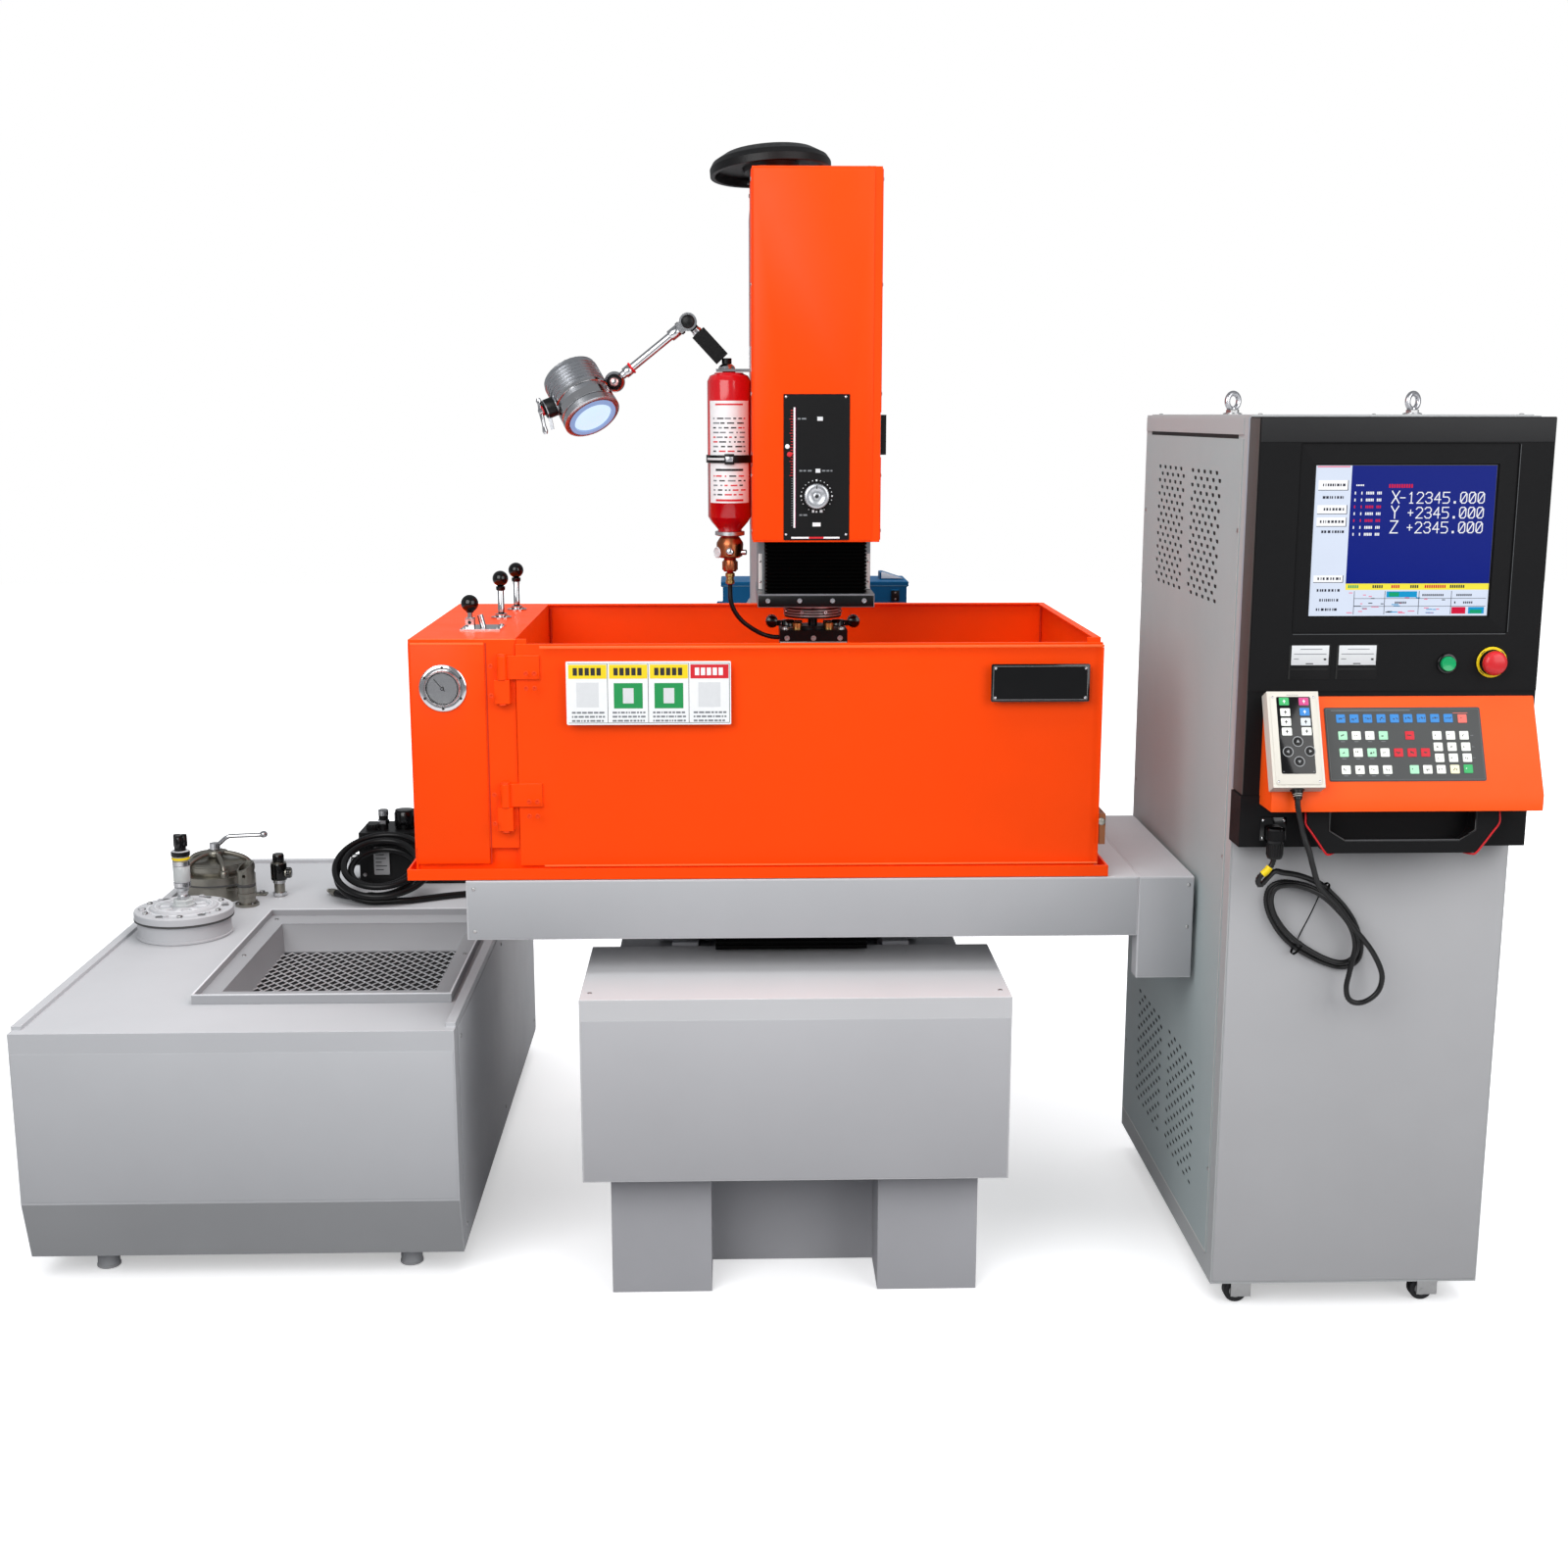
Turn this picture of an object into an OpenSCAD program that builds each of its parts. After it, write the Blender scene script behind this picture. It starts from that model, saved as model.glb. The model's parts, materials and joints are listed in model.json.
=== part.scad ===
// Sinker electrical discharge machine: C-frame machine with work tank, dielectric unit and control cabinet.
// All lengths are millimetres, +Z is up and the front faces -Y. Places are first worked out from the
// machine's own datum, which is the ram axis on the floor, and the whole set is then shifted so that the
// frame's origin is the bottom centre of its box.

/* [Bed and column] */
// Width of the bed casting
bed_w = 660; // [620:1:720]
// Distance of the bed's centreline from the ram axis, to the left
bed_offset = 46; // [0:1:80]
// Height of the bed casting under its ways
bed_h = 540; // [500:1:600]
// Reach of the front feet before the ram axis
foot_reach = 405; // [380:1:430]
// Reach of the bed behind the ram axis
bed_back = 830; // [800:1:900]
// Width of one front foot
foot_w = 180; // [140:1:220]
// Height of the front feet under the cover
foot_h = 240; // [200:1:280]
// Depth of the recess between the front feet
foot_recess = 130; // [100:1:160]
// Wall of the castings
cast_t = 30; // [24:1:40]
// Width of the column at its foot
column_w = 420; // [360:1:480]
// Depth of the column
column_d = 300; // [260:1:340]
// Width of the column's neck
neck_w = 226; // [200:1:228]
// Distance of the column's front from the ram axis
column_y = 470; // [470:1:500]
// Height of the column's foot over the bed
column_foot_h = 460; // [400:1:500]

/* [Front cover] */
// Width of the sheet cover in front of the bed
cover_w = 750; // [700:1:800]
// Reach of the cover before the ram axis
cover_reach = 470; // [450:1:500]
// Depth of the cover
cover_d = 332; // [300:1:334]
// Rise of the cover's top over the bed
cover_rise = 34; // [26:1:36]
// Sheet thickness of covers
sheet_t = 3; // [2:0.5:4]

/* [Y and X ways] */
// Width of each Y box way
way_w = 50; // [40:1:60]
// Height of each Y box way
way_h = 40; // [30:1:44]
// Distance between the two Y ways, centre to centre
way_gap = 400; // [340:1:420]
// Travel of the saddle each way from mid stroke
y_travel = 125; // [100:1:125]
// Travel of the table to the left
x_left = 190; // [150:1:200]
// Travel of the table to the right
x_right = 156; // [140:1:156]
// Diameter of the ball screws
screw_d = 25; // [20:1:28]
// Running clearance of screws and pins, on the radius
run_clear = 0.05; // [0.02:0.01:0.1]
// Sliding clearance between ways and pads
slide_clear = 0.3; // [0.2:0.05:0.5]

/* [Saddle] */
// Left end of the saddle from the ram axis
saddle_left = 630; // [610:1:650]
// Length of the saddle casting
saddle_l = 1205; // [1190:1:1205]
// Front of the saddle before the ram axis
saddle_front = 320; // [300:1:330]
// Depth of the saddle
saddle_d = 525; // [500:1:540]
// Gap between the bed's top and the saddle beam
saddle_rise = 100; // [90:1:110]
// Height of the saddle beam
saddle_h = 109; // [105:1:120]
// Length of the cover over the X servo motor
motor_cover_l = 100; // [96:1:110]
// Drop of the X motor cover's cable box under the saddle
motor_drop = 80; // [60:1:90]
// Depth of that cable box
motor_drop_d = 40; // [30:1:60]

/* [Work tank] */
// Left side of the tank from the ram axis
tank_left = 720; // [700:1:730]
// Length of the tank
tank_l = 1217; // [1180:1:1217]
// Front of the tank before the ram axis
tank_front = 298; // [290:1:310]
// Depth of the tank
tank_d = 628; // [560:1:628]
// Height of the tank walls over the saddle
tank_h = 428; // [360:1:460]
// Width of the control compartment at the tank's left end
box_w = 186; // [170:1:200]
// Wall of the tank
tank_t = 4; // [3:0.5:6]
// Rise of the work table over the tank's underside
table_rise = 140; // [110:1:170]
// Length of the work table
table_l = 600; // [500:1:700]
// Width of the work table
table_w = 320; // [280:1:360]

/* [Head] */
// Width of the head housing
head_w = 230; // [228:1:260]
// Depth of the head housing, front and back of the ram axis
head_d = 300; // [280:1:320]
// Rise of the head housing over the tank's underside
head_rise = 586; // [580:1:640]
// Height of the head housing
head_h = 654; // [640:1:720]
// Travel of the ram upwards
ram_up = 70; // [50:1:75]
// Height of the bellows under the head at rest
bellows_h = 94; // [90:1:110]
// Length of the ram
ram_h = 458; // [440:1:480]
// Diameter of the electrode shank bore
shank_d = 20; // [12:1:25]

/* [Dielectric unit] */
// Gap between the dielectric tank and the bed
unit_gap = 276; // [240:1:320]
// Width of the dielectric tank
unit_w = 788; // [700:1:850]
// Length of the dielectric tank
unit_l = 1300; // [1200:1:1350]
// Front of the dielectric tank before the ram axis
unit_front = 370; // [340:1:400]
// Height of the dielectric tank's top
unit_h = 488; // [440:1:520]
// Height of its feet
unit_foot_h = 52; // [40:1:70]
// Wall of the dielectric tank
unit_t = 4; // [3:0.5:6]
// Outside width of the strainer tray
tray_w = 481; // [400:1:500]
// Outside length of the strainer tray
tray_l = 616; // [500:1:640]
// Depth of the strainer tray
tray_depth = 60; // [50:1:100]

/* [Control cabinet] */
// Left side of the cabinet from the ram axis
cab_x = 686; // [686:1:800]
// Width of the cabinet
cab_w = 474; // [460:1:540]
// Depth of the cabinet
cab_d = 770; // [700:1:850]
// Front of the cabinet before the ram axis
cab_front = 510; // [480:1:540]
// Underside of the cabinet over its casters
cab_z = 54; // [54:1:80]
// Top of the cabinet
cab_top = 1562; // [1500:1:1650]
// Lower edge of the black control front
bezel_z = 861; // [820:1:880]
// Depth of the black control front
bezel_d = 58; // [40:1:70]
// Depth of the sloped console before the control front
console_d = 71; // [60:1:90]
// Width of the console
console_w = 444; // [430:1:447]
// Diameter of the caster wheels
wheel_d = 42; // [36:1:42]

/* [Lamp and extinguisher] */
// Diameter of the fire extinguisher
ext_d = 80; // [70:1:84]
// Diameter of the work lamp
lamp_d = 102; // [70:1:110]
// Length of the lamp's body
lamp_l = 100; // [90:1:140]

/* [Hidden] */
$fn = 48;
eps = 0.5;           // how far cuts run past the faces they open

// Colours
orange = [0.98, 0.32, 0.08];
grey = [0.72, 0.72, 0.74];
dark = [0.15, 0.15, 0.16];
steel = [0.75, 0.75, 0.78];
iron = [0.5, 0.52, 0.54];

// Shared clearances
body_gap = 0.3;   // between bodies that don't fit one another

// Derived places, from the ram axis
bed_x = -bed_offset;
bed_l = bed_x - bed_w / 2;
bed_r = bed_x + bed_w / 2;
bed_upper = -200;                    // front of the bed over its feet
way_y0 = -cover_reach + cover_d + 3;
way_y1 = 345;
pad_y0 = way_y0 + y_travel + 10;
pad_y1 = way_y1 - y_travel - 25;
y_screw_z = bed_h - 40;
cover_top = bed_h + cover_rise;
column_foot_top = bed_h + column_foot_h;
saddle_z = bed_h + saddle_rise;
saddle_top = saddle_z + saddle_h;
tank_r = -tank_left + tank_l;
tank_y0 = -tank_front;
tank_y1 = tank_y0 + tank_d;
tank_z = saddle_top + 1;
tank_top = tank_z + tank_h;
table_top = tank_z + table_rise;
head_z = tank_z + head_rise;
head_top = head_z + head_h;
box_r = -tank_left + box_w;
saddle_r = -saddle_left + saddle_l;
saddle_y0 = -saddle_front;
saddle_y1 = saddle_y0 + saddle_d;
saddle_cy = (saddle_y0 + saddle_y1) / 2;
x_screw_z = tank_z - 60;
recess_y0 = saddle_cy - 172;
recess_y1 = saddle_cy + 163;
recess_x0 = -saddle_left + 20;
recess_x1 = saddle_r - 70;
table_x0 = recess_x0 + x_left + 5;
table_x1 = recess_x1 - x_right - 5;
head_y0 = -head_d / 2;
head_y1 = head_d / 2;
ram_w = head_w - 20;
ram_z = head_z - bellows_h;
unit_r = bed_l - unit_gap;
unit_x = unit_r - unit_w;
unit_y0 = -unit_front;
unit_y1 = unit_y0 + unit_l;
cab_y0 = -cab_front;
cab_y1 = cab_y0 + cab_d;
cab_cx = cab_x + cab_w / 2;
bezel_y = cab_y0 - bezel_d;
console_y = bezel_y - console_d;
console_x = cab_x + 27;
console_top = bezel_z + 252;
console_lip = bezel_z + 99;
console_z = bezel_z + 73;

// The pendant lies on the sloped console
slope = atan2(bezel_y - console_y, console_top - console_lip);
slope_at = 0.478;     // place of the pendant's middle down the slope
slope_p = [cab_x + 65, bezel_y + (console_y - bezel_y) * slope_at,
    console_top + (console_lip - console_top) * slope_at];
pendant_w = 84;
pendant_l = 160;
pendant_t = 28;
pendant_y = slope_p[1] - (pendant_t + body_gap) * cos(slope) - pendant_l / 2 * sin(slope);

// Box of the whole set: the dielectric tank's left side and back, the cabinet's right side and the
// pendant's lower end
set_cx = (unit_x + cab_x + cab_w) / 2;
set_cy = (pendant_y + unit_y1) / 2;

module place() translate([-set_cx, -set_cy, 0]) children();
module block(x0, x1, y0, y1, z0, z1) translate([x0, y0, z0]) cube([x1 - x0, y1 - y0, z1 - z0]);
module rod_x(x0, x1, y, z, r) translate([x0, y, z]) rotate([0, 90, 0]) cylinder(h = x1 - x0, r = r);
module rod_y(x, y0, y1, z, r) translate([x, y0, z]) rotate([-90, 0, 0]) cylinder(h = y1 - y0, r = r);
module rod_z(x, y, z0, z1, r) translate([x, y, z0]) cylinder(h = z1 - z0, r = r);
// Turns +Z to point along dir, at p
module along(p, dir) {
    tilt = acos(dir[2] / norm(dir));
    turn = atan2(dir[1], dir[0]);
    translate(p) rotate([0, tilt, turn]) children();
}

// Tube swept along a list of points, closed at both ends
function unit(v) = v / norm(v);
function tangent(p, i) = unit(p[min(i + 1, len(p) - 1)] - p[max(i - 1, 0)]);
function side_of(t) = unit(cross(t, abs(t[2]) < 0.9 ? [0, 0, 1] : [0, 1, 0]));
function carry(v, t) = unit(v - t * (v * t));
function frames(p, i = 0, v = undef) = i == len(p) ? [] :
    let (t = tangent(p, i), s = i == 0 ? side_of(t) : carry(v, t)) concat([s], frames(p, i + 1, s));
module swept(p, r, sides) {
    s = frames(p);
    rings = [for (i = [0 : len(p) - 1]) let (t = tangent(p, i), b = cross(t, s[i]))
        for (k = [0 : sides - 1]) p[i] + r * (cos(360 * k / sides) * s[i] + sin(360 * k / sides) * b)];
    n = len(p);
    polyhedron(points = rings, faces = concat(
        [[for (k = [0 : sides - 1]) k]],
        [for (i = [0 : n - 2], k = [0 : sides - 1])
            [i * sides + k, (i + 1) * sides + k,
                (i + 1) * sides + (k + 1) % sides, i * sides + (k + 1) % sides]],
        [[for (k = [sides - 1 : -1 : 0]) (n - 1) * sides + k]]));
}

// ---- Bed, column and Y drive ----

channel_w = 120;     // channel of the Y ball screw
channel_h = 90;
rib_t = 24;
port_r = 22;
port_l = 20;

// Two rows of three open cells under the casting, parted by ribs
module bed_cells() {
    cell_x = (bed_w - 2 * cast_t - rib_t) / 2;
    y0 = bed_upper + cast_t;
    cell_y = (bed_back - cast_t - y0 - 2 * rib_t) / 3;
    for (i = [0, 1], j = [0 : 2])
        translate([bed_l + cast_t + i * (cell_x + rib_t), y0 + j * (cell_y + rib_t), -eps])
            cube([cell_x, cell_y, bed_h - channel_h - 40]);
}

module bed() color(grey) place() {
    difference() {
        union() {
            block(bed_l, bed_r, bed_upper, bed_back, 0, bed_h);
            block(bed_l, bed_r, foot_recess - foot_reach, bed_upper + 1, 0, foot_h);
            for (x = [bed_l, bed_r - foot_w])
                block(x, x + foot_w, -foot_reach, bed_upper, 0, foot_h);
            for (s = [-1, 1])
                translate([bed_x + s * way_gap / 2 - way_w / 2, way_y0, bed_h - 1])
                    cube([way_w, way_y1 - way_y0, way_h + 1]);
            rod_x(bed_l - port_l, bed_l + 1, hose_port[1], hose_port[2], port_r);
        }
        bed_cells();
        block(bed_x - channel_w / 2, bed_x + channel_w / 2, bed_upper - 1, way_y1 + 15,
            bed_h - channel_h, bed_h + 1);
        rod_y(bed_x, way_y1 + 10, way_y1 + 45, y_screw_z, screw_d / 2 + run_clear);
    }
}

module front_cover() color([0.8, 0.8, 0.81]) place() {
    x0 = bed_x - cover_w / 2;
    x1 = bed_x + cover_w / 2;
    y0 = -cover_reach;
    y1 = y0 + cover_d;
    difference() {
        block(x0, x1, y0, y1, foot_h, cover_top);
        block(x0 + sheet_t, x1 - sheet_t, y0 + sheet_t, y1 + 1, foot_h + sheet_t, cover_top - sheet_t);
        block(bed_l - body_gap, bed_r + body_gap, bed_upper - body_gap, y1 + 1,
            foot_h - 1, foot_h + sheet_t + 1);
    }
}

servo = 80;          // flange size of the servo motors
servo_l = 120;

module servo_motor(length) {
    block(-servo / 2, servo / 2, -servo / 2, servo / 2, 0, length);
    rod_z(0, 0, -10, 1, 25);
    block(-20, 20, -servo / 2 - 18, -servo / 2 + 1, length - 40, length - 8);
}

module y_servo() {
    difference() {
        block(bed_x - 75, bed_x + 75, bed_upper - 15, bed_upper, y_screw_z - 70, y_screw_z + 38);
        rod_y(bed_x, bed_upper - 16, bed_upper + 1, y_screw_z, screw_d / 2 + run_clear);
    }
    translate([bed_x, bed_upper - 25, y_screw_z]) rotate([90, 0, 0]) servo_motor(servo_l);
}

module y_screw() color(steel) place() rod_y(bed_x, bed_upper - 14, way_y1 + 44, y_screw_z, screw_d / 2);

way_top_z = bed_h + way_h;
foot_chamfer = 150;  // from the column's foot up to its neck

module column() color(grey) place() difference() {
    union() {
        block(-column_w / 2, column_w / 2, column_y, column_y + column_d, bed_h, column_foot_top);
        block(-neck_w / 2, neck_w / 2, column_y, column_y + column_d, column_foot_top - 1, head_top);
        for (s = [-1, 1]) translate([0, column_y + column_d, column_foot_top]) rotate([90, 0, 0])
            linear_extrude(column_d) polygon([[s * (neck_w / 2 - 1), -1], [s * column_w / 2, -1],
                [s * (neck_w / 2 - 1), foot_chamfer]]);
        block(-neck_w / 2, neck_w / 2, head_y1, column_y + 1, head_z + 44, head_top);
        block(-way_w + 10, way_w - 10, ram_back - 23, head_y1 + 1, head_z + 54, head_top - 150);
    }
    block(-column_w / 2 + cast_t, column_w / 2 - cast_t, column_y + cast_t, column_y + column_d - cast_t,
        bed_h - 1, column_foot_top - 60);
    block(-neck_w / 2 + cast_t, neck_w / 2 - cast_t, column_y + cast_t, column_y + column_d - cast_t,
        column_foot_top - 61, head_top - 80);
    block(-neck_w / 2 + cast_t, neck_w / 2 - cast_t, head_y1 + 40, column_y + cast_t + 1,
        head_z + 84, head_top - 80);
}

rear_y = column_y + column_d;
rear_x0 = -176;
rear_x1 = 251;
rear_z = bed_h + 220;
rear_top = bed_h + 632;

// Blue terminal box on the column's back, with a lid, a cable hood, a latch and a lug
module rear_box() color([0.1, 0.25, 0.38]) place() {
    block(rear_x0, rear_x1, rear_y, unit_y1 - 2, rear_z, rear_top);
    block(rear_x0 - 4, rear_x1 + 4, rear_y, unit_y1, rear_top, rear_top + 12);
    block(rear_x1 - 36, rear_x1 - 19, rear_y - 6, rear_y, rear_top - 34, rear_top - 7);
    translate([0, rear_y + 110, rear_top + 12]) rotate([90, 0, 0]) linear_extrude(60)
        polygon([[rear_x1 - 59, -1], [rear_x1 + 4, -1], [rear_x1 - 50, 17], [rear_x1 - 59, 17]]);
    block(rear_x0 - 14, rear_x0, rear_y + 10, rear_y + 40, rear_top - 52, rear_top - 36);
}

// ---- Head and ram ----

ram_back = 118;
ram_front = -62;
z_screw_y = 20;
z_screw_top = head_top - 128;
z_screw_bottom = head_z + 104;

head_t = 4;          // sheet of the head housing

module head_housing() color(orange) place() difference() {
    block(-head_w / 2, head_w / 2, head_y0, head_y1, head_z, head_top);
    block(-head_w / 2 + head_t, head_w / 2 - head_t, head_y0 + head_t, head_y1 + 1,
        head_z - 1, head_top - head_t);
}

panel_half = 59;
panel_z = head_z + 4;
panel_h = 259;
scale_x = -44;       // slot of the Z scale
dial_z = panel_z + 79;
dial_r = 22;
dial_pin = 4;

module head_panel() color(dark) place() {
    difference() {
        block(-panel_half, panel_half, head_y0 - 3, head_y0, panel_z, panel_z + panel_h);
        block(scale_x, scale_x + 5, head_y0 - 4, head_y0 - 1.5, panel_z + 22, panel_z + panel_h - 22);
        rod_y(0, head_y0 - 4, head_y0 + 1, dial_z, dial_pin);
    }
    // box on the head's right side
    block(head_w / 2, head_w / 2 + 11, head_y0 + 10, head_y0 + 60, panel_z + 152, panel_z + 223);
}

module head_dial() color(steel) place() {
    rod_y(0, head_y0 - 16, head_y0 - 3 - body_gap, dial_z, dial_r);
    rod_y(0, head_y0 - 4, head_y0 - 0.5, dial_z, dial_pin - run_clear);
}

module z_servo() {
    difference() {
        block(-60, 60, -40, head_y1, z_screw_top - 12, z_screw_top);
        rod_z(0, z_screw_y, z_screw_top - 13, z_screw_top + 1, screw_d / 2 + run_clear);
    }
    translate([0, z_screw_y, z_screw_top + 10]) servo_motor(110);
}

module servo_motors() color(dark) place() {
    y_servo();
    z_servo();
}

module z_screw() color(steel) place() rod_z(0, z_screw_y, z_screw_bottom, z_screw_top - 0.5, screw_d / 2);

drive_cover_at = [-76, 130];
drive_cover_d = 230;
drive_foot = 20;     // the cap's rim over the head

module z_drive_cover() color(dark) place() translate([drive_cover_at[0], drive_cover_at[1], head_top]) {
    cylinder(h = drive_foot + 8, r = 40);
    r = drive_cover_d / 2;
    translate([0, 0, drive_foot]) rotate([-6, -4, 0]) rotate_extrude() polygon([[0, 4], [50, 4], [54, 14],
        [r - 12, 14], [r - 9, 0], [r, 0], [r, 14], [r - 6, 24], [r - 28, 37], [60, 42], [0, 43]]);
}

ram_slot = way_w - 10 + slide_clear;

module ram() color(steel) place() {
    difference() {
        block(-ram_w / 2, ram_w / 2, ram_front, ram_back, ram_z, ram_z + ram_h);
        block(-ram_slot, ram_slot, ram_back - 23 - slide_clear, ram_back + 1, ram_z - 1, ram_z + ram_h + 1);
        rod_z(0, z_screw_y, ram_z + ram_h - 70, ram_z + ram_h + 1, screw_d / 2 + run_clear);
        rod_z(0, z_screw_y, z_screw_bottom - ram_up - 10, ram_z + ram_h - 60, screw_d / 2 + 5);
    }
    block(-ram_w / 2 - 2, ram_w / 2 + 2, head_y0 + 2, ram_back, ram_z - 25, ram_z);
}

module z_bellows() color(dark) place() {
    folds = 9;
    pitch = (bellows_h - body_gap) / folds;
    for (i = [0 : folds - 1])
        translate([0, 0, ram_z + i * pitch]) {
            block(-94, 94, head_y0 + 8, ram_front - 1, 0, pitch * 0.55);
            block(-88, 88, head_y0 + 14, ram_front - 1, pitch * 0.5, pitch);
        }
}

flange_z = ram_z - 25 - 31;
holder_z = flange_z - 52;

module electrode_holder() color([0.2, 0.2, 0.22]) place() difference() {
    union() {
        rod_z(0, 0, flange_z, ram_z - 25, 54);
        rod_z(0, 0, holder_z + 10, flange_z + 1, 9);
        block(-64, 64, -45, 45, holder_z, holder_z + 30);
        rod_z(0, 0, holder_z + 29, holder_z + 36, 34);
        for (s = [-1, 1]) {
            block(s > 0 ? 20 : -80, s > 0 ? 80 : -20, -6, 6, holder_z + 34, holder_z + 44);
            rod_y(s * 78, -12, 12, holder_z + 42, 11);
        }
    }
    rod_z(0, 0, holder_z - 1, holder_z + 28, shank_d / 2);
}

// ---- Fire extinguisher and its hose ----

ext_x = -head_w / 2 - 2 - ext_d / 2;
ext_y = -60;
ext_z = head_z + 6;      // neck of the bottle, which hangs with its valve down
ext_top = ext_z + 295;
valve_z = ext_z - 90;
strap_z = ext_z + 137;
strap_h = 8;

module extinguisher() color([0.75, 0.02, 0.05]) place() {
    translate([ext_x, ext_y, 0]) {
        rotate_extrude() polygon([[0, ext_z], [22, ext_z], [22, ext_z + 12], [34, ext_z + 26],
            [ext_d / 2, ext_z + 36], [ext_d / 2, ext_top - 14], [ext_d / 2 - 5, ext_top - 4],
            [ext_d / 2 - 14, ext_top], [0, ext_top]]);
        rotate_extrude() polygon([[0, valve_z], [6, valve_z], [6, valve_z + 24], [11, valve_z + 24],
            [11, valve_z + 48], [22, valve_z + 54], [24, valve_z + 76], [16, ext_z], [0, ext_z]]);
    }
    difference() {
        block(ext_x, -head_w / 2, ext_y - 14, ext_y + 14, strap_z - 3, strap_z + strap_h + 3);
        rod_z(ext_x, ext_y, strap_z - 4, strap_z + strap_h + 4, ext_d / 2);
    }
    difference() {
        rod_z(ext_x, ext_y, strap_z, strap_z + strap_h, ext_d / 2 + 1.5);
        rod_z(ext_x, ext_y, strap_z - 1, strap_z + strap_h + 1, ext_d / 2);
        block(ext_x + ext_d / 2 - 3, ext_x + ext_d / 2 + 5, ext_y - 50, ext_y + 50,
            strap_z - 1, strap_z + strap_h + 1);
    }
}

hose_d = 9;
ext_hose = [[-157, -60, 1252], [-157, -60, 1240], [-156, -61, 1222], [-150, -60, 1204], [-138, -56, 1186],
    [-122, -50, 1172], [-104, -42, 1160], [-88, -37, 1153], [-74, -35, 1150], [-64.3, -35, 1150]];

module extinguisher_hose() color(dark) place() swept(ext_hose, hose_d / 2, 10);

// ---- Work lamp ----

lamp_foot = [ext_x - 4, ext_y, ext_top + 4];
elbow = lamp_foot + [-70, 0, 88];
knuckle = elbow + [-135, 0, -107];
knuckle_r = 19;
lamp_aim = unit([0.44, -0.51, -0.74]);
lamp_axle = carry([1, 0, 0], lamp_aim);
lamp_c = knuckle - lamp_axle * (lamp_d / 2 + 17);

module lamp_base() color(steel) place() {
    block(lamp_foot[0] - 20, -head_w / 2, ext_y - 20, ext_y + 20, lamp_foot[2] - 1, lamp_foot[2] + 4);
    block(-head_w / 2 - 5, -head_w / 2, ext_y - 20, ext_y + 20, lamp_foot[2] - 1, lamp_foot[2] + 44);
    translate(lamp_foot + [0, 0, 4]) rotate_extrude() polygon([[0, 0], [16, 0], [14, 5], [9, 9], [0, 9]]);
}

module lamp_lower_arm() color(dark) place() {
    start = lamp_foot + [0, 0, 13 + body_gap];
    reach = norm(elbow - start);
    translate(start) cylinder(h = 10, r = 9);
    along(start, elbow - start) {
        translate([-14, -12, 12]) cube([28, 24, 64]);
        difference() {
            union() {
                translate([-8, -4, 70]) cube([16, 8, reach - 70]);
                translate([0, 0, reach]) rotate([90, 0, 0]) cylinder(h = 8, r = 12, center = true);
            }
            translate([0, 0, reach]) rotate([90, 0, 0]) cylinder(h = 10, r = 5 + run_clear, center = true);
        }
    }
}

module lamp_upper_arm() color(steel) place() {
    d = unit(knuckle - elbow);
    along(elbow + d * 12, d) cylinder(h = norm(knuckle - elbow) - 30, r = 7.5);
    for (s = [-1, 1]) translate([elbow[0], ext_y + s * 8.5, elbow[2]]) rotate([90, 0, 0])
        cylinder(h = 8, r = 16, center = true);
    rod_y(elbow[0], ext_y - 12, ext_y + 12, elbow[2], 5);
    along(elbow + d * 14.5, d) translate([0, 0, 3]) cube([20, 25, 10], center = true);
    translate(knuckle) rotate([0, 0, 90]) sphere(r = knuckle_r);
    along(knuckle, -lamp_axle) cylinder(h = knuckle_r + 2, r = 8 - run_clear);
}

module lamp_head() color(steel) place() {
    difference() {
        union() {
            along(lamp_c - lamp_aim * lamp_l * 0.48, lamp_aim) cylinder(h = lamp_l, r = lamp_d / 2);
            along(lamp_c - lamp_axle * (lamp_d / 2 - 2), -lamp_axle) cylinder(h = 22, r = 17);
        }
        along(lamp_c + lamp_aim * lamp_l * 0.42, lamp_aim) cylinder(h = lamp_l * 0.2, r = lamp_d / 2 - 5);
        translate(knuckle) rotate([0, 0, 90]) sphere(r = knuckle_r + 1);
        along(knuckle, -lamp_axle) cylinder(h = knuckle_r + 5, r = 8);
    }
    along(lamp_c - lamp_axle * (lamp_d / 2 + 14), unit([0.2, 0, -1])) translate([-3, -4, 0]) cube([6, 8, 38]);
}

// ---- Saddle, table and X drive ----

x_way_gap = 220;
x_way_w = 40;
x_way_top = saddle_z + 60;

module saddle() color(grey) place() {
    difference() {
        block(-saddle_left, saddle_r, saddle_y0, saddle_y1, saddle_z, saddle_top);
        difference() {
            block(recess_x0, recess_x1, recess_y0, recess_y1, saddle_z + 25, saddle_top + 1);
            for (s = [-1, 1])
                block(recess_x0 - 1, recess_x1 + 1, saddle_cy + s * x_way_gap / 2 - x_way_w / 2,
                    saddle_cy + s * x_way_gap / 2 + x_way_w / 2, saddle_z, x_way_top);
        }
        rod_x(recess_x0 - 14, saddle_r + 1, saddle_cy, x_screw_z, screw_d / 2 + run_clear);
    }
    for (s = [-1, 1]) translate([bed_x + s * way_gap / 2, 0, 0]) difference() {
        block(-way_w / 2 - 30, way_w / 2 + 30, pad_y0, pad_y1, bed_h + 5, saddle_z + 1);
        block(-way_w / 2 - slide_clear, way_w / 2 + slide_clear, pad_y0 - 1, pad_y1 + 1,
            bed_h, way_top_z + slide_clear);
    }
    difference() {
        block(bed_x - 35, bed_x + 35, 40, 110, y_screw_z - 25, saddle_z + 1);
        rod_y(bed_x, 39, 111, y_screw_z, screw_d / 2 + run_clear);
    }
}

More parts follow.
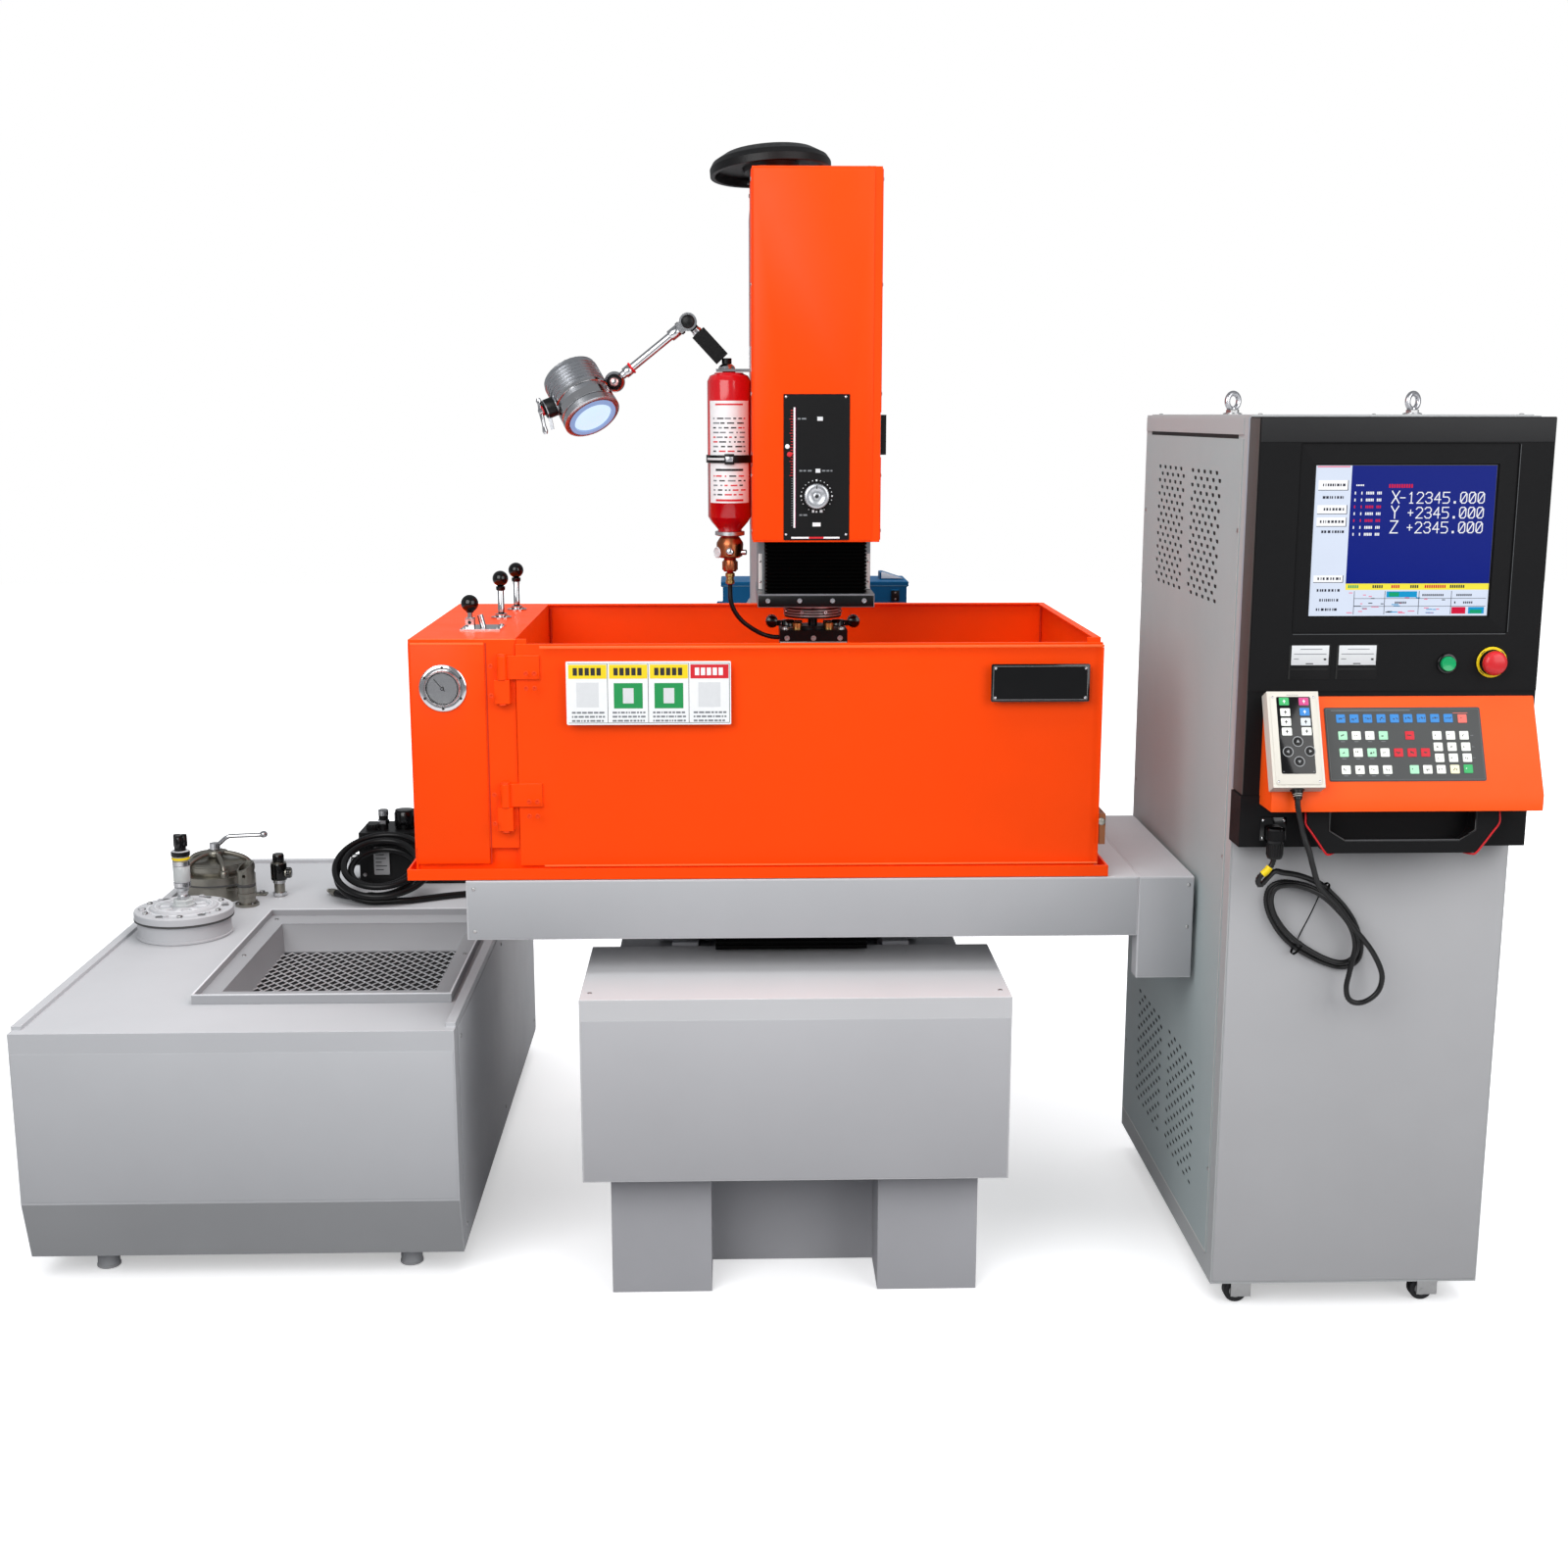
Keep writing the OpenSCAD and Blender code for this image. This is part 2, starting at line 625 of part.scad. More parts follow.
module x_motor_cover() color(grey) place() difference() {
    x1 = saddle_r + motor_cover_l;
    y1 = saddle_y0 + motor_drop_d;
    union() {
        block(saddle_r, x1, saddle_y0, saddle_y1, saddle_z, saddle_top);
        block(saddle_r, x1, saddle_y0, y1, saddle_z - motor_drop, saddle_z + 1);
    }
    block(saddle_r - 1, x1 - sheet_t, saddle_y0 + sheet_t, saddle_y1 - sheet_t,
        saddle_z + sheet_t, saddle_top - sheet_t);
    block(saddle_r + sheet_t, x1 - sheet_t, saddle_y0 + sheet_t, y1 - sheet_t,
        saddle_z - motor_drop + sheet_t, saddle_z + sheet_t + 1);
}

module x_servo() color(dark) place() {
    block(saddle_r, saddle_r + 88, saddle_cy - servo / 2, saddle_cy + servo / 2,
        x_screw_z - 35, x_screw_z + 45);
    block(saddle_r + 50, saddle_r + 80, saddle_cy + servo / 2 - 1, saddle_cy + servo / 2 + 20,
        x_screw_z - 10, x_screw_z + 20);
}

module x_screw() color(steel) place()
    rod_x(recess_x0 - 13, saddle_r - 0.5, saddle_cy, x_screw_z, screw_d / 2);

module cross_table() color(iron) place() difference() {
    block(table_x0, table_x1, recess_y0 + 10, recess_y1 - 10, saddle_z + 35, tank_z);
    for (s = [-1, 1]) translate([0, saddle_cy + s * x_way_gap / 2, 0])
        block(table_x0 - 1, table_x1 + 1, -x_way_w / 2 - slide_clear, x_way_w / 2 + slide_clear,
            saddle_z + 30, x_way_top + slide_clear);
    for (x = [[table_x0 - 1, -60], [20, table_x1 + 1]])
        block(x[0], x[1], saddle_cy - 18, saddle_cy + 18, saddle_z + 30, x_screw_z + 18);
    rod_x(-61, 21, saddle_cy, x_screw_z, screw_d / 2 + run_clear);
}

// ---- Work tank ----

lip = 10;            // how far the drip tray stands out of the tank
lip_h = 20;
pin_r = 4;
hinge_x = box_r - 22;
hinge_y = tank_y0 - 10;
hinge_zs = [tank_top - 70, tank_z + 130];   // foot of each upper knuckle
knuckle_h = 42;
door_y = tank_y0 - 4;
door_r = tank_r + 3;
rod2 = [-tank_left + 121, tank_y1 - 275];
rod3 = [-tank_left + 134, tank_y1 - 125];
gate = [-tank_left + 86, tank_y0 + 173];
door_top = tank_top - 8;

module tank_shell() {
    difference() {
        block(-tank_left, tank_r, tank_y0 + 4, tank_y1, tank_z, tank_top);
        block(box_r, tank_r - tank_t, tank_y0, tank_y1 - tank_t, tank_z + 6, tank_top + 1);
        block(-tank_left + tank_t, box_r - tank_t, tank_y0, tank_y1 - tank_t, tank_z + 6, tank_top - tank_t);
        for (p = [rod2, rod3]) rod_z(p[0], p[1], tank_top - 10, tank_top + 1, 9);
    }
    // drip tray
    difference() {
        block(-tank_left - lip - 3, tank_r + lip + 12, tank_y0 - lip - 10, tank_y1 + lip,
            tank_z, tank_z + lip_h);
        block(-tank_left - lip + 1, tank_r + lip + 8, tank_y0 - lip - 6, tank_y1 + lip - 4, tank_z + 6,
            tank_z + lip_h + 1);
    }
    // front of the control compartment over its recessed toe
    block(-tank_left, box_r, tank_y0, tank_y0 + 8, tank_z + 54, tank_top);
    block(-tank_left, box_r, tank_y0 + 10, tank_y0 + 14, tank_z + 6, tank_z + 58);
    block(-tank_left, box_r, tank_y0 + 7, tank_y0 + 14, tank_z + 54, tank_z + 58);
    // frame that the door closes on
    block(box_r - 1, tank_r, tank_y0 + 4, tank_y0 + 8, tank_z + 6, tank_z + 48);
    block(tank_r - 24, tank_r, tank_y0 + 4, tank_y0 + 8, tank_z + 6, tank_top);
    block(box_r - 1, box_r + 20, tank_y0 + 4, tank_y0 + 8, tank_z + 6, tank_top);
    // inward rims along the top edge
    block(box_r - 1, tank_r, tank_y1 - 14, tank_y1, tank_top - 3, tank_top);
    block(tank_r - 14, tank_r, tank_y0 + 4, tank_y1, tank_top - 3, tank_top);
}

module work_tank() color(orange) place() {
    tank_shell();
    for (z = hinge_zs) {
        difference() {
            block(hinge_x - 14, hinge_x + 13, hinge_y - 6, tank_y0 + 1, z - knuckle_h, z);
            rod_z(hinge_x, hinge_y, z - 20, z + 1, pin_r);
        }
        rod_z(hinge_x, hinge_y, z - 20, z + knuckle_h - 5, pin_r);
    }
}

leaf = 5;

module tank_door() color([0.95, 0.3, 0.07]) place() {
    block(box_r + 1, door_r, door_y, door_y + 3, tank_z + 22, door_top);
    block(box_r + 1, box_r + 4, door_y + 2, door_y + 6, tank_z + 22, door_top);
    block(door_r - 3, door_r, door_y + 2, door_y + 6, tank_z + 22, door_top);
    block(box_r + 1, door_r, door_y + 2, door_y + 6, door_top - 3, door_top);
    block(box_r + 1, door_r, door_y + 2, door_y + 6, tank_z + 22, tank_z + 25);
    for (z = hinge_zs) difference() {
        union() {
            block(hinge_x, hinge_x + 65, door_y - leaf, door_y, z + body_gap, z + knuckle_h);
            rod_z(hinge_x, hinge_y, z + body_gap, z + knuckle_h, 9);
        }
        rod_z(hinge_x, hinge_y, z - 1, z + knuckle_h - 4, pin_r + run_clear);
    }
}

latch_p = [tank_r, tank_y0 + 36, tank_z + 95];

module tank_latch() color([0.55, 0.3, 0.18]) place() {
    rod_x(tank_r + body_gap, tank_r + 6, latch_p[1], latch_p[2], 9);
    block(door_r + 1, door_r + 12, tank_y0 - 16, latch_p[1] + 12, latch_p[2] - 37, latch_p[2] + 19);
    rod_x(tank_r + 4, door_r + 8, latch_p[1], latch_p[2], 9);
}

slot_w = 12;
slot_pitch = 90;
slab_h = 55;         // thickness of the work table

module work_table() color(iron) place() {
    cx = -20;
    cy = (tank_y0 + tank_y1) / 2 - 6;
    difference() {
        block(cx - table_l / 2, cx + table_l / 2, cy - table_w / 2, cy + table_w / 2,
            table_top - slab_h, table_top);
        for (s = [-1, 0, 1]) translate([cx, cy + s * slot_pitch, table_top - 22]) {
            block(-table_l / 2 - 1, table_l / 2 + 1, -slot_w / 2, slot_w / 2, 0, 23);
            block(-table_l / 2 - 1, table_l / 2 + 1, -slot_w, slot_w, 0, 10);
        }
    }
    // four legs
    for (x = [20 - table_l / 2, table_l / 2 - 80], y = [10 - table_w / 2, table_w / 2 - 70])
        translate([cx + x, cy + y, tank_z + 6]) cube([60, 60, table_rise - slab_h - 6]);
}

gauge = [-tank_left + 59, tank_top - 85];

guide_r = 20;        // flanges that guide the two rods

module tank_fittings() color(steel) place() {
    // pressure gauge
    difference() {
        union() {
            rod_y(gauge[0], tank_y0 - 4, tank_y0, gauge[1], 41);
            rod_y(gauge[0], tank_y0 - 16, tank_y0 - 3, gauge[1], 31);
        }
        rod_y(gauge[0], tank_y0 - 17, tank_y0 - 5, gauge[1], 28.5);
    }
    rod_y(gauge[0], tank_y0 - 12, tank_y0 - 4, gauge[1], 1.5);
    // plate, ears and stud of the level gate's lever
    block(gate[0] - 14, gate[0] + 59, gate[1] - 40, gate[1] + 40, tank_top, tank_top + 3);
    for (s = [-1, 1]) translate([gate[0], gate[1] + s * 8, tank_top]) difference() {
        block(-8, 8, -2, 2, 2, 20);
        rod_y(0, -3, 3, 12, 3 + run_clear);
    }
    along([gate[0] + 24, gate[1], tank_top + 2], [-0.25, 0, 1]) cylinder(h = 24, r = 5.5);
    // guide flanges of the two rods
    for (p = [rod2, rod3]) difference() {
        union() {
            rod_z(p[0], p[1], tank_top, tank_top + 3, guide_r);
            rod_z(p[0], p[1], tank_top, tank_top + 8, 11);
        }
        rod_z(p[0], p[1], tank_top - 1, tank_top + 9, 6 + run_clear);
    }
}

module gauge_needle() color("black") place() difference() {
    union() {
        rod_y(gauge[0], tank_y0 - 11, tank_y0 - 9.5, gauge[1], 3.5);
        translate([gauge[0], tank_y0, gauge[1]]) rotate([0, -40, 0]) block(-0.7, 0.7, -10.7, -9.7, -6, 22);
    }
    rod_y(gauge[0], tank_y0 - 13, tank_y0 - 8, gauge[1], 1.5 + run_clear);
}

module gate_lever() color(dark) place() {
    p = [gate[0], gate[1], tank_top + 12];
    rod_y(p[0], p[1] - 11, p[1] + 11, p[2], 3);
    rod_y(p[0], p[1] - 5, p[1] + 5, p[2], 7);
    rod_z(p[0], p[1], p[2], p[2] + 22, 4);
    translate(p + [0, 0, 34]) sphere(r = 16);
}

module ball_rod(p, ball_z) {
    rod_z(p[0], p[1], tank_top - 160, ball_z - 10, 6);
    translate([p[0], p[1], ball_z]) sphere(r = 15);
    rod_z(p[0], p[1], tank_top - 170, tank_top - 155, 12);
}

module flush_rod() color(dark) place() ball_rod(rod2, tank_top + 76);
module drain_rod() color(dark) place() ball_rod(rod3, tank_top + 80);

// ---- Dielectric unit ----

chamfer_z = 166;
chamfer_d = 30;
tray_x0 = unit_x + 279;
tray_y0 = unit_y0 + 163;
tray_wall = 3;
tray_ledge = 36;     // from the tray's rim to its basin, at the sides
tray_end = 64;       // and at the front and back
tray_slope = [10, 30];   // run of the basin's walls at the sides and ends

module unit_outline(inset) {
    polygon([[unit_y0 + inset, chamfer_z], [unit_y0 + chamfer_d + inset, unit_foot_h + inset],
        [unit_y1 - inset, unit_foot_h + inset], [unit_y1 - inset, unit_h - inset],
        [unit_y0 + inset, unit_h - inset]]);
}

module across_unit(x0, x1) translate([x0, 0, 0]) rotate([90, 0, 90]) linear_extrude(x1 - x0) children();

module dielectric_tank() color(grey) place() {
    difference() {
        across_unit(unit_x, unit_r) unit_outline(0);
        across_unit(unit_x + unit_t, unit_r - unit_t) unit_outline(unit_t);
        block(tray_x0 + tray_ledge - 1, tray_x0 + tray_w - tray_ledge + 1, tray_y0 + tray_end - 1,
            tray_y0 + tray_l - tray_end + 1, unit_h - unit_t - 1, unit_h + 1);
    }
    for (x = [unit_x, unit_r - 18]) block(x, x + 18, unit_y0 + 20, unit_y1, unit_h - 1, unit_h + 8);
    block(unit_x, unit_r, unit_y1 - 18, unit_y1, unit_h - 1, unit_h + 8);
    for (x = [unit_x + 113, unit_r - 110], y = [unit_y0 + 105, unit_y1 - 105])
        rod_z(x, y, 0, unit_foot_h + 1, 20);
}

// Basin with sloping walls, its outside when inset is 0
module basin(inset, top) {
    x0 = tray_x0 + tray_ledge + inset;
    x1 = tray_x0 + tray_w - tray_ledge - inset;
    y0 = tray_y0 + tray_end + inset;
    y1 = tray_y0 + tray_l - tray_end - inset;
    hull() {
        block(x0, x1, y0, y1, unit_h, top);
        block(x0 + tray_slope[0], x1 - tray_slope[0], y0 + tray_slope[1], y1 - tray_slope[1],
            unit_h - tray_depth + inset, unit_h - tray_depth + inset + 0.1);
    }
}

module strainer_tray() color(grey) place() {
    mesh_z = unit_h - tray_depth + tray_wall;
    side = tray_ledge + tray_wall + tray_slope[0];
    end = tray_end + tray_wall + tray_slope[1];
    difference() {
        union() {
            block(tray_x0, tray_x0 + tray_w, tray_y0, tray_y0 + tray_l, unit_h, unit_h + 18);
            basin(0, unit_h + 4);
        }
        block(tray_x0 + tray_wall, tray_x0 + tray_w - tray_wall,
            tray_y0 + tray_wall, tray_y0 + tray_l - tray_wall, unit_h + 4, unit_h + 19);
        basin(tray_wall, unit_h + 5);
        block(tray_x0 + side + 12, tray_x0 + tray_w - side - 12,
            tray_y0 + end + 12, tray_y0 + tray_l - end - 12, unit_h - tray_depth - 1, mesh_z + 2);
    }
    // mesh lying in the bottom
    block(tray_x0 + side, tray_x0 + tray_w - side, tray_y0 + end, tray_y0 + tray_l - end, mesh_z, mesh_z + 4);
}

can1 = [unit_x + 128, unit_y0 + 655];
can2 = [unit_x + 110, unit_y0 + 976];
nozzle = [unit_x + 200, unit_y0 + 885];
valve = [unit_x + 253, unit_y0 + 968];

module front_canister() color(grey) place() {
    translate([can1[0], can1[1], unit_h]) {
        rotate_extrude() polygon([[0, 0], [95, 0], [95, 36], [101, 38], [101, 55], [99, 57], [70, 57],
            [67, 62], [52, 62], [49, 58], [24, 58], [20, 66], [10.5, 66], [10.5, 100], [16.5, 102],
            [16.5, 167], [18.5, 168], [18.5, 180], [0, 180]]);
        for (i = [0 : 5]) rotate([0, 0, 60 * i + 20]) translate([84, 0, 56]) cylinder(h = 6, r = 5.5);
    }
}

knob_z = unit_h + 180;

module air_valve_knob() color(dark) place() translate([can1[0], can1[1], knob_z + body_gap]) {
    cylinder(h = 9, r = 12);
    for (i = [0 : 2]) rotate([0, 0, 120 * i + 30]) translate([8, 0, 8]) cylinder(h = 25, r = 7);
    translate([0, 0, 8]) cylinder(h = 20, r = 9);
}

module rear_canister() color(grey) place() {
    translate([can2[0], can2[1], unit_h]) {
        rotate_extrude() polygon([[0, 0], [78, 0], [78, 34], [83, 36], [83, 57], [78, 59], [64, 59], [66, 64],
            [66, 80], [60, 84], [30, 86], [14, 92], [14, 108], [0, 108]]);
        for (i = [0 : 4]) rotate([0, 0, 72 * i + 10]) block(58, 80, -9, 9, 58, 74);
    }
    difference() {
        union() {
            rod_z(nozzle[0], nozzle[1], unit_h, unit_h + 99, 19);
            rod_z(nozzle[0], nozzle[1], unit_h, unit_h + 6, 26);
        }
        rod_z(nozzle[0], nozzle[1], unit_h + 60, unit_h + 100, 15);
        translate([nozzle[0], nozzle[1], unit_h + 92]) rotate([20, -28, 0]) block(-40, 40, -40, 40, 0, 40);
        rod_y(nozzle[0], nozzle[1] - 30, nozzle[1], unit_h + 70, 4);
    }
    rod_z(valve[0], valve[1], unit_h, unit_h + 38, 12);
    rod_z(valve[0], valve[1], unit_h + 38, unit_h + 78, 17);
    rod_z(valve[0], valve[1], unit_h + 78, unit_h + 98, 12);
    rod_x(valve[0] + 10, valve[0] + 28, valve[1], unit_h + 54, 11);
}

lever_z = unit_h + 108;

module clamp_lever() color(steel) place() {
    rod_z(can2[0], can2[1], lever_z + body_gap, lever_z + 14, 12);
    swept([[can2[0] + 4, can2[1], lever_z + 8], [can2[0] + 14, can2[1], lever_z + 16],
        [can2[0] + 24, can2[1], lever_z + 25], [can2[0] + 34, can2[1], lever_z + 30],
        [can2[0] + 112, can2[1], lever_z + 33]], 5, 12);
}

pump_x = unit_x + 416;
pump_y = unit_y0 + 1067;

module pump() color(dark) place() {
    block(pump_x, pump_x + 150, pump_y, pump_y + 130, unit_h + 12, unit_h + 123);
    block(pump_x - 8, pump_x + 300, pump_y + 5, pump_y + 125, unit_h, unit_h + 12);
    rod_x(pump_x + 149, pump_x + 300, pump_y + 65, unit_h + 68, 58);
    block(pump_x + 180, pump_x + 260, pump_y + 30, pump_y + 100, unit_h + 110, unit_h + 150);
    rod_z(pump_x + 52, pump_y + 40, unit_h + 122, unit_h + 170, 11);
    rod_z(pump_x + 26, pump_y + 40, unit_h + 122, unit_h + 136, 13);
    rod_z(pump_x + 100, pump_y + 50, unit_h + 122, unit_h + 168, 22);
    rod_x(pump_x - 30, pump_x + 1, pump_y + 60, unit_h + 45, 13);
    block(pump_x + 30, pump_x + 72, pump_y - 3, pump_y, unit_h + 22, unit_h + 92);
}

// Supply hose: a free end with a metal fitting, a coil that leans on the pump, and a run to the port
// on the bed
supply_d = 15;
coil_r = 90;
coil_band = 26;
coil_lean = 26;
coil_c = [-950, pump_y - body_gap - coil_band - coil_r * cos(coil_lean),
    unit_h + body_gap + coil_band + coil_r * sin(coil_lean)];
hose_port = [bed_l, 600, bed_h - 80];
hose_tail = [[-1066, 594, 497], [-1052, 579, 497], [-1036, 563, 497], [-1018, 547, 498], [-998, 533, 499],
    [-978, 523, 500]];
hose_run = [[-935, 511, 500], [-908, 511, 497], [-880, 518, 496], [-850, 532, 496], [-820, 548, 496],
    [-790, 562, 496], [-760, 573, 496], [-730, 580, 498], [-700, 585, 502], [-672, 589, 506],
    [-645, 592, 505], [-600, 596, 492], [-550, 600, 476], [-500, 602, 465], [-450, 601, 461],
    [-420, 600, 460], [-396, 600, 460]];

module hose_coil() color(dark) place() translate(coil_c) rotate([coil_lean, 0, 0])
    rotate_extrude($fn = 36) translate([coil_r, 0]) circle(r = coil_band, $fn = 24);

module supply_hose() color(dark) place() {
    swept(hose_tail, supply_d / 2, 10);
    swept(hose_run, supply_d / 2, 10);
    along(hose_tail[0], [-13, 16, 0]) cylinder(h = 20, r = 7);
}

// ---- Control cabinet ----

cab_t = 2.5;
wheel_r = wheel_d / 2;
caster_xs = [cab_x + 69, cab_x + cab_w - 69];
caster_front = cab_y0 + 48;
caster_back = cab_y1 - 70;
caster_trail = 12;
shelf_z = cab_z + 402;

module cabinet_shell() color([0.68, 0.68, 0.69]) place() {
    difference() {
        block(cab_x, cab_x + cab_w, cab_y0, cab_y1, cab_z, cab_top);
        block(cab_x + cab_t, cab_x + cab_w - cab_t, cab_y0 + cab_t, cab_y1 - cab_t,
            cab_z + cab_t, cab_top - cab_t);
        block(cab_x + 12, cab_x + cab_w - 12, cab_y0 - 1, cab_y0 + cab_t + 1, bezel_z + 60, cab_top - 12);
    }
    // shelf, and the fixed forks of the rear casters
    block(cab_x + cab_t - 1, cab_x + cab_w - cab_t + 1, cab_y0 + 150, cab_y1 - cab_t + 1,
        shelf_z - 4, shelf_z);
    for (x = caster_xs) fork(x, caster_back, 0);
}

module power_unit() color(iron) place() {
    block(cab_x + 40, cab_x + cab_w - 40, cab_y0 + 200, cab_y1 - 60, cab_z + cab_t, shelf_z - 64);
    block(cab_x + 60, cab_x + cab_w - 60, cab_y0 + 200, cab_y1 - 60, shelf_z, shelf_z + 316);
}

bar_y = bezel_y - 3;
bar_h = 86;
screen_x = cab_x + 92;
screen_z = bezel_z + 381;
screen_w = 294;
screen_h = 243;
start_p = [cab_x + 323, bezel_z + 305];
stop_p = [cab_x + 396, bezel_z + 307];
grip_w = 315;
grip_h = console_z - bezel_z + 2;
grip_d = 40;         // reach of the handle before the bar
grip_x0 = cab_x + 96;

// U with slanted lower corners: its sides, its foot, the height and run of the slants, and its top
module grip_outline(side, low, corner, run, top) polygon([[side, top], [side, corner], [side + run, low],
    [grip_w - side - run, low], [grip_w - side, corner], [grip_w - side, top]]);

module bezel() color(dark) place() {
    difference() {
        union() {
            block(cab_x, cab_x + cab_w, bezel_y, cab_y0, bezel_z + bar_h - 1, cab_top - 2);
            block(cab_x - 4, cab_x + cab_w, bar_y, cab_y0, bezel_z, bezel_z + bar_h);
            rod_y(stop_p[0], bezel_y - 5, bezel_y + 1, stop_p[1], 25);
            rod_y(start_p[0], bezel_y - 4, bezel_y + 1, start_p[1], 16);
        }
        block(screen_x, screen_x + screen_w, bezel_y - 1, bezel_y + 6, screen_z, screen_z + screen_h);
        rod_y(stop_p[0], bezel_y - 6, bezel_y + 31, stop_p[1], 9 + run_clear);
        rod_y(start_p[0], bezel_y - 5, bezel_y + 31, start_p[1], 12 + run_clear);
    }
    // grab handle under the console, with its opening at the front and finger room behind its bar
    translate([grip_x0, bar_y, bezel_z - 2]) rotate([90, 0, 0]) difference() {
        linear_extrude(grip_d) grip_outline(0, 0, 50, 34, grip_h);
        translate([0, 0, 6]) linear_extrude(grip_d) grip_outline(37, 21, 38, 27, grip_h + 1);
        translate([0, 0, 6]) linear_extrude(grip_d - 22) grip_outline(37, -1, 38, 27, grip_h + 1);
    }
    // socket for the pendant's plug
    rod_z(plug_p[0], plug_p[1], bezel_z + 12, bezel_z + 34, 15);
    block(plug_p[0] - 12, plug_p[0] + 12, plug_p[1], bar_y + 1, bezel_z + 14, bezel_z + 32);
}

module screen() color([0.05, 0.15, 0.5]) place()
    block(screen_x + 0.2, screen_x + screen_w - 0.2, bezel_y + 2, bezel_y + 6, screen_z + 0.2,
        screen_z + screen_h - 0.2);

module console_outline() polygon([[bezel_y, console_top], [console_y, console_lip], [console_y, console_z],
    [bar_y, console_z], [bar_y, bezel_z + bar_h], [bezel_y, bezel_z + bar_h]]);

module console() color(orange) place()
    translate([console_x, 0, 0]) rotate([90, 0, 90]) linear_extrude(console_w) console_outline();

module start_button() color([0.1, 0.6, 0.35]) place()
    rod_y(start_p[0], bezel_y - 11, bezel_y + 25, start_p[1], 12);

module stop_button() color([0.85, 0.1, 0.1]) place() {
    rod_y(stop_p[0], bezel_y - 12, bezel_y + 25, stop_p[1], 9);
    translate([stop_p[0], bezel_y - 11, stop_p[1]]) rotate([90, 0, 0])
        rotate_extrude() polygon([[0, 0], [12, 0], [19, 4], [19, 9], [15, 13], [0, 14]]);
}

module on_console(p) translate(p) rotate([-slope, 0, 0]) children();

module pendant() color([0.9, 0.88, 0.83]) place() on_console(slope_p) {
    block(-pendant_w / 2, pendant_w / 2, -pendant_t - body_gap, -body_gap, -pendant_l / 2, pendant_l / 2);
    translate([0, -pendant_t / 2 - body_gap, -pendant_l / 2 - 12]) cylinder(h = 13, r1 = 7, r2 = 9);
}

plug_p = [cab_x + 52, bar_y - 16];
cable_d = 10;
pendant_route = [[751, -653, 963], [751, -656, 949], [754, -657, 934], [759, -655, 916], [766, -649, 896],
    [784, -622, 866], [797, -609, 834], [810, -598, 804], [827, -588, 785], [848, -579, 765],
    [868, -572, 741], [886, -567, 718], [904, -563, 698], [921, -560, 676], [935, -558, 651],
    [941, -557, 631], [938, -556, 610], [927, -555, 595], [911, -554, 586], [896, -553, 586],
    [886, -552, 595], [883, -551, 613], [887, -550, 636], [892, -549, 662], [895, -548, 683],
    [891, -547, 704], [882, -546, 723], [867, -545, 741], [850, -544, 758], [832, -543, 772],
    [811, -542, 782], [787, -540, 788], [766, -538, 786], [755, -536, 777], [752, -534, 760],
    [758, -532, 738], [770, -531, 718], [785, -530, 700], [804, -529, 684], [825, -528, 670],
    [849, -528, 657], [873, -528, 649], [891, -528, 651], [902, -528, 662], [905, -528, 680],
    [899, -528, 701], [887, -528, 723], [869, -528, 744], [850, -528, 762], [833, -528, 774],
    [815, -527, 783], [792, -524, 788], [770, -520, 788], [754, -517, 778], [749, -516, 758],
    [754, -516, 735], [766, -516, 712], [782, -516, 691], [801, -516, 674], [825, -516, 659],
    [852, -516, 646], [879, -516, 638], [900, -516, 640], [913, -516, 652], [916, -516, 673],
    [910, -516, 697], [898, -516, 723], [880, -516, 747], [860, -517, 767], [842, -521, 783],
    [817, -532, 796], [788, -548, 808], [762, -562, 815], [743, -572, 819], [722, -577, 799],
    [715, -581, 804], [716, -585, 814], [727, -587, 825], [735, -587, 836], [738, -587, 848]];

module pendant_cable() color(dark) place() swept(pendant_route, cable_d / 2, 8);

module cable_plug() color(dark) place() rod_z(plug_p[0], plug_p[1], bezel_z - 13, bezel_z + 12, 13);

eye_ring = 14;

module eye_bolts() color(steel) place() for (x = [-165, 165]) translate([cab_cx + x, cab_y0 + 390, cab_top]) {
    cylinder(h = 5, r = 14);
    cylinder(h = 14, r = 6);
    translate([0, 0, 25]) rotate([90, 0, 30]) rotate_extrude()
        translate([eye_ring, 0]) circle(r = 5, $fn = 24);
}

module fork(x, y, turn) translate([x, y, 0]) rotate([0, 0, turn]) {
    block(-22, 22, -22, 22, cab_z - 4, cab_z);
    rod_z(0, 0, cab_z - 10, cab_z - 3, 16);
    for (s = [-1, 1])
        block(s * 14 - 1.5, s * 14 + 1.5, -caster_trail - 10, 14, wheel_r - 8, cab_z - 9);
    rod_x(-16, 16, -caster_trail, wheel_r, 4);
}

module wheel(x, y, turn) translate([x, y, 0]) rotate([0, 0, turn]) difference() {
    rod_x(-10, 10, -caster_trail, wheel_r, wheel_r);
    rod_x(-11, 11, -caster_trail, wheel_r, 4 + run_clear);
}

// The front casters stand turned to the left
module left_fork() color(iron) place() fork(caster_xs[0], caster_front, -90);
module right_fork() color(iron) place() fork(caster_xs[1], caster_front, -90);
module front_left_wheel() color(dark) place() wheel(caster_xs[0], caster_front, -90);
module front_right_wheel() color(dark) place() wheel(caster_xs[1], caster_front, -90);
module rear_left_wheel() color(dark) place() wheel(caster_xs[0], caster_back, 0);
module rear_right_wheel() color(dark) place() wheel(caster_xs[1], caster_back, 0);

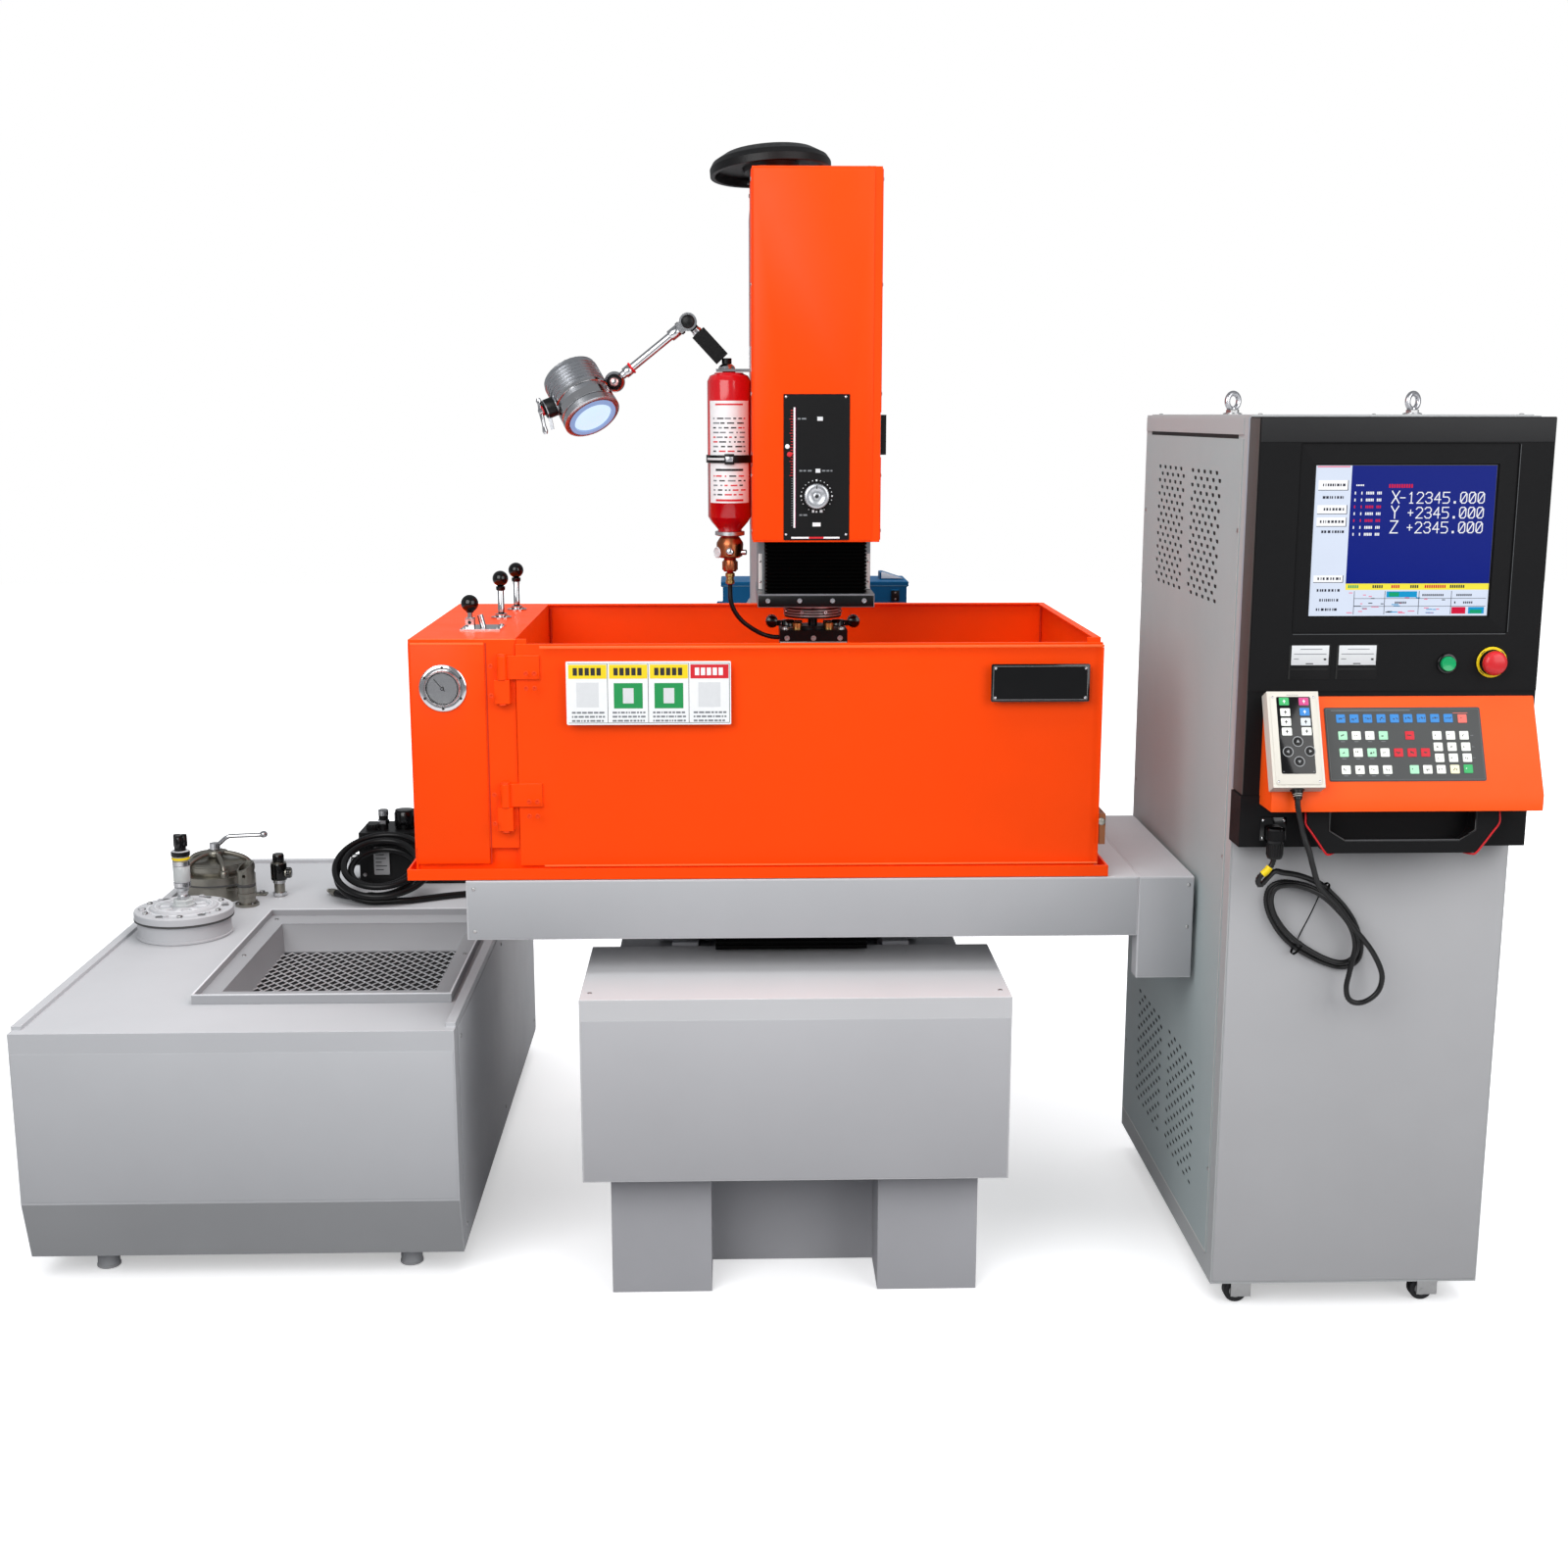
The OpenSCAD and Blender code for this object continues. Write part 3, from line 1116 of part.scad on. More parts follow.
bed();
front_cover();
servo_motors();
y_screw();
column();
rear_box();
head_housing();
head_panel();
head_dial();
z_screw();
z_drive_cover();
ram();
z_bellows();
electrode_holder();
extinguisher();
extinguisher_hose();
lamp_base();
lamp_lower_arm();
lamp_upper_arm();
lamp_head();
saddle();
x_motor_cover();
x_servo();
x_screw();
cross_table();
work_tank();
work_table();
tank_fittings();
gauge_needle();
gate_lever();
flush_rod();
drain_rod();
tank_door();
tank_latch();
dielectric_tank();
strainer_tray();
front_canister();
air_valve_knob();
rear_canister();
clamp_lever();
pump();
hose_coil();
supply_hose();
cabinet_shell();
bezel();
screen();
console();
start_button();
stop_button();
pendant();
pendant_cable();
cable_plug();
power_unit();
eye_bolts();
left_fork();
right_fork();
front_left_wheel();
front_right_wheel();
rear_left_wheel();
rear_right_wheel();
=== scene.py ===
import json
import random
from math import atan2, cos, hypot, pi, radians, sin, tau

import bmesh
import bpy
from mathutils import Matrix, Vector


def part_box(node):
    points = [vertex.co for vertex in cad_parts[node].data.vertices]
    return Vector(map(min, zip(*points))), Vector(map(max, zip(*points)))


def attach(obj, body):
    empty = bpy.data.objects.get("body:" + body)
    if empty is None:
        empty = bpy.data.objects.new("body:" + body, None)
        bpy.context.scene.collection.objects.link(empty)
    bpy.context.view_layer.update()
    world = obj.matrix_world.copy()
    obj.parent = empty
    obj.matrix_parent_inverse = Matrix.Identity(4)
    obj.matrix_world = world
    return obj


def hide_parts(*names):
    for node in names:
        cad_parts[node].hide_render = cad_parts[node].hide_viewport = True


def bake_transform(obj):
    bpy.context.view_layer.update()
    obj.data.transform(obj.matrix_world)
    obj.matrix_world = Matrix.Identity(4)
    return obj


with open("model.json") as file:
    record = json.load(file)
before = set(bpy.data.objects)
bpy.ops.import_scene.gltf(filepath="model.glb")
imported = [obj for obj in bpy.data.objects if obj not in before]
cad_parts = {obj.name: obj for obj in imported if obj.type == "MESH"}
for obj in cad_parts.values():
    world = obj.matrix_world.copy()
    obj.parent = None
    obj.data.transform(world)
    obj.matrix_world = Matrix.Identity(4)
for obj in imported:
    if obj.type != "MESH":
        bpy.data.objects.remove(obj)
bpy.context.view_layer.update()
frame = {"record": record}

# --- Places: millimetres from the datum, which is the ram axis on the floor ---
MM = 0.001
SHANK = next(m for m in frame["record"]["mounts"] if m["name"] == "electrode_shank_bore")
DATUM = Vector((SHANK["pos_m"][0], SHANK["pos_m"][1], 0.0))
UP, DOWN, FRONT, BACK, RIGHT, LEFT = (0, 0, 1), (0, 0, -1), (0, -1, 0), (0, 1, 0), (1, 0, 0), (-1, 0, 0)


def at(x, y, z):
    """A point given in millimetres from the datum, in the row frame in metres."""
    return DATUM + Vector((x, y, z)) * MM


class Span:
    """A CAD node's box in millimetres from the datum."""

    def __init__(self, node):
        low, high = ((Vector(c) - DATUM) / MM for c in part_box(node))
        self.x0, self.y0, self.z0 = low
        self.x1, self.y1, self.z1 = high
        self.cx, self.cy, self.cz = (low + high) / 2


TANK, DOOR, HEAD, PANEL, DIAL, RAM, HOLDER, SADDLE, MOTOR, COVER = map(Span, (
    "work_tank", "tank_door", "head_housing", "head_panel", "head_dial", "ram", "electrode_holder", "saddle",
    "x_motor_cover", "front_cover"))
BED, COLUMN, UNIT, TRAY, CAB, BEZEL, SCREEN, CONSOLE, BOTTLE, PLUG, START, STOP = map(Span, (
    "bed", "column", "dielectric_tank", "strainer_tray", "cabinet_shell", "bezel", "screen", "console",
    "extinguisher", "cable_plug", "start_button", "stop_button"))
CAB.z0 = 54                      # underside of the shell, over its casters

# --- Camera ---
CAMERA_AT = (-150, -3570, 1563)
CAMERA_PITCH, CAMERA_YAW = 11.15, 1.53
CAMERA_LENS = 43.01


def link(name, data):
    """A new object that shows data."""
    thing = bpy.data.objects.new(name, data)
    bpy.context.scene.collection.objects.link(thing)
    return thing


def make_camera():
    data = bpy.data.cameras.new("camera")
    data.lens, data.sensor_width, data.clip_end = CAMERA_LENS, 36, 60
    camera = link("camera", data)
    camera.location = at(*CAMERA_AT)
    camera.rotation_euler = (radians(90 - CAMERA_PITCH), 0, radians(-CAMERA_YAW))
    bpy.context.scene.camera = camera


make_camera()


# --- Materials ---
def srgb(*rgb):
    """8-bit sRGB to linear."""
    return tuple(((c / 255 + 0.055) / 1.055) ** 2.4 if c > 10 else c / 255 / 12.92 for c in rgb) + (1.0,)


def shade(color, factor):
    return tuple(min(1.0, c * factor) for c in color[:3]) + (1.0,)


class Nodes:
    """A small helper round one material's node tree."""

    def __init__(self, name):
        self.material = bpy.data.materials.new(name)
        self.material.use_nodes = True
        self.tree = self.material.node_tree
        self.shader = self.tree.nodes["Principled BSDF"]
        self.geometry = None

    def add(self, kind, **values):
        node = self.tree.nodes.new(kind)
        for key, value in values.items():
            if key.startswith("in_"):
                node.inputs[key[3:].replace("_", " ")].default_value = value
            else:
                setattr(node, key, value)
        return node

    def link(self, a, b):
        self.tree.links.new(a, b)

    def coords(self):
        if self.geometry is None:
            self.geometry = self.add("ShaderNodeTexCoord")
        return self.geometry.outputs["Object"]

    def noise(self, scale, detail=3.0, roughness=0.5, stretch=None):
        node = self.add("ShaderNodeTexNoise", in_Scale=scale, in_Detail=detail, in_Roughness=roughness)
        source = self.coords()
        if stretch:
            mapping = self.add("ShaderNodeMapping", in_Scale=stretch)
            self.link(source, mapping.inputs["Vector"])
            source = mapping.outputs["Vector"]
        self.link(source, node.inputs["Vector"])
        return node.outputs["Fac"]

    def remap(self, value, low, high, from_low=0.0, from_high=1.0):
        node = self.add("ShaderNodeMapRange", in_From_Min=from_low, in_From_Max=from_high, in_To_Min=low,
                        in_To_Max=high)
        self.link(value, node.inputs["Value"])
        return node.outputs["Result"]

    def mix(self, factor, a, b):
        node = self.add("ShaderNodeMix", data_type="RGBA")
        self.link(factor, node.inputs[0])
        node.inputs[6].default_value, node.inputs[7].default_value = a, b
        return node.outputs[2]

    def vary(self, slot, noise, color, spread):
        """Lets a noise darken and lighten a colour by spread, or by a (darker, lighter) pair of factors."""
        low, high = spread if isinstance(spread, tuple) else (1 - spread, 1 + spread)
        self.link(self.mix(noise, shade(color, low), shade(color, high)), self.shader.inputs[slot])

    def gloss(self, noise, low, high):
        self.link(self.remap(noise, low, high), self.shader.inputs["Roughness"])

    def bump(self, height, strength, distance):
        node = self.add("ShaderNodeBump", in_Strength=strength, in_Distance=distance)
        self.link(height, node.inputs["Height"])
        self.link(node.outputs["Normal"], self.shader.inputs["Normal"])

    def set(self, **values):
        for key, value in values.items():
            self.shader.inputs[key.replace("_", " ")].default_value = value
        return self.material


def painted(name, color, rough=0.38, peel=0.12, peel_scale=900.0, mottle=0.04, metallic=0.0, coat=0.0,
            specular=0.3):
    """Sprayed enamel: slow mottling, fine orange peel and uneven gloss."""
    n = Nodes(name)
    n.vary("Base Color", n.remap(n.noise(3.1, 4.0, 0.55), 0, 1, 0.3, 0.7), color, mottle)
    n.gloss(n.noise(14.0, 5.0, 0.6), rough - 0.06, rough + 0.08)
    n.bump(n.noise(peel_scale, 2.0, 0.5), peel, 0.0006)
    return n.set(Metallic=metallic, Coat_Weight=coat, Coat_Roughness=0.12, Specular_IOR_Level=specular)


def plastic(name, color, rough=0.45, grain=0.2, grain_scale=1600.0, mottle=0.05, coat=0.0, specular=0.3):
    """Moulded plastic with a fine spark-eroded grain."""
    n = Nodes(name)
    n.vary("Base Color", n.noise(9.0, 4.0, 0.6), color, mottle)
    n.gloss(n.noise(40.0, 4.0, 0.6), rough - 0.07, rough + 0.07)
    n.bump(n.noise(grain_scale, 2.0, 0.5), grain, 0.0004)
    return n.set(Coat_Weight=coat, Coat_Roughness=0.08, Specular_IOR_Level=specular)


def metal(name, color, rough=0.25, stretch=(1.0, 1.0, 60.0), scale=60.0, depth=0.15, mottle=0.12):
    """Turned, ground or plated metal: fine lines along one way and patchy gloss."""
    n = Nodes(name)
    lines = n.noise(scale, 6.0, 0.65, stretch)
    n.vary("Base Color", lines, color, mottle)
    n.gloss(n.noise(25.0, 4.0, 0.6), max(0.04, rough - 0.08), rough + 0.1)
    n.bump(lines, depth, 0.0003)
    return n.set(Metallic=1.0)


def printed(name, color, rough=0.42):
    """Printed ink or film, with a faint unevenness of the ink."""
    n = Nodes(name)
    n.vary("Base Color", n.noise(120.0, 3.0, 0.6), color, (0.95, 1.04))
    n.gloss(n.noise(60.0, 3.0, 0.5), rough - 0.05, rough + 0.05)
    return n.material


def glowing(name, color, strength=0.8, rough=0.2):
    n = Nodes(name)
    n.vary("Emission Color", n.noise(20.0, 2.0, 0.5), color, 0.04)
    return n.set(Base_Color=shade(color, 0.2), Emission_Strength=strength, Roughness=rough, Specular_IOR_Level=0.08)


def clear_glass(name, tint, rough=0.03):
    n = Nodes(name)
    n.gloss(n.noise(30.0, 3.0, 0.5), rough, rough + 0.03)
    return n.set(Base_Color=tint, Transmission_Weight=1.0, IOR=1.45)


M = {}


def finish(make, look, **colors):
    """Makes materials that differ in colour alone. A colour is 8-bit sRGB, or linear with its alpha."""
    for key, color in colors.items():
        M[key] = make(key, srgb(*color) if len(color) == 3 else color, **look)


ENAMEL = dict(peel=0.16, peel_scale=800, mottle=0.03)
BLACK_COAT = dict(peel_scale=1700)
finish(painted, dict(rough=0.36, peel=0.10, specular=0.16), orange=(247, 70, 2))
# lighter copy of the orange for folded edges and rims: painted highlight
finish(painted, dict(rough=0.34, peel=0.10), orange_edge=(255, 104, 44))
# darker orange for weld seams and small plates; on the tray's feet it is painted shade under the tray
finish(painted, dict(rough=0.42, peel=0.14), orange_deep=(196, 42, 2))
# the pale grey is for the left side sheet's edge lines: painted highlight
finish(painted, dict(rough=0.4, peel=0.2), orange_screw=(232, 66, 12), cabinet_edge=(196, 193, 190))
finish(painted, dict(rough=0.45, peel=0.22, peel_scale=1400, specular=0.2), orange_console=(248, 86, 20))
# one grey enamel in lighter and darker copies, lighter on tops and darker on fronts: painted light and shade
finish(painted, dict(ENAMEL, rough=0.46), saddle_front=(168, 169, 172), cover_top=(196, 196, 198),
       cover_front=(176, 176, 179), cover=(190, 190, 193))
finish(painted, dict(ENAMEL, rough=0.5, peel=0.2), saddle_top=(176, 176, 179))
# the front skin is a little darker than the sides: painted shade
finish(painted, dict(ENAMEL, rough=0.44), unit_front=(177, 178, 181), unit=(182, 183, 186))
# much darker copy for the sloped foot: painted shade
finish(painted, dict(ENAMEL, rough=0.5, mottle=0.04), unit_low=(150, 151, 153))
# lighter copy for rims and ribs: painted highlight
finish(painted, dict(ENAMEL, rough=0.4, mottle=0.04), unit_edge=(206, 207, 210))
finish(painted, dict(rough=0.35, peel=0.2, metallic=0.2), mesh=(188, 189, 192))
# darker grey for the basin and the strainer's frame: painted shade of the basin
finish(painted, dict(rough=0.5, peel=0.2), mesh_frame=(150, 151, 154))
# lighter blue for the lid's edge: painted highlight
finish(painted, dict(rough=0.35, peel=0.1), blue_edge=(58, 104, 134))
finish(painted, dict(rough=0.4, peel=0.15, specular=0.15), blue=(0, 82, 128))
finish(painted, dict(rough=0.45, peel=0.2), side_grey=(150, 142, 138))
finish(painted, dict(rough=0.35, peel=0.05), white_strip=(232, 232, 230))
finish(painted, dict(rough=0.3, peel=0.1), strip=(150, 158, 168))
# cooler copy of the cabinet paint for the left side: painted light
finish(painted, dict(rough=0.55, peel=0.35, peel_scale=1500, mottle=0.03), cabinet_left=(168, 179, 180),
       cabinet=(174, 176, 177))
finish(painted, dict(rough=0.5, peel=0.3, peel_scale=1500, mottle=0.03), cabinet_front=(176, 176, 178))
finish(painted, dict(rough=0.5, peel=0.28, peel_scale=420, mottle=0.05), casting=(168, 168, 172))
finish(painted, dict(rough=0.16, peel=0.04, coat=0.5), red=(186, 8, 20))
finish(painted, dict(rough=0.3, peel=0.2, peel_scale=700, specular=0.2), black_paint=(9, 9, 10))
finish(painted, dict(rough=0.4, peel=0.5, peel_scale=260, specular=0.25), black_cast=(14, 14, 15))
finish(painted, dict(BLACK_COAT, rough=0.5, peel=0.3, specular=0.08), bezel=(22, 22, 23))
# lighter copy of the black front for its top band: painted highlight
finish(painted, dict(BLACK_COAT, rough=0.5, peel=0.3, specular=0.15), bezel_top=(40, 40, 41))
# grey lines for the recess's edges and the handle's lip: painted highlight
finish(painted, dict(BLACK_COAT, rough=0.4, peel=0.2), bezel_edge=(72, 74, 76))
# lighter, warmer copy of the black for the control front's left side: painted light
finish(painted, dict(BLACK_COAT, rough=0.5, peel=0.2), bezel_side=(74, 70, 68))
finish(painted, dict(BLACK_COAT, rough=0.42, peel=0.2, specular=0.15), panel=(16, 16, 17))
finish(painted, dict(rough=0.42, peel=0.3, metallic=0.55, mottle=0.15), latch=(140, 88, 58))
finish(plastic, dict(rough=0.6, grain=0.3), gasket=(70, 70, 70))
finish(plastic, dict(rough=0.12, grain=0.05, coat=0.6), clear_nut=(186, 190, 190))
finish(plastic, dict(rough=0.5, grain=0.3, grain_scale=1800), cream_edge=(150, 148, 142))
finish(plastic, dict(rough=0.5, grain=0.3, grain_scale=1800, mottle=0.03), cream=(208, 204, 194))
finish(plastic, dict(rough=0.5, grain=0.08), key_pale=(205, 212, 216), key_blue=(56, 130, 200),
       key_white=(235, 238, 230), key_green=(60, 170, 100), key_mint=(165, 220, 185), key_red=(200, 36, 50),
       key_coral=(232, 110, 100), key_pink=(200, 70, 130), key_cream=(246, 240, 200))
finish(plastic, dict(rough=0.4, grain=0.08), key_ring=(150, 152, 154))
finish(plastic, dict(rough=0.45, grain=0.08), keypad_line=(92, 96, 96))
finish(plastic, dict(rough=0.42, grain=0.12), keypad=(64, 66, 66))
finish(plastic, dict(rough=0.36, specular=0.25), black=(11, 11, 12))
finish(plastic, dict(rough=0.14, grain=0.03, coat=0.25), gloss_black=(5, 5, 6))
finish(plastic, dict(rough=0.5, grain=0.4, grain_scale=900, specular=0.06), rubber=(3, 3, 3))
finish(plastic, dict(rough=0.34, grain=0.2, grain_scale=900), hose=(12, 12, 13))
finish(plastic, dict(rough=0.25, grain=0.05, coat=0.3), green=(10, 160, 95))
finish(plastic, dict(rough=0.32, grain=0.06, coat=0.2), stop_red=(205, 38, 44))
finish(plastic, dict(rough=0.4, grain=0.1), yellow=(235, 205, 20))
finish(plastic, dict(rough=0.35, grain=0.05), wire_red=(205, 20, 30))
finish(plastic, dict(rough=0.6, grain=0.4, grain_scale=700), tyre=(38, 38, 40))
EVEN = (1, 1, 1)
finish(metal, dict(rough=0.28, depth=0.05), pink_metal=(196, 150, 148))
finish(metal, dict(rough=0.3), copper=(168, 96, 62), brass=(190, 150, 90))
finish(metal, dict(rough=0.3, stretch=EVEN, scale=200.0, depth=0.1), silver=(205, 206, 208))
finish(metal, {}, steel=(196, 196, 200))
finish(metal, dict(rough=0.32, stretch=(40, 1, 1)), ground=(150, 151, 155))
finish(metal, dict(rough=0.12, depth=0.03, mottle=0.08), chrome=(196, 196, 198))
finish(metal, dict(rough=0.3, stretch=EVEN, scale=300.0, depth=0.1), alu=(186, 188, 192))
finish(metal, dict(rough=0.38, stretch=EVEN, scale=160.0, depth=0.4), nickel=(150, 147, 138))
finish(metal, dict(rough=0.4, stretch=EVEN, scale=200.0, depth=0.3), zinc=(168, 168, 168))
finish(printed, {}, label_grey=(150, 152, 154), plate_line=(120, 120, 122), white=(236, 237, 238),
       off_white=(214, 216, 218), print_grey=(120, 124, 128), print_black=(24, 24, 26), print_yellow=(240, 208, 20),
       print_green=(16, 140, 72), print_red=(206, 22, 36), print_orange=(235, 110, 30))
# near-black for the backs of slots, gaps, pockets and the basin under the mesh: painted shade
finish(printed, dict(rough=0.8), hole=(14, 14, 14))
finish(glowing, dict(strength=1.05), lens=(0.62, 0.78, 1.0, 1.0))
finish(glowing, dict(strength=0.9), screen_blue=(0, 24, 120))
finish(glowing, dict(strength=0.75), screen_pale=(222, 232, 250))
finish(glowing, dict(strength=0.3), screen_ink=(60, 62, 80))
finish(glowing, {}, lens_rim=(0.30, 0.42, 0.72, 1.0), screen_white=(250, 252, 255), screen_yellow=(245, 230, 70),
       screen_red=(210, 20, 60), screen_cyan=(20, 150, 205), screen_green=(20, 160, 110),
       screen_pink=(235, 120, 150))
finish(clear_glass, {}, glass=(1.0, 1.0, 1.0, 1.0))


# --- Outlines and paths ---
def rect(x0, x1, y0, y1):
    return [(x0, y0), (x1, y0), (x1, y1), (x0, y1)]


def rounded(x0, x1, y0, y1, r, steps=5):
    """Outline of a rectangle with round corners."""
    points = []
    for cx, cy, start in ((x1 - r, y1 - r, 0), (x0 + r, y1 - r, 90), (x0 + r, y0 + r, 180), (x1 - r, y0 + r, 270)):
        points += [(cx + r * cos(radians(start + 90 * i / steps)), cy + r * sin(radians(start + 90 * i / steps)))
                   for i in range(steps + 1)]
    return points


def around(count, r, cx=0.0, cy=0.0, start=0.0):
    """Points spread evenly on a circle, the first at the angle start."""
    return [(cx + r * cos(tau * k / count + start), cy + r * sin(tau * k / count + start)) for k in range(count)]


def arc(r, a0, a1, steps, cx=0.0, cy=0.0):
    """Points on a circle from the angle a0 to a1."""
    angles = [a0 + (a1 - a0) * i / steps for i in range(steps + 1)]
    return [(cx + r * cos(a), cy + r * sin(a)) for a in angles]


def turned(a, points, cx=0.0, cy=0.0):
    """Points given as (outwards, sideways), turned by a about (cx, cy)."""
    return [(cx + r * cos(a) - w * sin(a), cy + r * sin(a) + w * cos(a)) for r, w in points]


def slot_hole(cx, cy, half, r, steps=5):
    """Outline of a level slot with round ends, half long each way."""
    points = []
    for side in (1, -1):
        for i in range(steps + 1):
            a = pi * (i / steps - 0.5)
            points.append((cx + side * (half + r * cos(a)), cy + side * r * sin(a)))
    return points


def frame_to(origin, axis, up=UP):
    """Matrix whose Z goes along axis, at origin."""
    z, u = Vector(axis).normalized(), Vector(up)
    if abs(z.dot(u)) > 0.98:
        u = Vector(BACK)
    x = u.cross(z).normalized()
    m = Matrix((x, z.cross(x), z)).transposed().to_4x4()
    m.translation = Vector(origin)
    return m


def smooth_path(points, spacing):
    """Points every spacing millimetres along a Catmull-Rom curve through the given ones."""
    points = [Vector(p) for p in points]
    fine = []
    for i in range(len(points) - 1):
        a, b = points[max(i - 1, 0)], points[i]
        c, d = points[i + 1], points[min(i + 2, len(points) - 1)]
        for k in range(24):
            u = k / 24
            fine.append(0.5 * (2 * b + (c - a) * u + (2 * a - 5 * b + 4 * c - d) * u ** 2
                               + (3 * b - a - 3 * c + d) * u ** 3))
    fine.append(points[-1])
    out = [fine[0]]
    left = spacing
    for p, q in zip(fine, fine[1:]):
        length = (q - p).length
        done = 0.0
        while length - done > left:
            done += left
            out.append(p.lerp(q, done / length))
            left = spacing
        left -= length - done
    if (out[-1] - fine[-1]).length < spacing * 0.5:
        out[-1] = fine[-1]
    else:
        out.append(fine[-1])
    return out


# --- Pieces ---
class Build:
    """Gathers the shapes of one piece in millimetres from the datum.

    Each shape names its material first. frame places the shapes that follow. done() moves the mesh into the row
    frame, and the piece rides on its body.
    """

    def __init__(self, name, body="root", slot=None):
        self.name, self.body, self.slot = name, body, slot
        self.bm = bmesh.new()
        self.mark = self.bm.verts.layers.int.new("placed")
        self.used = []
        self.frame = None

    def paint(self, material, faces):
        if material not in self.used:
            self.used.append(material)
        for f in faces:
            f.material_index = self.used.index(material)

    def settle(self, material, faces):
        """Gives new faces their material and moves new vertices by the frame."""
        self.paint(material, faces)
        for v in self.bm.verts:
            if not v[self.mark]:
                v[self.mark] = 1
                if self.frame is not None:
                    v.co = self.frame @ v.co

    def verts(self, points):
        return [self.bm.verts.new(p) for p in points]

    def flat(self, outline, plane, level):
        """Vertices of a 2-D outline in the plane xy, xz or yz, at a level on the third axis."""
        order = {"xy": lambda u, v: (u, v, level), "xz": lambda u, v: (u, level, v),
                 "yz": lambda u, v: (level, u, v)}[plane]
        return self.verts(order(u, v) for u, v in outline)

    def walls(self, rings):
        """Quads, or triangles at a point, between rings of vertices that follow each other."""
        faces = []
        for a, b in zip(rings, rings[1:]):
            count = max(len(a), len(b))
            for i in range(count if count > 1 else 0):
                j = (i + 1) % count
                corners = (a[i % len(a)], a[j % len(a)], b[j % len(b)], b[i % len(b)])
                faces.append(self.bm.faces.new(list(dict.fromkeys(corners))))
        return faces

    def soften(self, material, faces, edges, width):
        """Rounds edges of new faces with two segments, where width is not zero."""
        self.paint(material, faces)
        made = [] if not width else bmesh.ops.bevel(self.bm, geom=list(edges), offset=width, segments=2,
                                                    profile=0.5, affect="EDGES")["faces"]
        self.settle(material, made)

    def box(self, material, x0, x1, y0, y1, z0, z1, bevel=0.0):
        verts = bmesh.ops.create_cube(self.bm, size=1.0)["verts"]
        for v in verts:
            v.co = (x0 if v.co.x < 0 else x1, y0 if v.co.y < 0 else y1, z0 if v.co.z < 0 else z1)
        self.soften(material, {f for v in verts for f in v.link_faces}, {e for v in verts for e in v.link_edges}, bevel)

    def prism(self, material, outline, plane, low, high, bevel=0.0):
        """Extrudes a 2-D outline along the axis that plane leaves out."""
        ends = [self.flat(outline, plane, level) for level in (low, high)]
        faces = [self.bm.faces.new(end) for end in ends] + self.walls(ends)
        bmesh.ops.recalc_face_normals(self.bm, faces=faces)
        self.soften(material, faces, {e for f in faces[:2] for e in f.edges}, bevel)

    def sheet(self, material, outer, holes, plane, low, high):
        """A flat sheet with holes through it."""
        faces, sides = [], []
        for level in (low, high):
            rings = [self.flat(loop, plane, level) for loop in [outer] + holes]
            edges = [self.bm.edges.new((a, b)) for ring in rings for a, b in zip(ring, ring[1:] + ring[:1])]
            filled = bmesh.ops.triangle_fill(self.bm, edges=edges, use_beauty=True, use_dissolve=False)["geom"]
            faces += [f for f in filled if isinstance(f, bmesh.types.BMFace)]
            sides.append(rings)
        for pair in zip(*sides):
            faces += self.walls(pair)
        self.settle(material, faces)

    def lathe(self, material, profile, origin=(0, 0, 0), axis=UP, steps=40, closed=False):
        """Turns a profile of (radius, height) about an axis."""
        m = frame_to(origin, axis)
        rings = [self.verts([m @ Vector((0, 0, h))] if r < 1e-6 else
                            [m @ Vector((x, y, h)) for x, y in around(steps, r)]) for r, h in profile]
        faces = self.walls(rings + rings[:1] if closed else rings)
        if not closed:
            faces += [self.bm.faces.new(ring) for ring in (rings[0], rings[-1]) if len(ring) > 1]
        self.settle(material, faces)

    def ring(self, material, profile, origin=(0, 0, 0), axis=UP, steps=40):
        self.lathe(material, profile, origin, axis, steps, closed=True)

    def tube(self, material, points, radius, sides=10):
        """Sweeps a circle along points. radius is a number or a function of the ring's number."""
        points = [Vector(p) for p in points]
        normal, rings = None, []
        for i, p in enumerate(points):
            t = (points[min(i + 1, len(points) - 1)] - points[max(i - 1, 0)]).normalized()
            if normal is None:
                normal = t.cross(Vector(UP if abs(t.z) < 0.9 else BACK)).normalized()
            normal = (normal - t * normal.dot(t)).normalized()
            side = t.cross(normal)
            r = radius(i) if callable(radius) else radius
            rings.append(self.verts(p + normal * x + side * y for x, y in around(sides, r)))
        ends = [self.bm.faces.new(ring) for ring in (rings[0], rings[-1])]
        self.settle(material, self.walls(rings) + ends)

    def bolt(self, material, origin, axis, r=5.0, h=4.0, kind="socket"):
        """A screw head: socket cap, hexagon or cross-slotted pan."""
        if kind == "hex":
            profile, steps = [(r, 0), (r, h * 0.82), (r * 0.9, h)], 6
        elif kind == "socket":
            profile, steps = [(r, 0), (r, h * 0.85), (r * 0.92, h), (r * 0.55, h), (r * 0.5, h * 0.4),
                              (0, h * 0.4)], 16
        else:
            profile, steps = [(r, 0), (r * 0.97, h * 0.35), (r * 0.75, h * 0.8), (r * 0.35, h),
                              (r * 0.25, h * 0.7), (0, h * 0.7)], 16
        self.lathe(material, profile, origin, axis, steps)

    def bolts(self, material, places, axis, r=5.0, h=4.0, kind="socket"):
        for p in places:
            self.bolt(material, p, axis, r, h, kind)

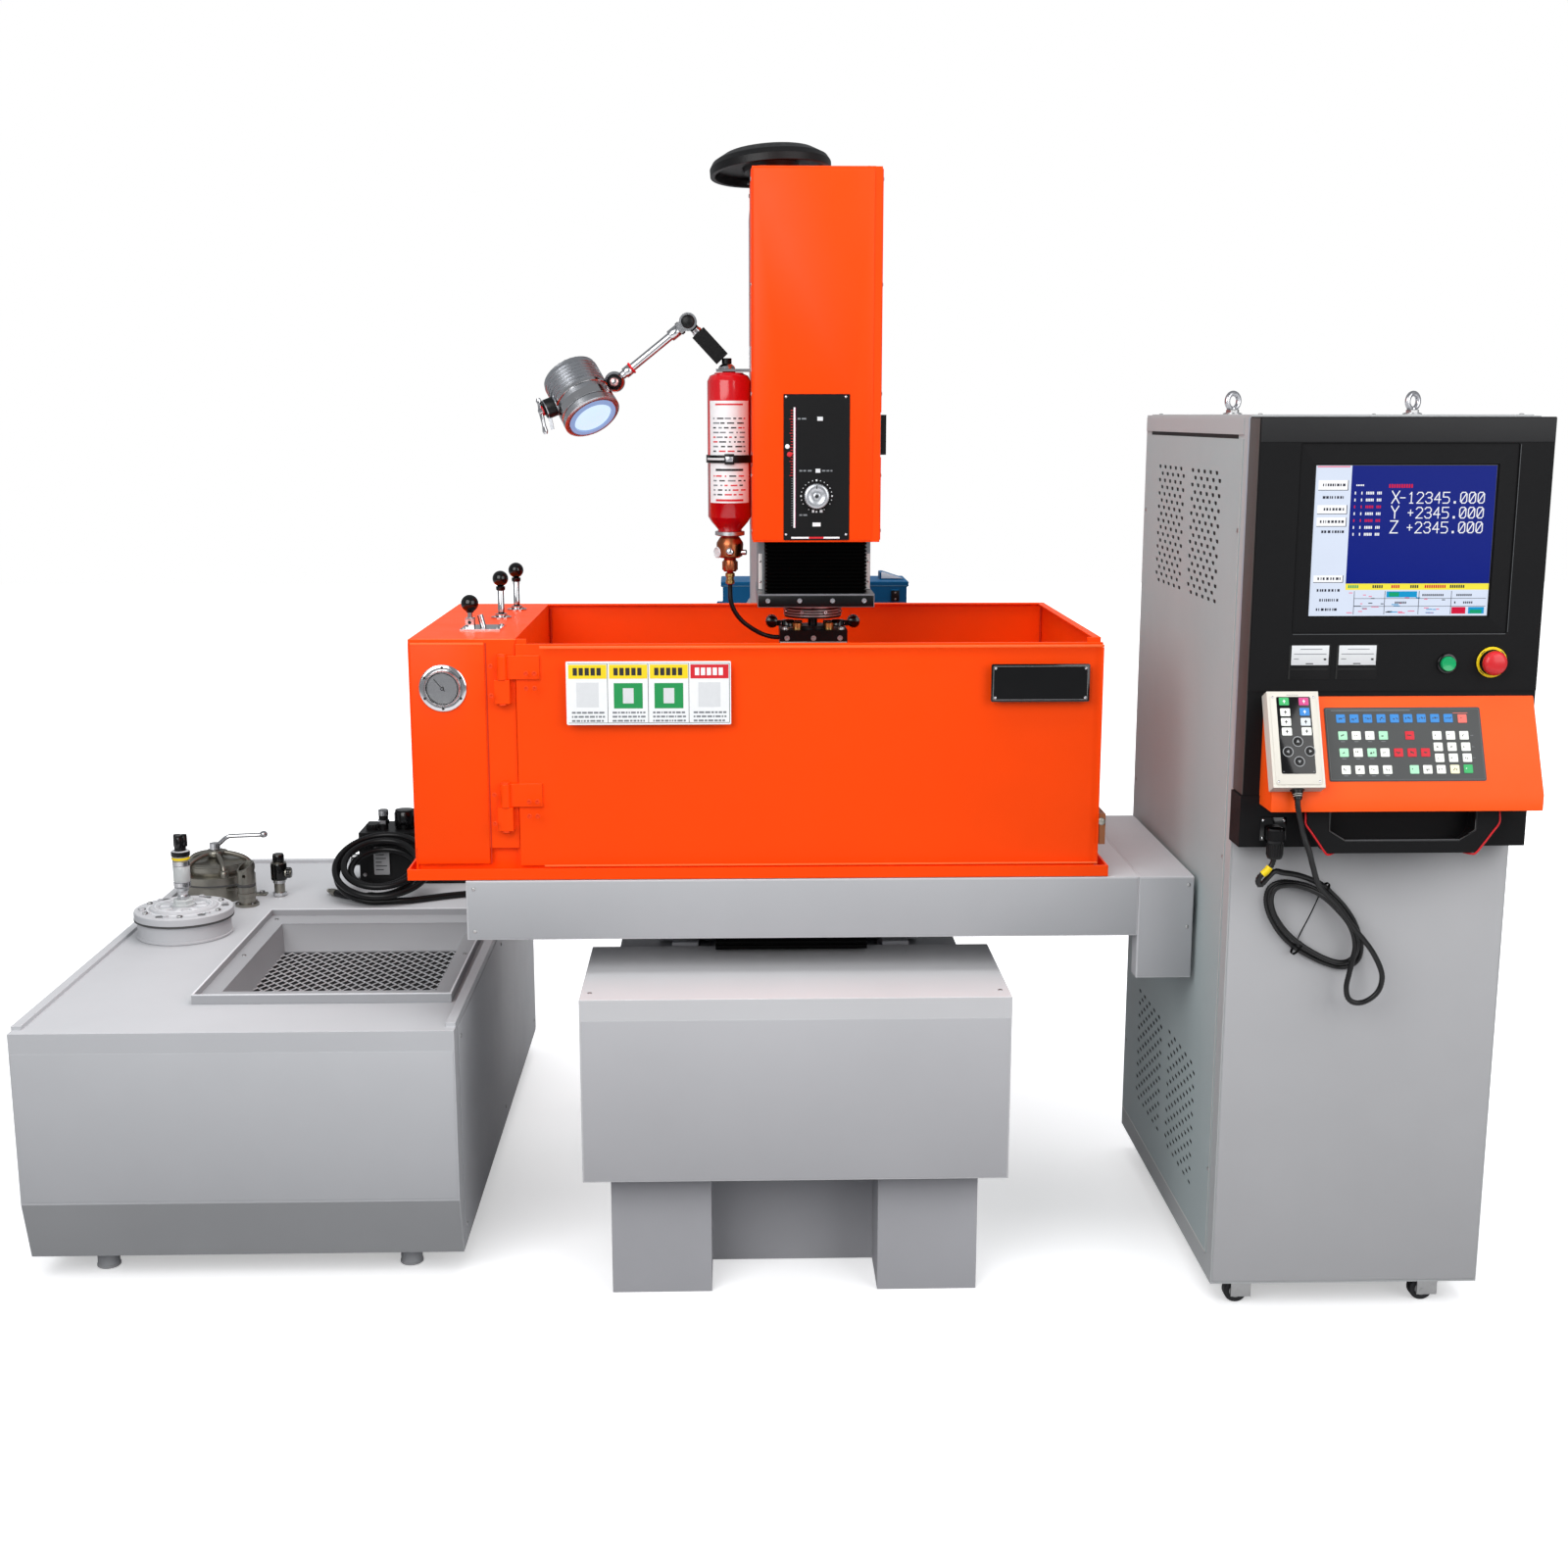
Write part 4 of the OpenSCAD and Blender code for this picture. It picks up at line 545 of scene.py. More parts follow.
    def done(self, smooth=40.0):
        self.bm.verts.layers.int.remove(self.mark)
        bmesh.ops.recalc_face_normals(self.bm, faces=self.bm.faces)
        mesh = bpy.data.meshes.new(self.name)
        self.bm.to_mesh(mesh)
        self.bm.free()
        mesh.transform(Matrix.Translation(DATUM) @ Matrix.Scale(MM, 4))
        piece = link(self.name, mesh)
        for material in self.used:
            mesh.materials.append(M[material])
        if smooth:
            mesh.shade_smooth()
            mesh.set_sharp_from_angle(angle=radians(smooth))
        if self.body:
            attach(piece, self.body)
        return piece


# --- Cords ---
CABLE_D = 10
SUPPLY_D = 15
BOTTLE_HOSE_D = 9

# Pendant to plug, the route of the CAD tube
PENDANT_ROUTE = [
    (751, -653, 963), (751, -656, 949), (754, -657, 934), (759, -655, 916), (766, -649, 896), (784, -622, 866),
    (797, -609, 834), (810, -598, 804), (827, -588, 785), (848, -579, 765), (868, -572, 741), (886, -567, 718),
    (904, -563, 698), (921, -560, 676), (935, -558, 651), (941, -557, 631), (938, -556, 610), (927, -555, 595),
    (911, -554, 586), (896, -553, 586), (886, -552, 595), (883, -551, 613), (887, -550, 636), (892, -549, 662),
    (895, -548, 683), (891, -547, 704), (882, -546, 723), (867, -545, 741), (850, -544, 758), (832, -543, 772),
    (811, -542, 782), (787, -540, 788), (766, -538, 786), (755, -536, 777), (752, -534, 760), (758, -532, 738),
    (770, -531, 718), (785, -530, 700), (804, -529, 684), (825, -528, 670), (849, -528, 657), (873, -528, 649),
    (891, -528, 651), (902, -528, 662), (905, -528, 680), (899, -528, 701), (887, -528, 723), (869, -528, 744),
    (850, -528, 762), (833, -528, 774), (815, -527, 783), (792, -524, 788), (770, -520, 788), (754, -517, 778),
    (749, -516, 758), (754, -516, 735), (766, -516, 712), (782, -516, 691), (801, -516, 674), (825, -516, 659),
    (852, -516, 646), (879, -516, 638), (900, -516, 640), (913, -516, 652), (916, -516, 673), (910, -516, 697),
    (898, -516, 723), (880, -516, 747), (860, -517, 767), (842, -521, 783), (817, -532, 796), (788, -548, 808),
    (762, -562, 815), (743, -572, 819), (722, -577, 799), (715, -581, 804), (716, -585, 814), (727, -587, 825),
    (735, -587, 836), (738, -587, 848)]

# Extinguisher valve to the electrode holder
BOTTLE_ROUTE = [
    (-157, -60, 1252), (-157, -60, 1240), (-156, -61, 1222), (-150, -60, 1204), (-138, -56, 1186),
    (-122, -50, 1172), (-104, -42, 1160), (-88, -37, 1153), (-74, -35, 1150), (-64.3, -35, 1150)]

# Port on the bed to the coil, and the coil to the free end
SUPPLY_RUN = [
    (-396, 600, 460), (-420, 600, 460), (-450, 601, 461), (-500, 602, 465), (-550, 600, 476), (-600, 596, 492),
    (-645, 592, 505), (-672, 589, 506), (-700, 585, 502), (-730, 580, 498), (-760, 573, 496), (-790, 562, 496),
    (-820, 548, 496), (-850, 532, 496), (-880, 518, 496), (-908, 511, 497), (-935, 511, 500)]
SUPPLY_TAIL = [
    (-978, 523, 500), (-998, 533, 499), (-1018, 547, 498), (-1036, 563, 497), (-1052, 579, 497),
    (-1066, 594, 497)]
COIL_CENTRE = Vector((-950, 589.8, 553.75))
COIL_R = 90
COIL_BAND = 26
COIL_LEAN = radians(26)
COIL_TURNS = 4


def cord_mesh(name, points, spacing, diameter, depth, slot, body=None):
    """A tube with a shallow rib every second ring along a smooth path. Returns it and its path in metres."""
    path = smooth_path(points, spacing)
    b = Build(name, body, slot)
    b.tube("hose", path, lambda i: diameter / 2 - (0 if i % 2 == 0 else 2 * depth), 16)
    return b.done(60), [at(*p) for p in path]


def coil_points():
    """Turns of the supply hose: each is moved a fifth round the band's own middle, so that they lie side by side."""
    lean = Matrix.Rotation(COIL_LEAN, 4, "X")
    reach = COIL_BAND - SUPPLY_D / 2
    first = radians(-92)
    last = first - tau * COIL_TURNS - radians(13)
    steps = 36 * COIL_TURNS + 2
    points = []
    for i in range(steps + 1):
        turn = first + (last - first) * i / steps
        lay = radians(-54) + (first - turn) / 5
        r = COIL_R + reach * cos(lay)
        points.append(COIL_CENTRE + lean @ Vector((r * cos(turn), r * sin(turn), reach * sin(lay))))
    return points


def supply_fitting():
    """Crimped ferrule, union nut and barb on the free end of the supply hose."""
    end = Vector(SUPPLY_TAIL[-1])
    axis = (end - Vector(SUPPLY_TAIL[-2])).normalized()
    b = Build("supply_fitting", "root", "steel")
    b.lathe("nickel", [(7.9, -14), (8.3, -13), (8.3, -8), (7.9, -7.4), (8.3, -6.8), (8.3, -1), (7.6, 0), (5.5, 1),
                       (5.5, 4)], end, axis, 24)
    b.bolt("nickel", end + axis * 3, axis, 7.0, 9, "hex")
    b.lathe("nickel", [(5.2, 11), (5.2, 13), (4.6, 15), (5.2, 15.5), (4.4, 18), (3.6, 21), (2.6, 21), (2.6, 12),
                       (0, 12)], end, axis, 24)
    return b.done()


def build_cords():
    pendant, path = cord_mesh("pendant_lead", PENDANT_ROUTE, 2.2, CABLE_D, 0.45, "cable_rubber", "root")
    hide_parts("pendant_cable")

    supply = SUPPLY_RUN[:-1] + coil_points() + SUPPLY_TAIL[1:]
    hose, path = cord_mesh("supply_line", supply, 3.0, SUPPLY_D, 0.5, "hose_rubber", "root")
    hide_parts("supply_hose", "hose_coil")
    supply_fitting()

    bottle, path = cord_mesh("bottle_line", BOTTLE_ROUTE, 3.0, BOTTLE_HOSE_D, 0.25, "hose_rubber")
    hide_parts("extinguisher_hose")
    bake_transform(bottle)


build_cords()


# Strokes of the readout's characters, in a cell 4 wide and 6 high
GLYPHS = {
    "0": [[(0, 1), (1, 0), (3, 0), (4, 1), (4, 5), (3, 6), (1, 6), (0, 5), (0, 1)], [(0.6, 1), (3.4, 5)]],
    "1": [[(1, 5), (2, 6), (2, 0)], [(1, 0), (3, 0)]],
    "2": [[(0, 5), (1, 6), (3, 6), (4, 5), (4, 4), (0, 0), (4, 0)]],
    "3": [[(0, 5), (1, 6), (3, 6), (4, 5), (4, 4), (3, 3), (1.5, 3)], [(3, 3), (4, 2), (4, 1), (3, 0), (1, 0), (0, 1)]],
    "4": [[(3, 0), (3, 6), (0, 2), (4, 2)]],
    "5": [[(4, 6), (0, 6), (0, 3.4), (3, 3.4), (4, 2.4), (4, 1), (3, 0), (0, 0)]],
    ".": [[(1.6, 0), (2.4, 0), (2.4, 0.8), (1.6, 0.8), (1.6, 0)]],
    "-": [[(0.5, 3), (3.5, 3)]],
    "+": [[(0.5, 3), (3.5, 3)], [(2, 1.5), (2, 4.5)]],
    "X": [[(0, 0), (4, 6)], [(0, 6), (4, 0)]],
    "Y": [[(0, 6), (2, 3), (4, 6)], [(2, 3), (2, 0)]],
    "Z": [[(0, 6), (4, 6), (0, 0), (4, 0)]],
}


def write(b, material, text, x, z, height, width, pitch, stroke, front, back):
    """Characters on an upright plane that faces -Y, as thin raised strokes."""
    for k, letter in enumerate(text):
        for line in GLYPHS[letter]:
            points = [(x + k * pitch + u * width / 4, z + v * height / 6) for u, v in line]
            for (ax, az), (bx, bz) in zip(points, points[1:]):
                length = hypot(bx - ax, bz - az)
                ux, uz = (bx - ax) / length * stroke / 2, (bz - az) / length * stroke / 2
                b.prism(material, [(ax - ux - uz, az - uz + ux), (ax - ux + uz, az - uz - ux),
                                   (bx + ux + uz, bz + uz - ux), (bx + ux - uz, bz + uz + ux)], "xz", front, back)


# --- CAD nodes: a material, and a small round in millimetres on every sharp edge ---
def dress(node, material, round_mm):
    piece = bpy.data.objects[node]
    mesh = piece.data
    mesh.materials.clear()
    mesh.materials.append(M[material])
    for name in ("custom_normal", "sharp_edge"):
        if name in mesh.attributes:
            mesh.attributes.remove(mesh.attributes[name])
    mesh.shade_smooth()
    piece.modifiers.new("weld", "WELD").merge_threshold = 2e-6
    flat = piece.modifiers.new("flat", "DECIMATE")
    flat.decimate_type = "DISSOLVE"
    flat.angle_limit = radians(0.4)
    if round_mm > 0:
        bevel = piece.modifiers.new("round", "BEVEL")
        bevel.width = round_mm * MM
        bevel.segments = 2
        bevel.limit_method = "ANGLE"
        bevel.angle_limit = radians(28)
        bevel.harden_normals = True


# the front cover takes the lightest grey copy: painted light on its top
DRESS = {
    "bed": ("casting", 3.0), "front_cover": ("cover_top", 1.2), "servo_motors": ("black_paint", 1.5),
    "y_screw": ("steel", 0), "column": ("casting", 3.0), "rear_box": ("blue", 2.0),
    "head_housing": ("orange", 1.2), "head_panel": ("panel", 0.6), "head_dial": ("alu", 0.8),
    "z_screw": ("steel", 0), "z_drive_cover": ("black_cast", 2.0), "ram": ("ground", 1.0),
    "z_bellows": ("rubber", 0.8), "electrode_holder": ("black_paint", 1.0), "extinguisher": ("red", 0.0),
    "lamp_base": ("chrome", 0.8), "lamp_lower_arm": ("black_paint", 1.5), "lamp_upper_arm": ("chrome", 0.6),
    "lamp_head": ("alu", 0.6), "saddle": ("cover", 2.0), "x_motor_cover": ("cover", 1.5),
    "x_servo": ("black_paint", 1.5), "x_screw": ("steel", 0), "cross_table": ("ground", 1.0),
    "work_tank": ("orange", 0.9), "work_table": ("ground", 0.8), "tank_fittings": ("chrome", 0.5),
    "gauge_needle": ("print_black", 0), "gate_lever": ("gloss_black", 0), "flush_rod": ("gloss_black", 0),
    "drain_rod": ("gloss_black", 0), "tank_door": ("orange", 0.9), "tank_latch": ("latch", 1.2),
    "dielectric_tank": ("unit", 1.2), "strainer_tray": ("mesh_frame", 0.8), "front_canister": ("unit", 1.2),
    "air_valve_knob": ("black", 1.0), "rear_canister": ("nickel", 1.0), "clamp_lever": ("chrome", 0.5),
    "pump": ("black_cast", 2.0), "cabinet_shell": ("cabinet", 1.2), "bezel": ("bezel", 1.5),
    "screen": ("gloss_black", 0.4), "console": ("orange_console", 2.0), "start_button": ("green", 1.0),
    "stop_button": ("stop_red", 1.0), "pendant": ("cream", 4.0), "cable_plug": ("black", 1.0),
    "power_unit": ("alu", 1.0), "eye_bolts": ("steel", 0.8), "left_fork": ("zinc", 0.8),
    "right_fork": ("zinc", 0.8), "front_left_wheel": ("tyre", 2.5), "front_right_wheel": ("tyre", 2.5),
    "rear_left_wheel": ("tyre", 2.5), "rear_right_wheel": ("tyre", 2.5)}

for node, (material, round_mm) in DRESS.items():
    dress(node, material, round_mm)


# --- Control cabinet ---
FACE = CAB.y0 - 58               # face of the black control front
BEZEL_LOW = 861                  # lower edge of the control front
GRIP_X0, GRIP_X1 = CAB.x0 + 96, CAB.x0 + 411
SLOPE_DOWN = Vector((0, -71, -153)).normalized()
SLOPE_OUT = Vector((0, -153, 71)).normalized()
PENDANT_MID = 0.478 * 168.67     # middle of the pendant down the slope
PENDANT_TOP = 28.3               # its face over the slope


def on_slope(x, down, out=0.0):
    """Frame on the sloped console: x across, y down the slope and z out of it."""
    m = Matrix((RIGHT, SLOPE_DOWN, SLOPE_OUT)).transposed().to_4x4()
    m.translation = Vector((x, FACE, CONSOLE.z1)) + SLOPE_DOWN * down + SLOPE_OUT * out
    return m


def control_front():
    """Raised sheet round the recessed display frame, with a lighter band on top as a painted highlight."""
    b = Build("control_front", slot="panel_black")
    x0, x1, z0, z1 = 752, 1104, 1215, 1519
    b.sheet("bezel", rect(CAB.x0 + 0.6, CAB.x1 - 0.6, 1121, 1558), [
        rounded(x0, x1, z0, z1, 3), around(32, 16.6, START.cx, START.cz), around(32, 25.6, STOP.cx, STOP.cz)],
        "xz", FACE - 2.6, FACE)
    # lighter band along the top: painted highlight
    b.prism("bezel_top", rect(CAB.x0 + 0.6, CAB.x1 - 0.6, 1521, 1558.5), "xz", FACE - 3.2, FACE - 2.6, 0.3)
    # frame that slopes in from the recess to the display
    outer = rect(x0 + 1, x1 - 1, z0 + 1, z1 - 1)
    inner = rect(SCREEN.x0 - 1.5, SCREEN.x1 + 1.5, SCREEN.z0 - 1.5, SCREEN.z1 + 1.5)
    for i in range(4):
        j = (i + 1) % 4
        quad = [(*outer[i], -0.4), (*outer[j], -0.4), (*inner[j], -2.2), (*inner[i], -2.2)]
        ends = [b.verts((x, FACE + y, z) for x, z, y in quad), b.verts((x, FACE + 0.4, z) for x, z, y in quad)]
        b.settle("bezel", [b.bm.faces.new(end) for end in ends] + b.walls(ends))
    # painted highlights: bright lines where the recess's edges turn
    b.box("bezel_edge", x0 + 2, x1 - 2, FACE - 2.9, FACE - 2.5, z0 - 1.6, z0 - 0.4)
    b.box("bezel_edge", x1 + 0.6, x1 + 1.6, FACE - 2.9, FACE - 2.5, z0 + 2, z1 - 2)
    b.done()


def card_pockets():
    """Two slim pockets, each with a blank printed card."""
    b = Build("card_pockets", slot="panel_black")
    z0, z1, y = 1164, 1196, FACE - 2.6
    for x in (753.5, 831.0):
        b.box("panel", x - 3, x + 64, y - 0.6, y + 0.5, 1141, 1198, 0.25)
        # near-black strips at the pocket's left side and across it: painted shadow
        b.box("hole", x - 3.6, x - 1.2, y - 0.9, y, 1141, z1)
        b.box("hole", x - 3, x + 60, y - 0.9, y, 1156.5, 1158)
        b.box("off_white", x, x + 61, y - 1.3, y - 0.5, z0, z1, 0.2)
        for material, u0, u1, v0, v1 in (
                ("print_grey", 14, 50, 25.5, 26.7), ("print_grey", 4, 57, 17.5, 18.7), ("print_grey", 4, 12, 9.5, 10.7),
                ("print_black", 24, 36, 1.6, 3.2), ("print_black", 53, 57, 8, 11)):
            b.box(material, x + u0, x + u1, y - 1.5, y - 1.2, z0 + v0, z0 + v1)
    b.done()


def button_rings():
    b = Build("button_rings", slot="button_green")
    y = FACE - 4.6
    b.ring("gloss_black", [(15.8, 0), (15.8, 1.6), (14.6, 2.4), (12.6, 2.4), (12.6, 0)], (START.cx, y, START.cz), FRONT)
    b.ring("yellow", [(25, 0), (25, 1.2), (24.2, 1.9), (21, 1.9), (21, 0)], (STOP.cx, y, STOP.cz), FRONT, 48)
    for d in (-0.14, -0.05, 0.04, 0.13):
        for x, z in around(4, 22.8, STOP.cx, STOP.cz, radians(45) + d):
            b.box("print_black", x - 0.8, x + 0.8, y - 2.1, y - 1.8, z - 0.8, z + 0.8)
    b.done()
    b = Build("stop_cap", "stop_button", "button_red")
    b.lathe("stop_red", [(12, 4.2), (17, 5.4), (19.4, 6.8), (20.0, 8.5), (19.8, 12), (18.2, 15.5), (14.6, 18.2),
                         (9.5, 19.6), (0, 20.0)], (STOP.cx, FACE - 8, STOP.cz), FRONT, 48)
    b.done(60)
    b = Build("start_cap", "start_button", "button_green")
    b.lathe("green", [(11.9, 0), (11.9, 2.2), (11.0, 3.2), (8.5, 3.0), (4.0, 2.4), (0, 2.2)],
            (START.cx, START.y0 + 0.6, START.cz), FRONT)
    b.done(50)


def display():
    """The lit page: a pale menu column, a blue field with the axis readout, and a tool bar of boxes."""
    b = Build("display_page", slot="screen_glass")
    y = SCREEN.y0 - 0.2
    width, height = SCREEN.x1 - SCREEN.x0, SCREEN.z1 - SCREEN.z0

    def field(ink, fx0, fx1, fz0, fz1, lift=0.45):
        """A box in fractions of the page, from its upper left corner."""
        b.box("screen_" + ink, SCREEN.x0 + width * fx0, SCREEN.x0 + width * fx1, y - lift, y - lift + 0.35,
              SCREEN.z1 - height * fz1, SCREEN.z1 - height * fz0)

    def dashes(ink, x, x1, long, pitch, z0, z1, lift=0.45):
        while x < x1:
            field(ink, x, x + long, z0, z1, lift)
            x += pitch

    for ink, *place in (("pale", 0.004, 0.2, 0.005, 0.995), ("blue", 0.2, 0.996, 0.005, 0.78),
                        ("yellow", 0.2, 0.996, 0.78, 0.822), ("pale", 0.2, 0.996, 0.822, 0.995)):
        field(ink, *place, 0.3)
    field("pink", 0.01, 0.19, 0.008, 0.016)
    # menu column: boxes and rows of short marks
    draw = random.Random(7)
    for z0, z1, boxed in ((0.10, 0.163, 1), (0.19, 0.235, 0), (0.262, 0.318, 1), (0.343, 0.40, 1), (0.42, 0.455, 0),
                          (0.725, 0.77, 1), (0.81, 0.84, 0), (0.865, 0.915, 0), (0.93, 0.975, 0)):
        if boxed:
            field("white", 0.02, 0.185, z0, z1)
            field("ink", 0.02, 0.185, z1, z1 + 0.004, 0.5)
            field("ink", 0.181, 0.185, z0, z1, 0.5)
        x = 0.035 + draw.random() * 0.03
        while x < 0.165:
            long = 0.004 + draw.random() * 0.011
            field("ink", x, min(x + long, 0.175), (z0 + z1) / 2 - 0.009, (z0 + z1) / 2 + 0.008, 0.6)
            x += long + 0.004 + draw.random() * 0.006
    # small table at the left of the blue field
    for k in range(7):
        z = 0.175 + k * 0.045
        for x0, x1 in ((0.222, 0.228), (0.258, 0.264), (0.285, 0.322), (0.345, 0.372)):
            dashes("red" if k in (2, 4) else "white", x0, x1, 0.006, 0.009, z, z + 0.018)
    for k in range(5):
        field("white", 0.228 + 0.009 * k, 0.234 + 0.009 * k, 0.128, 0.138)
    for k in range(10):
        field("red", 0.408 + 0.0135 * k, 0.417 + 0.0135 * k, 0.126, 0.150)
    # axis readout
    for axis, value, fz in (("X", "-12345.000", 0.25), ("Y", "+2345.000", 0.348), ("Z", "+2345.000", 0.445)):
        z = SCREEN.z1 - height * fz
        write(b, "screen_white", axis, SCREEN.x0 + width * 0.428, z, 0.078 * height, 0.04 * width, 1, 1.7,
              y - 0.5, y - 0.3)
        write(b, "screen_white", value, SCREEN.x0 + width * (0.95 - 0.048 * len(value)), z, 0.07 * height,
              0.034 * width, 0.048 * width, 1.5, y - 0.5, y - 0.3)
    # marks in the yellow strip
    for x0, x1, ink in ((0.215, 0.27, "green"), (0.35, 0.41, "ink"), (0.455, 0.50, "red"), (0.56, 0.60, "ink"),
                        (0.64, 0.76, "red"), (0.78, 0.86, "ink")):
        dashes(ink, x0, x1, 0.008, 0.012, 0.79, 0.81)
    # tool bar
    for x in (0.25, 0.42, 0.61, 0.79):
        field("ink", x, x + 0.003, 0.83, 0.985)
    for z in (0.878, 0.93):
        field("ink", 0.25, 0.985, z, z + 0.003)
    field("cyan", 0.43, 0.60, 0.832, 0.872)
    field("green", 0.445, 0.50, 0.838, 0.866, 0.55)
    field("red", 0.797, 0.875, 0.937, 0.982)
    field("cyan", 0.89, 0.978, 0.937, 0.982)
    field("green", 0.90, 0.965, 0.955, 0.98, 0.55)
    for k in range(34):
        x, z = 0.205 + draw.random() * 0.56, 0.835 + draw.random() * 0.14
        field(("pink", "pink", "cyan", "ink")[k % 4], x, x + 0.012 + draw.random() * 0.03, z, z + 0.006, 0.4)
    for x0, x1, z in ((0.82, 0.9, 0.85), (0.81, 0.82, 0.90), (0.86, 0.91, 0.90), (0.63, 0.75, 0.85),
                      (0.48, 0.54, 0.9)):
        dashes("ink", x0, x1, 0.007, 0.011, z, z + 0.014, 0.5)
    b.done(0)


KEY_ROWS = (
    # distance down the slope, first key's x, number of keys, pitch, material
    (39.3, 835.0, 9, 22.05, "blue"), (40.0, 1034.6, 1, 0, "coral"), (67.9, 836.2, 1, 0, "mint"),
    (67.9, 858.3, 2, 22.1, "white"), (67.9, 902.5, 1, 0, "mint"), (68.0, 945.7, 1, 0, "red"),
    (68.3, 990.4, 3, 22.2, "white"), (96.5, 836.1, 1, 0, "mint"), (96.5, 858.9, 1, 0, "white"),
    (96.5, 881.5, 1, 0, "mint"), (96.6, 902.9, 1, 0, "white"), (96.8, 925.0, 3, 22.0, "red"),
    (87.4, 990.7, 3, 22.6, "white"), (105.9, 991.3, 3, 22.6, "white"), (125.2, 837.0, 4, 22.5, "white"),
    (125.1, 948.4, 1, 0, "mint"), (125.1, 970.1, 2, 22.0, "white"), (124.9, 1014.5, 1, 0, "cream"),
    (124.5, 1036.4, 1, 0, "green"))


def keypad():
    """Membrane keypad on the sloped console."""
    b = Build("keypad", slot="panel_black")
    b.frame = on_slope(0, 0)
    b.prism("keypad", rounded(809.3, 1065.0, 20.3, 144.2, 3), "xy", 0.05, 1.4, 0.3)
    b.prism("keypad_line", rounded(811.5, 1062.8, 22.5, 142.0, 2), "xy", 1.35, 1.55)
    b.prism("keypad", rounded(812.3, 1062.0, 23.3, 141.2, 2), "xy", 1.4, 1.65)
    draw = random.Random(11)
    for down, x0, count, pitch, color in KEY_ROWS:
        for k in range(count):
            x = x0 + k * pitch
            b.prism("key_" + color, rounded(x - 7.4, x + 7.4, down - 7.2, down + 7.2, 1.5), "xy", 1.5, 2.5, 0.45)
            for m in range(4 if color == "blue" else 1 + draw.randrange(3)):
                u = x - 4.4 + draw.random() * 2 + m * 2.3
                v = down - 2.6 + draw.random() * 3
                b.box("white" if color == "green" else "print_black", u, u + 1.5, v, v + 1.4 + draw.random() * 1.6,
                      2.4, 2.62)
            if color == "red":
                b.box("print_black", x - 2.5, x + 2.5, down - 0.8, down + 0.8, 2.4, 2.65)
            if down in (67.9, 96.5, 125.2):
                b.box("print_grey", x - 4, x + 3, down + 9.6, down + 10.4, 1.5, 1.75)
    for x in (1046, 1048.5):
        for down in (68.3, 87.4, 105.9):
            b.box("print_grey", x, x + 1.2, down - 0.6, down + 0.6, 1.5, 1.75)
    b.box("key_coral", 1020, 1044, 30.0, 30.8, 1.5, 1.75)
    b.box("print_grey", 820, 950, 25.2, 26.0, 1.5, 1.72)
    b.done(30)


def pendant_face():
    """Edge, keys and legends of the pendant, and the ribbed strain relief at its lower end."""
    b = Build("pendant_face", slot="pendant_cream")
    b.frame = on_slope(751, PENDANT_MID, PENDANT_TOP)
    b.prism("cream_edge", rounded(-41.4, 41.4, -79.4, 79.4, 6), "xy", -27.6, -22.5, 0.8)
    b.prism("cream", rounded(-37.5, 37.5, -75.5, 75.5, 5), "xy", -0.3, 1.0, 0.7)
    b.prism("gloss_black", rounded(-27.5, 28.0, -70.5, 57.5, 2.5), "xy", 0.8, 1.6, 0.25)
    for color, x, y in (("green", -15.4, -62.6), ("pink", 16.6, -62.4), ("white", -14.6, -44.5),
                        ("blue", 16.8, -45.0), ("white", -14.4, -28.3), ("pale", 17.3, -28.3),
                        ("white", -14.2, -12.2), ("white", 17.8, -12.4)):
        b.prism("key_" + color, rounded(x - 8, x + 8, y - 6.6, y + 6.6, 1.5), "xy", 1.4, 2.5, 0.45)
        ink = "white" if color in ("green", "pink", "blue") else "print_black"
        b.box(ink, x - 2.0, x + 2.2, y - 1.2, y + 0.6, 2.4, 2.65)
        b.box(ink, x - 0.6, x + 0.8, y - 3.0, y + 3.0, 2.4, 2.65)
    for x, y in ((2.2, 4.4), (-14.8, 21.1), (20.8, 20.6), (2.4, 37.4)):
        b.ring("key_ring", [(8.6, 1.5), (8.6, 2.1), (7.4, 2.1), (7.4, 1.5)], (x, y, 0), UP, 32)
        b.lathe("black", [(7.3, 1.5), (7.0, 2.3), (5, 2.6), (0, 2.7)], (x, y, 0), UP, 28)
        b.prism("key_ring", around(3, 3.2, x, y, atan2(y - 20.8, x - 2.6)), "xy", 2.55, 2.8)
    for x in range(7):
        b.box("print_grey", -10 + x * 2.8, -8.4 + x * 2.8, -74.2, -73.0, 0.9, 1.15)
    for x, y in ((-24, 54), (24.5, 54), (24.5, -67)):
        b.box("print_grey", x - 1, x + 1, y - 0.4, y + 0.4, 1.5, 1.72)
    b.bolts("steel", [(x, y, 0.9) for x in (-33, 33) for y in (-70, 70)], UP, 1.9, 0.9, "pan")
    b.done()
    b = Build("pendant_relief", slot="cable_rubber")
    b.frame = on_slope(751, PENDANT_MID, PENDANT_TOP - 14)
    profile = [(11.5, 79), (11.5, 82)]
    for k in range(5):
        r, h = 9.6 - k * 0.75, k * 3
        profile += [(r, 82.5 + h), (r, 84.3 + h), (r - 1.3, 84.6 + h), (r - 1.3, 85.3 + h)]
    b.lathe("hose", profile + [(5.1, 97.5), (4.2, 97.5)], axis=BACK, steps=28)
    b.done(50)


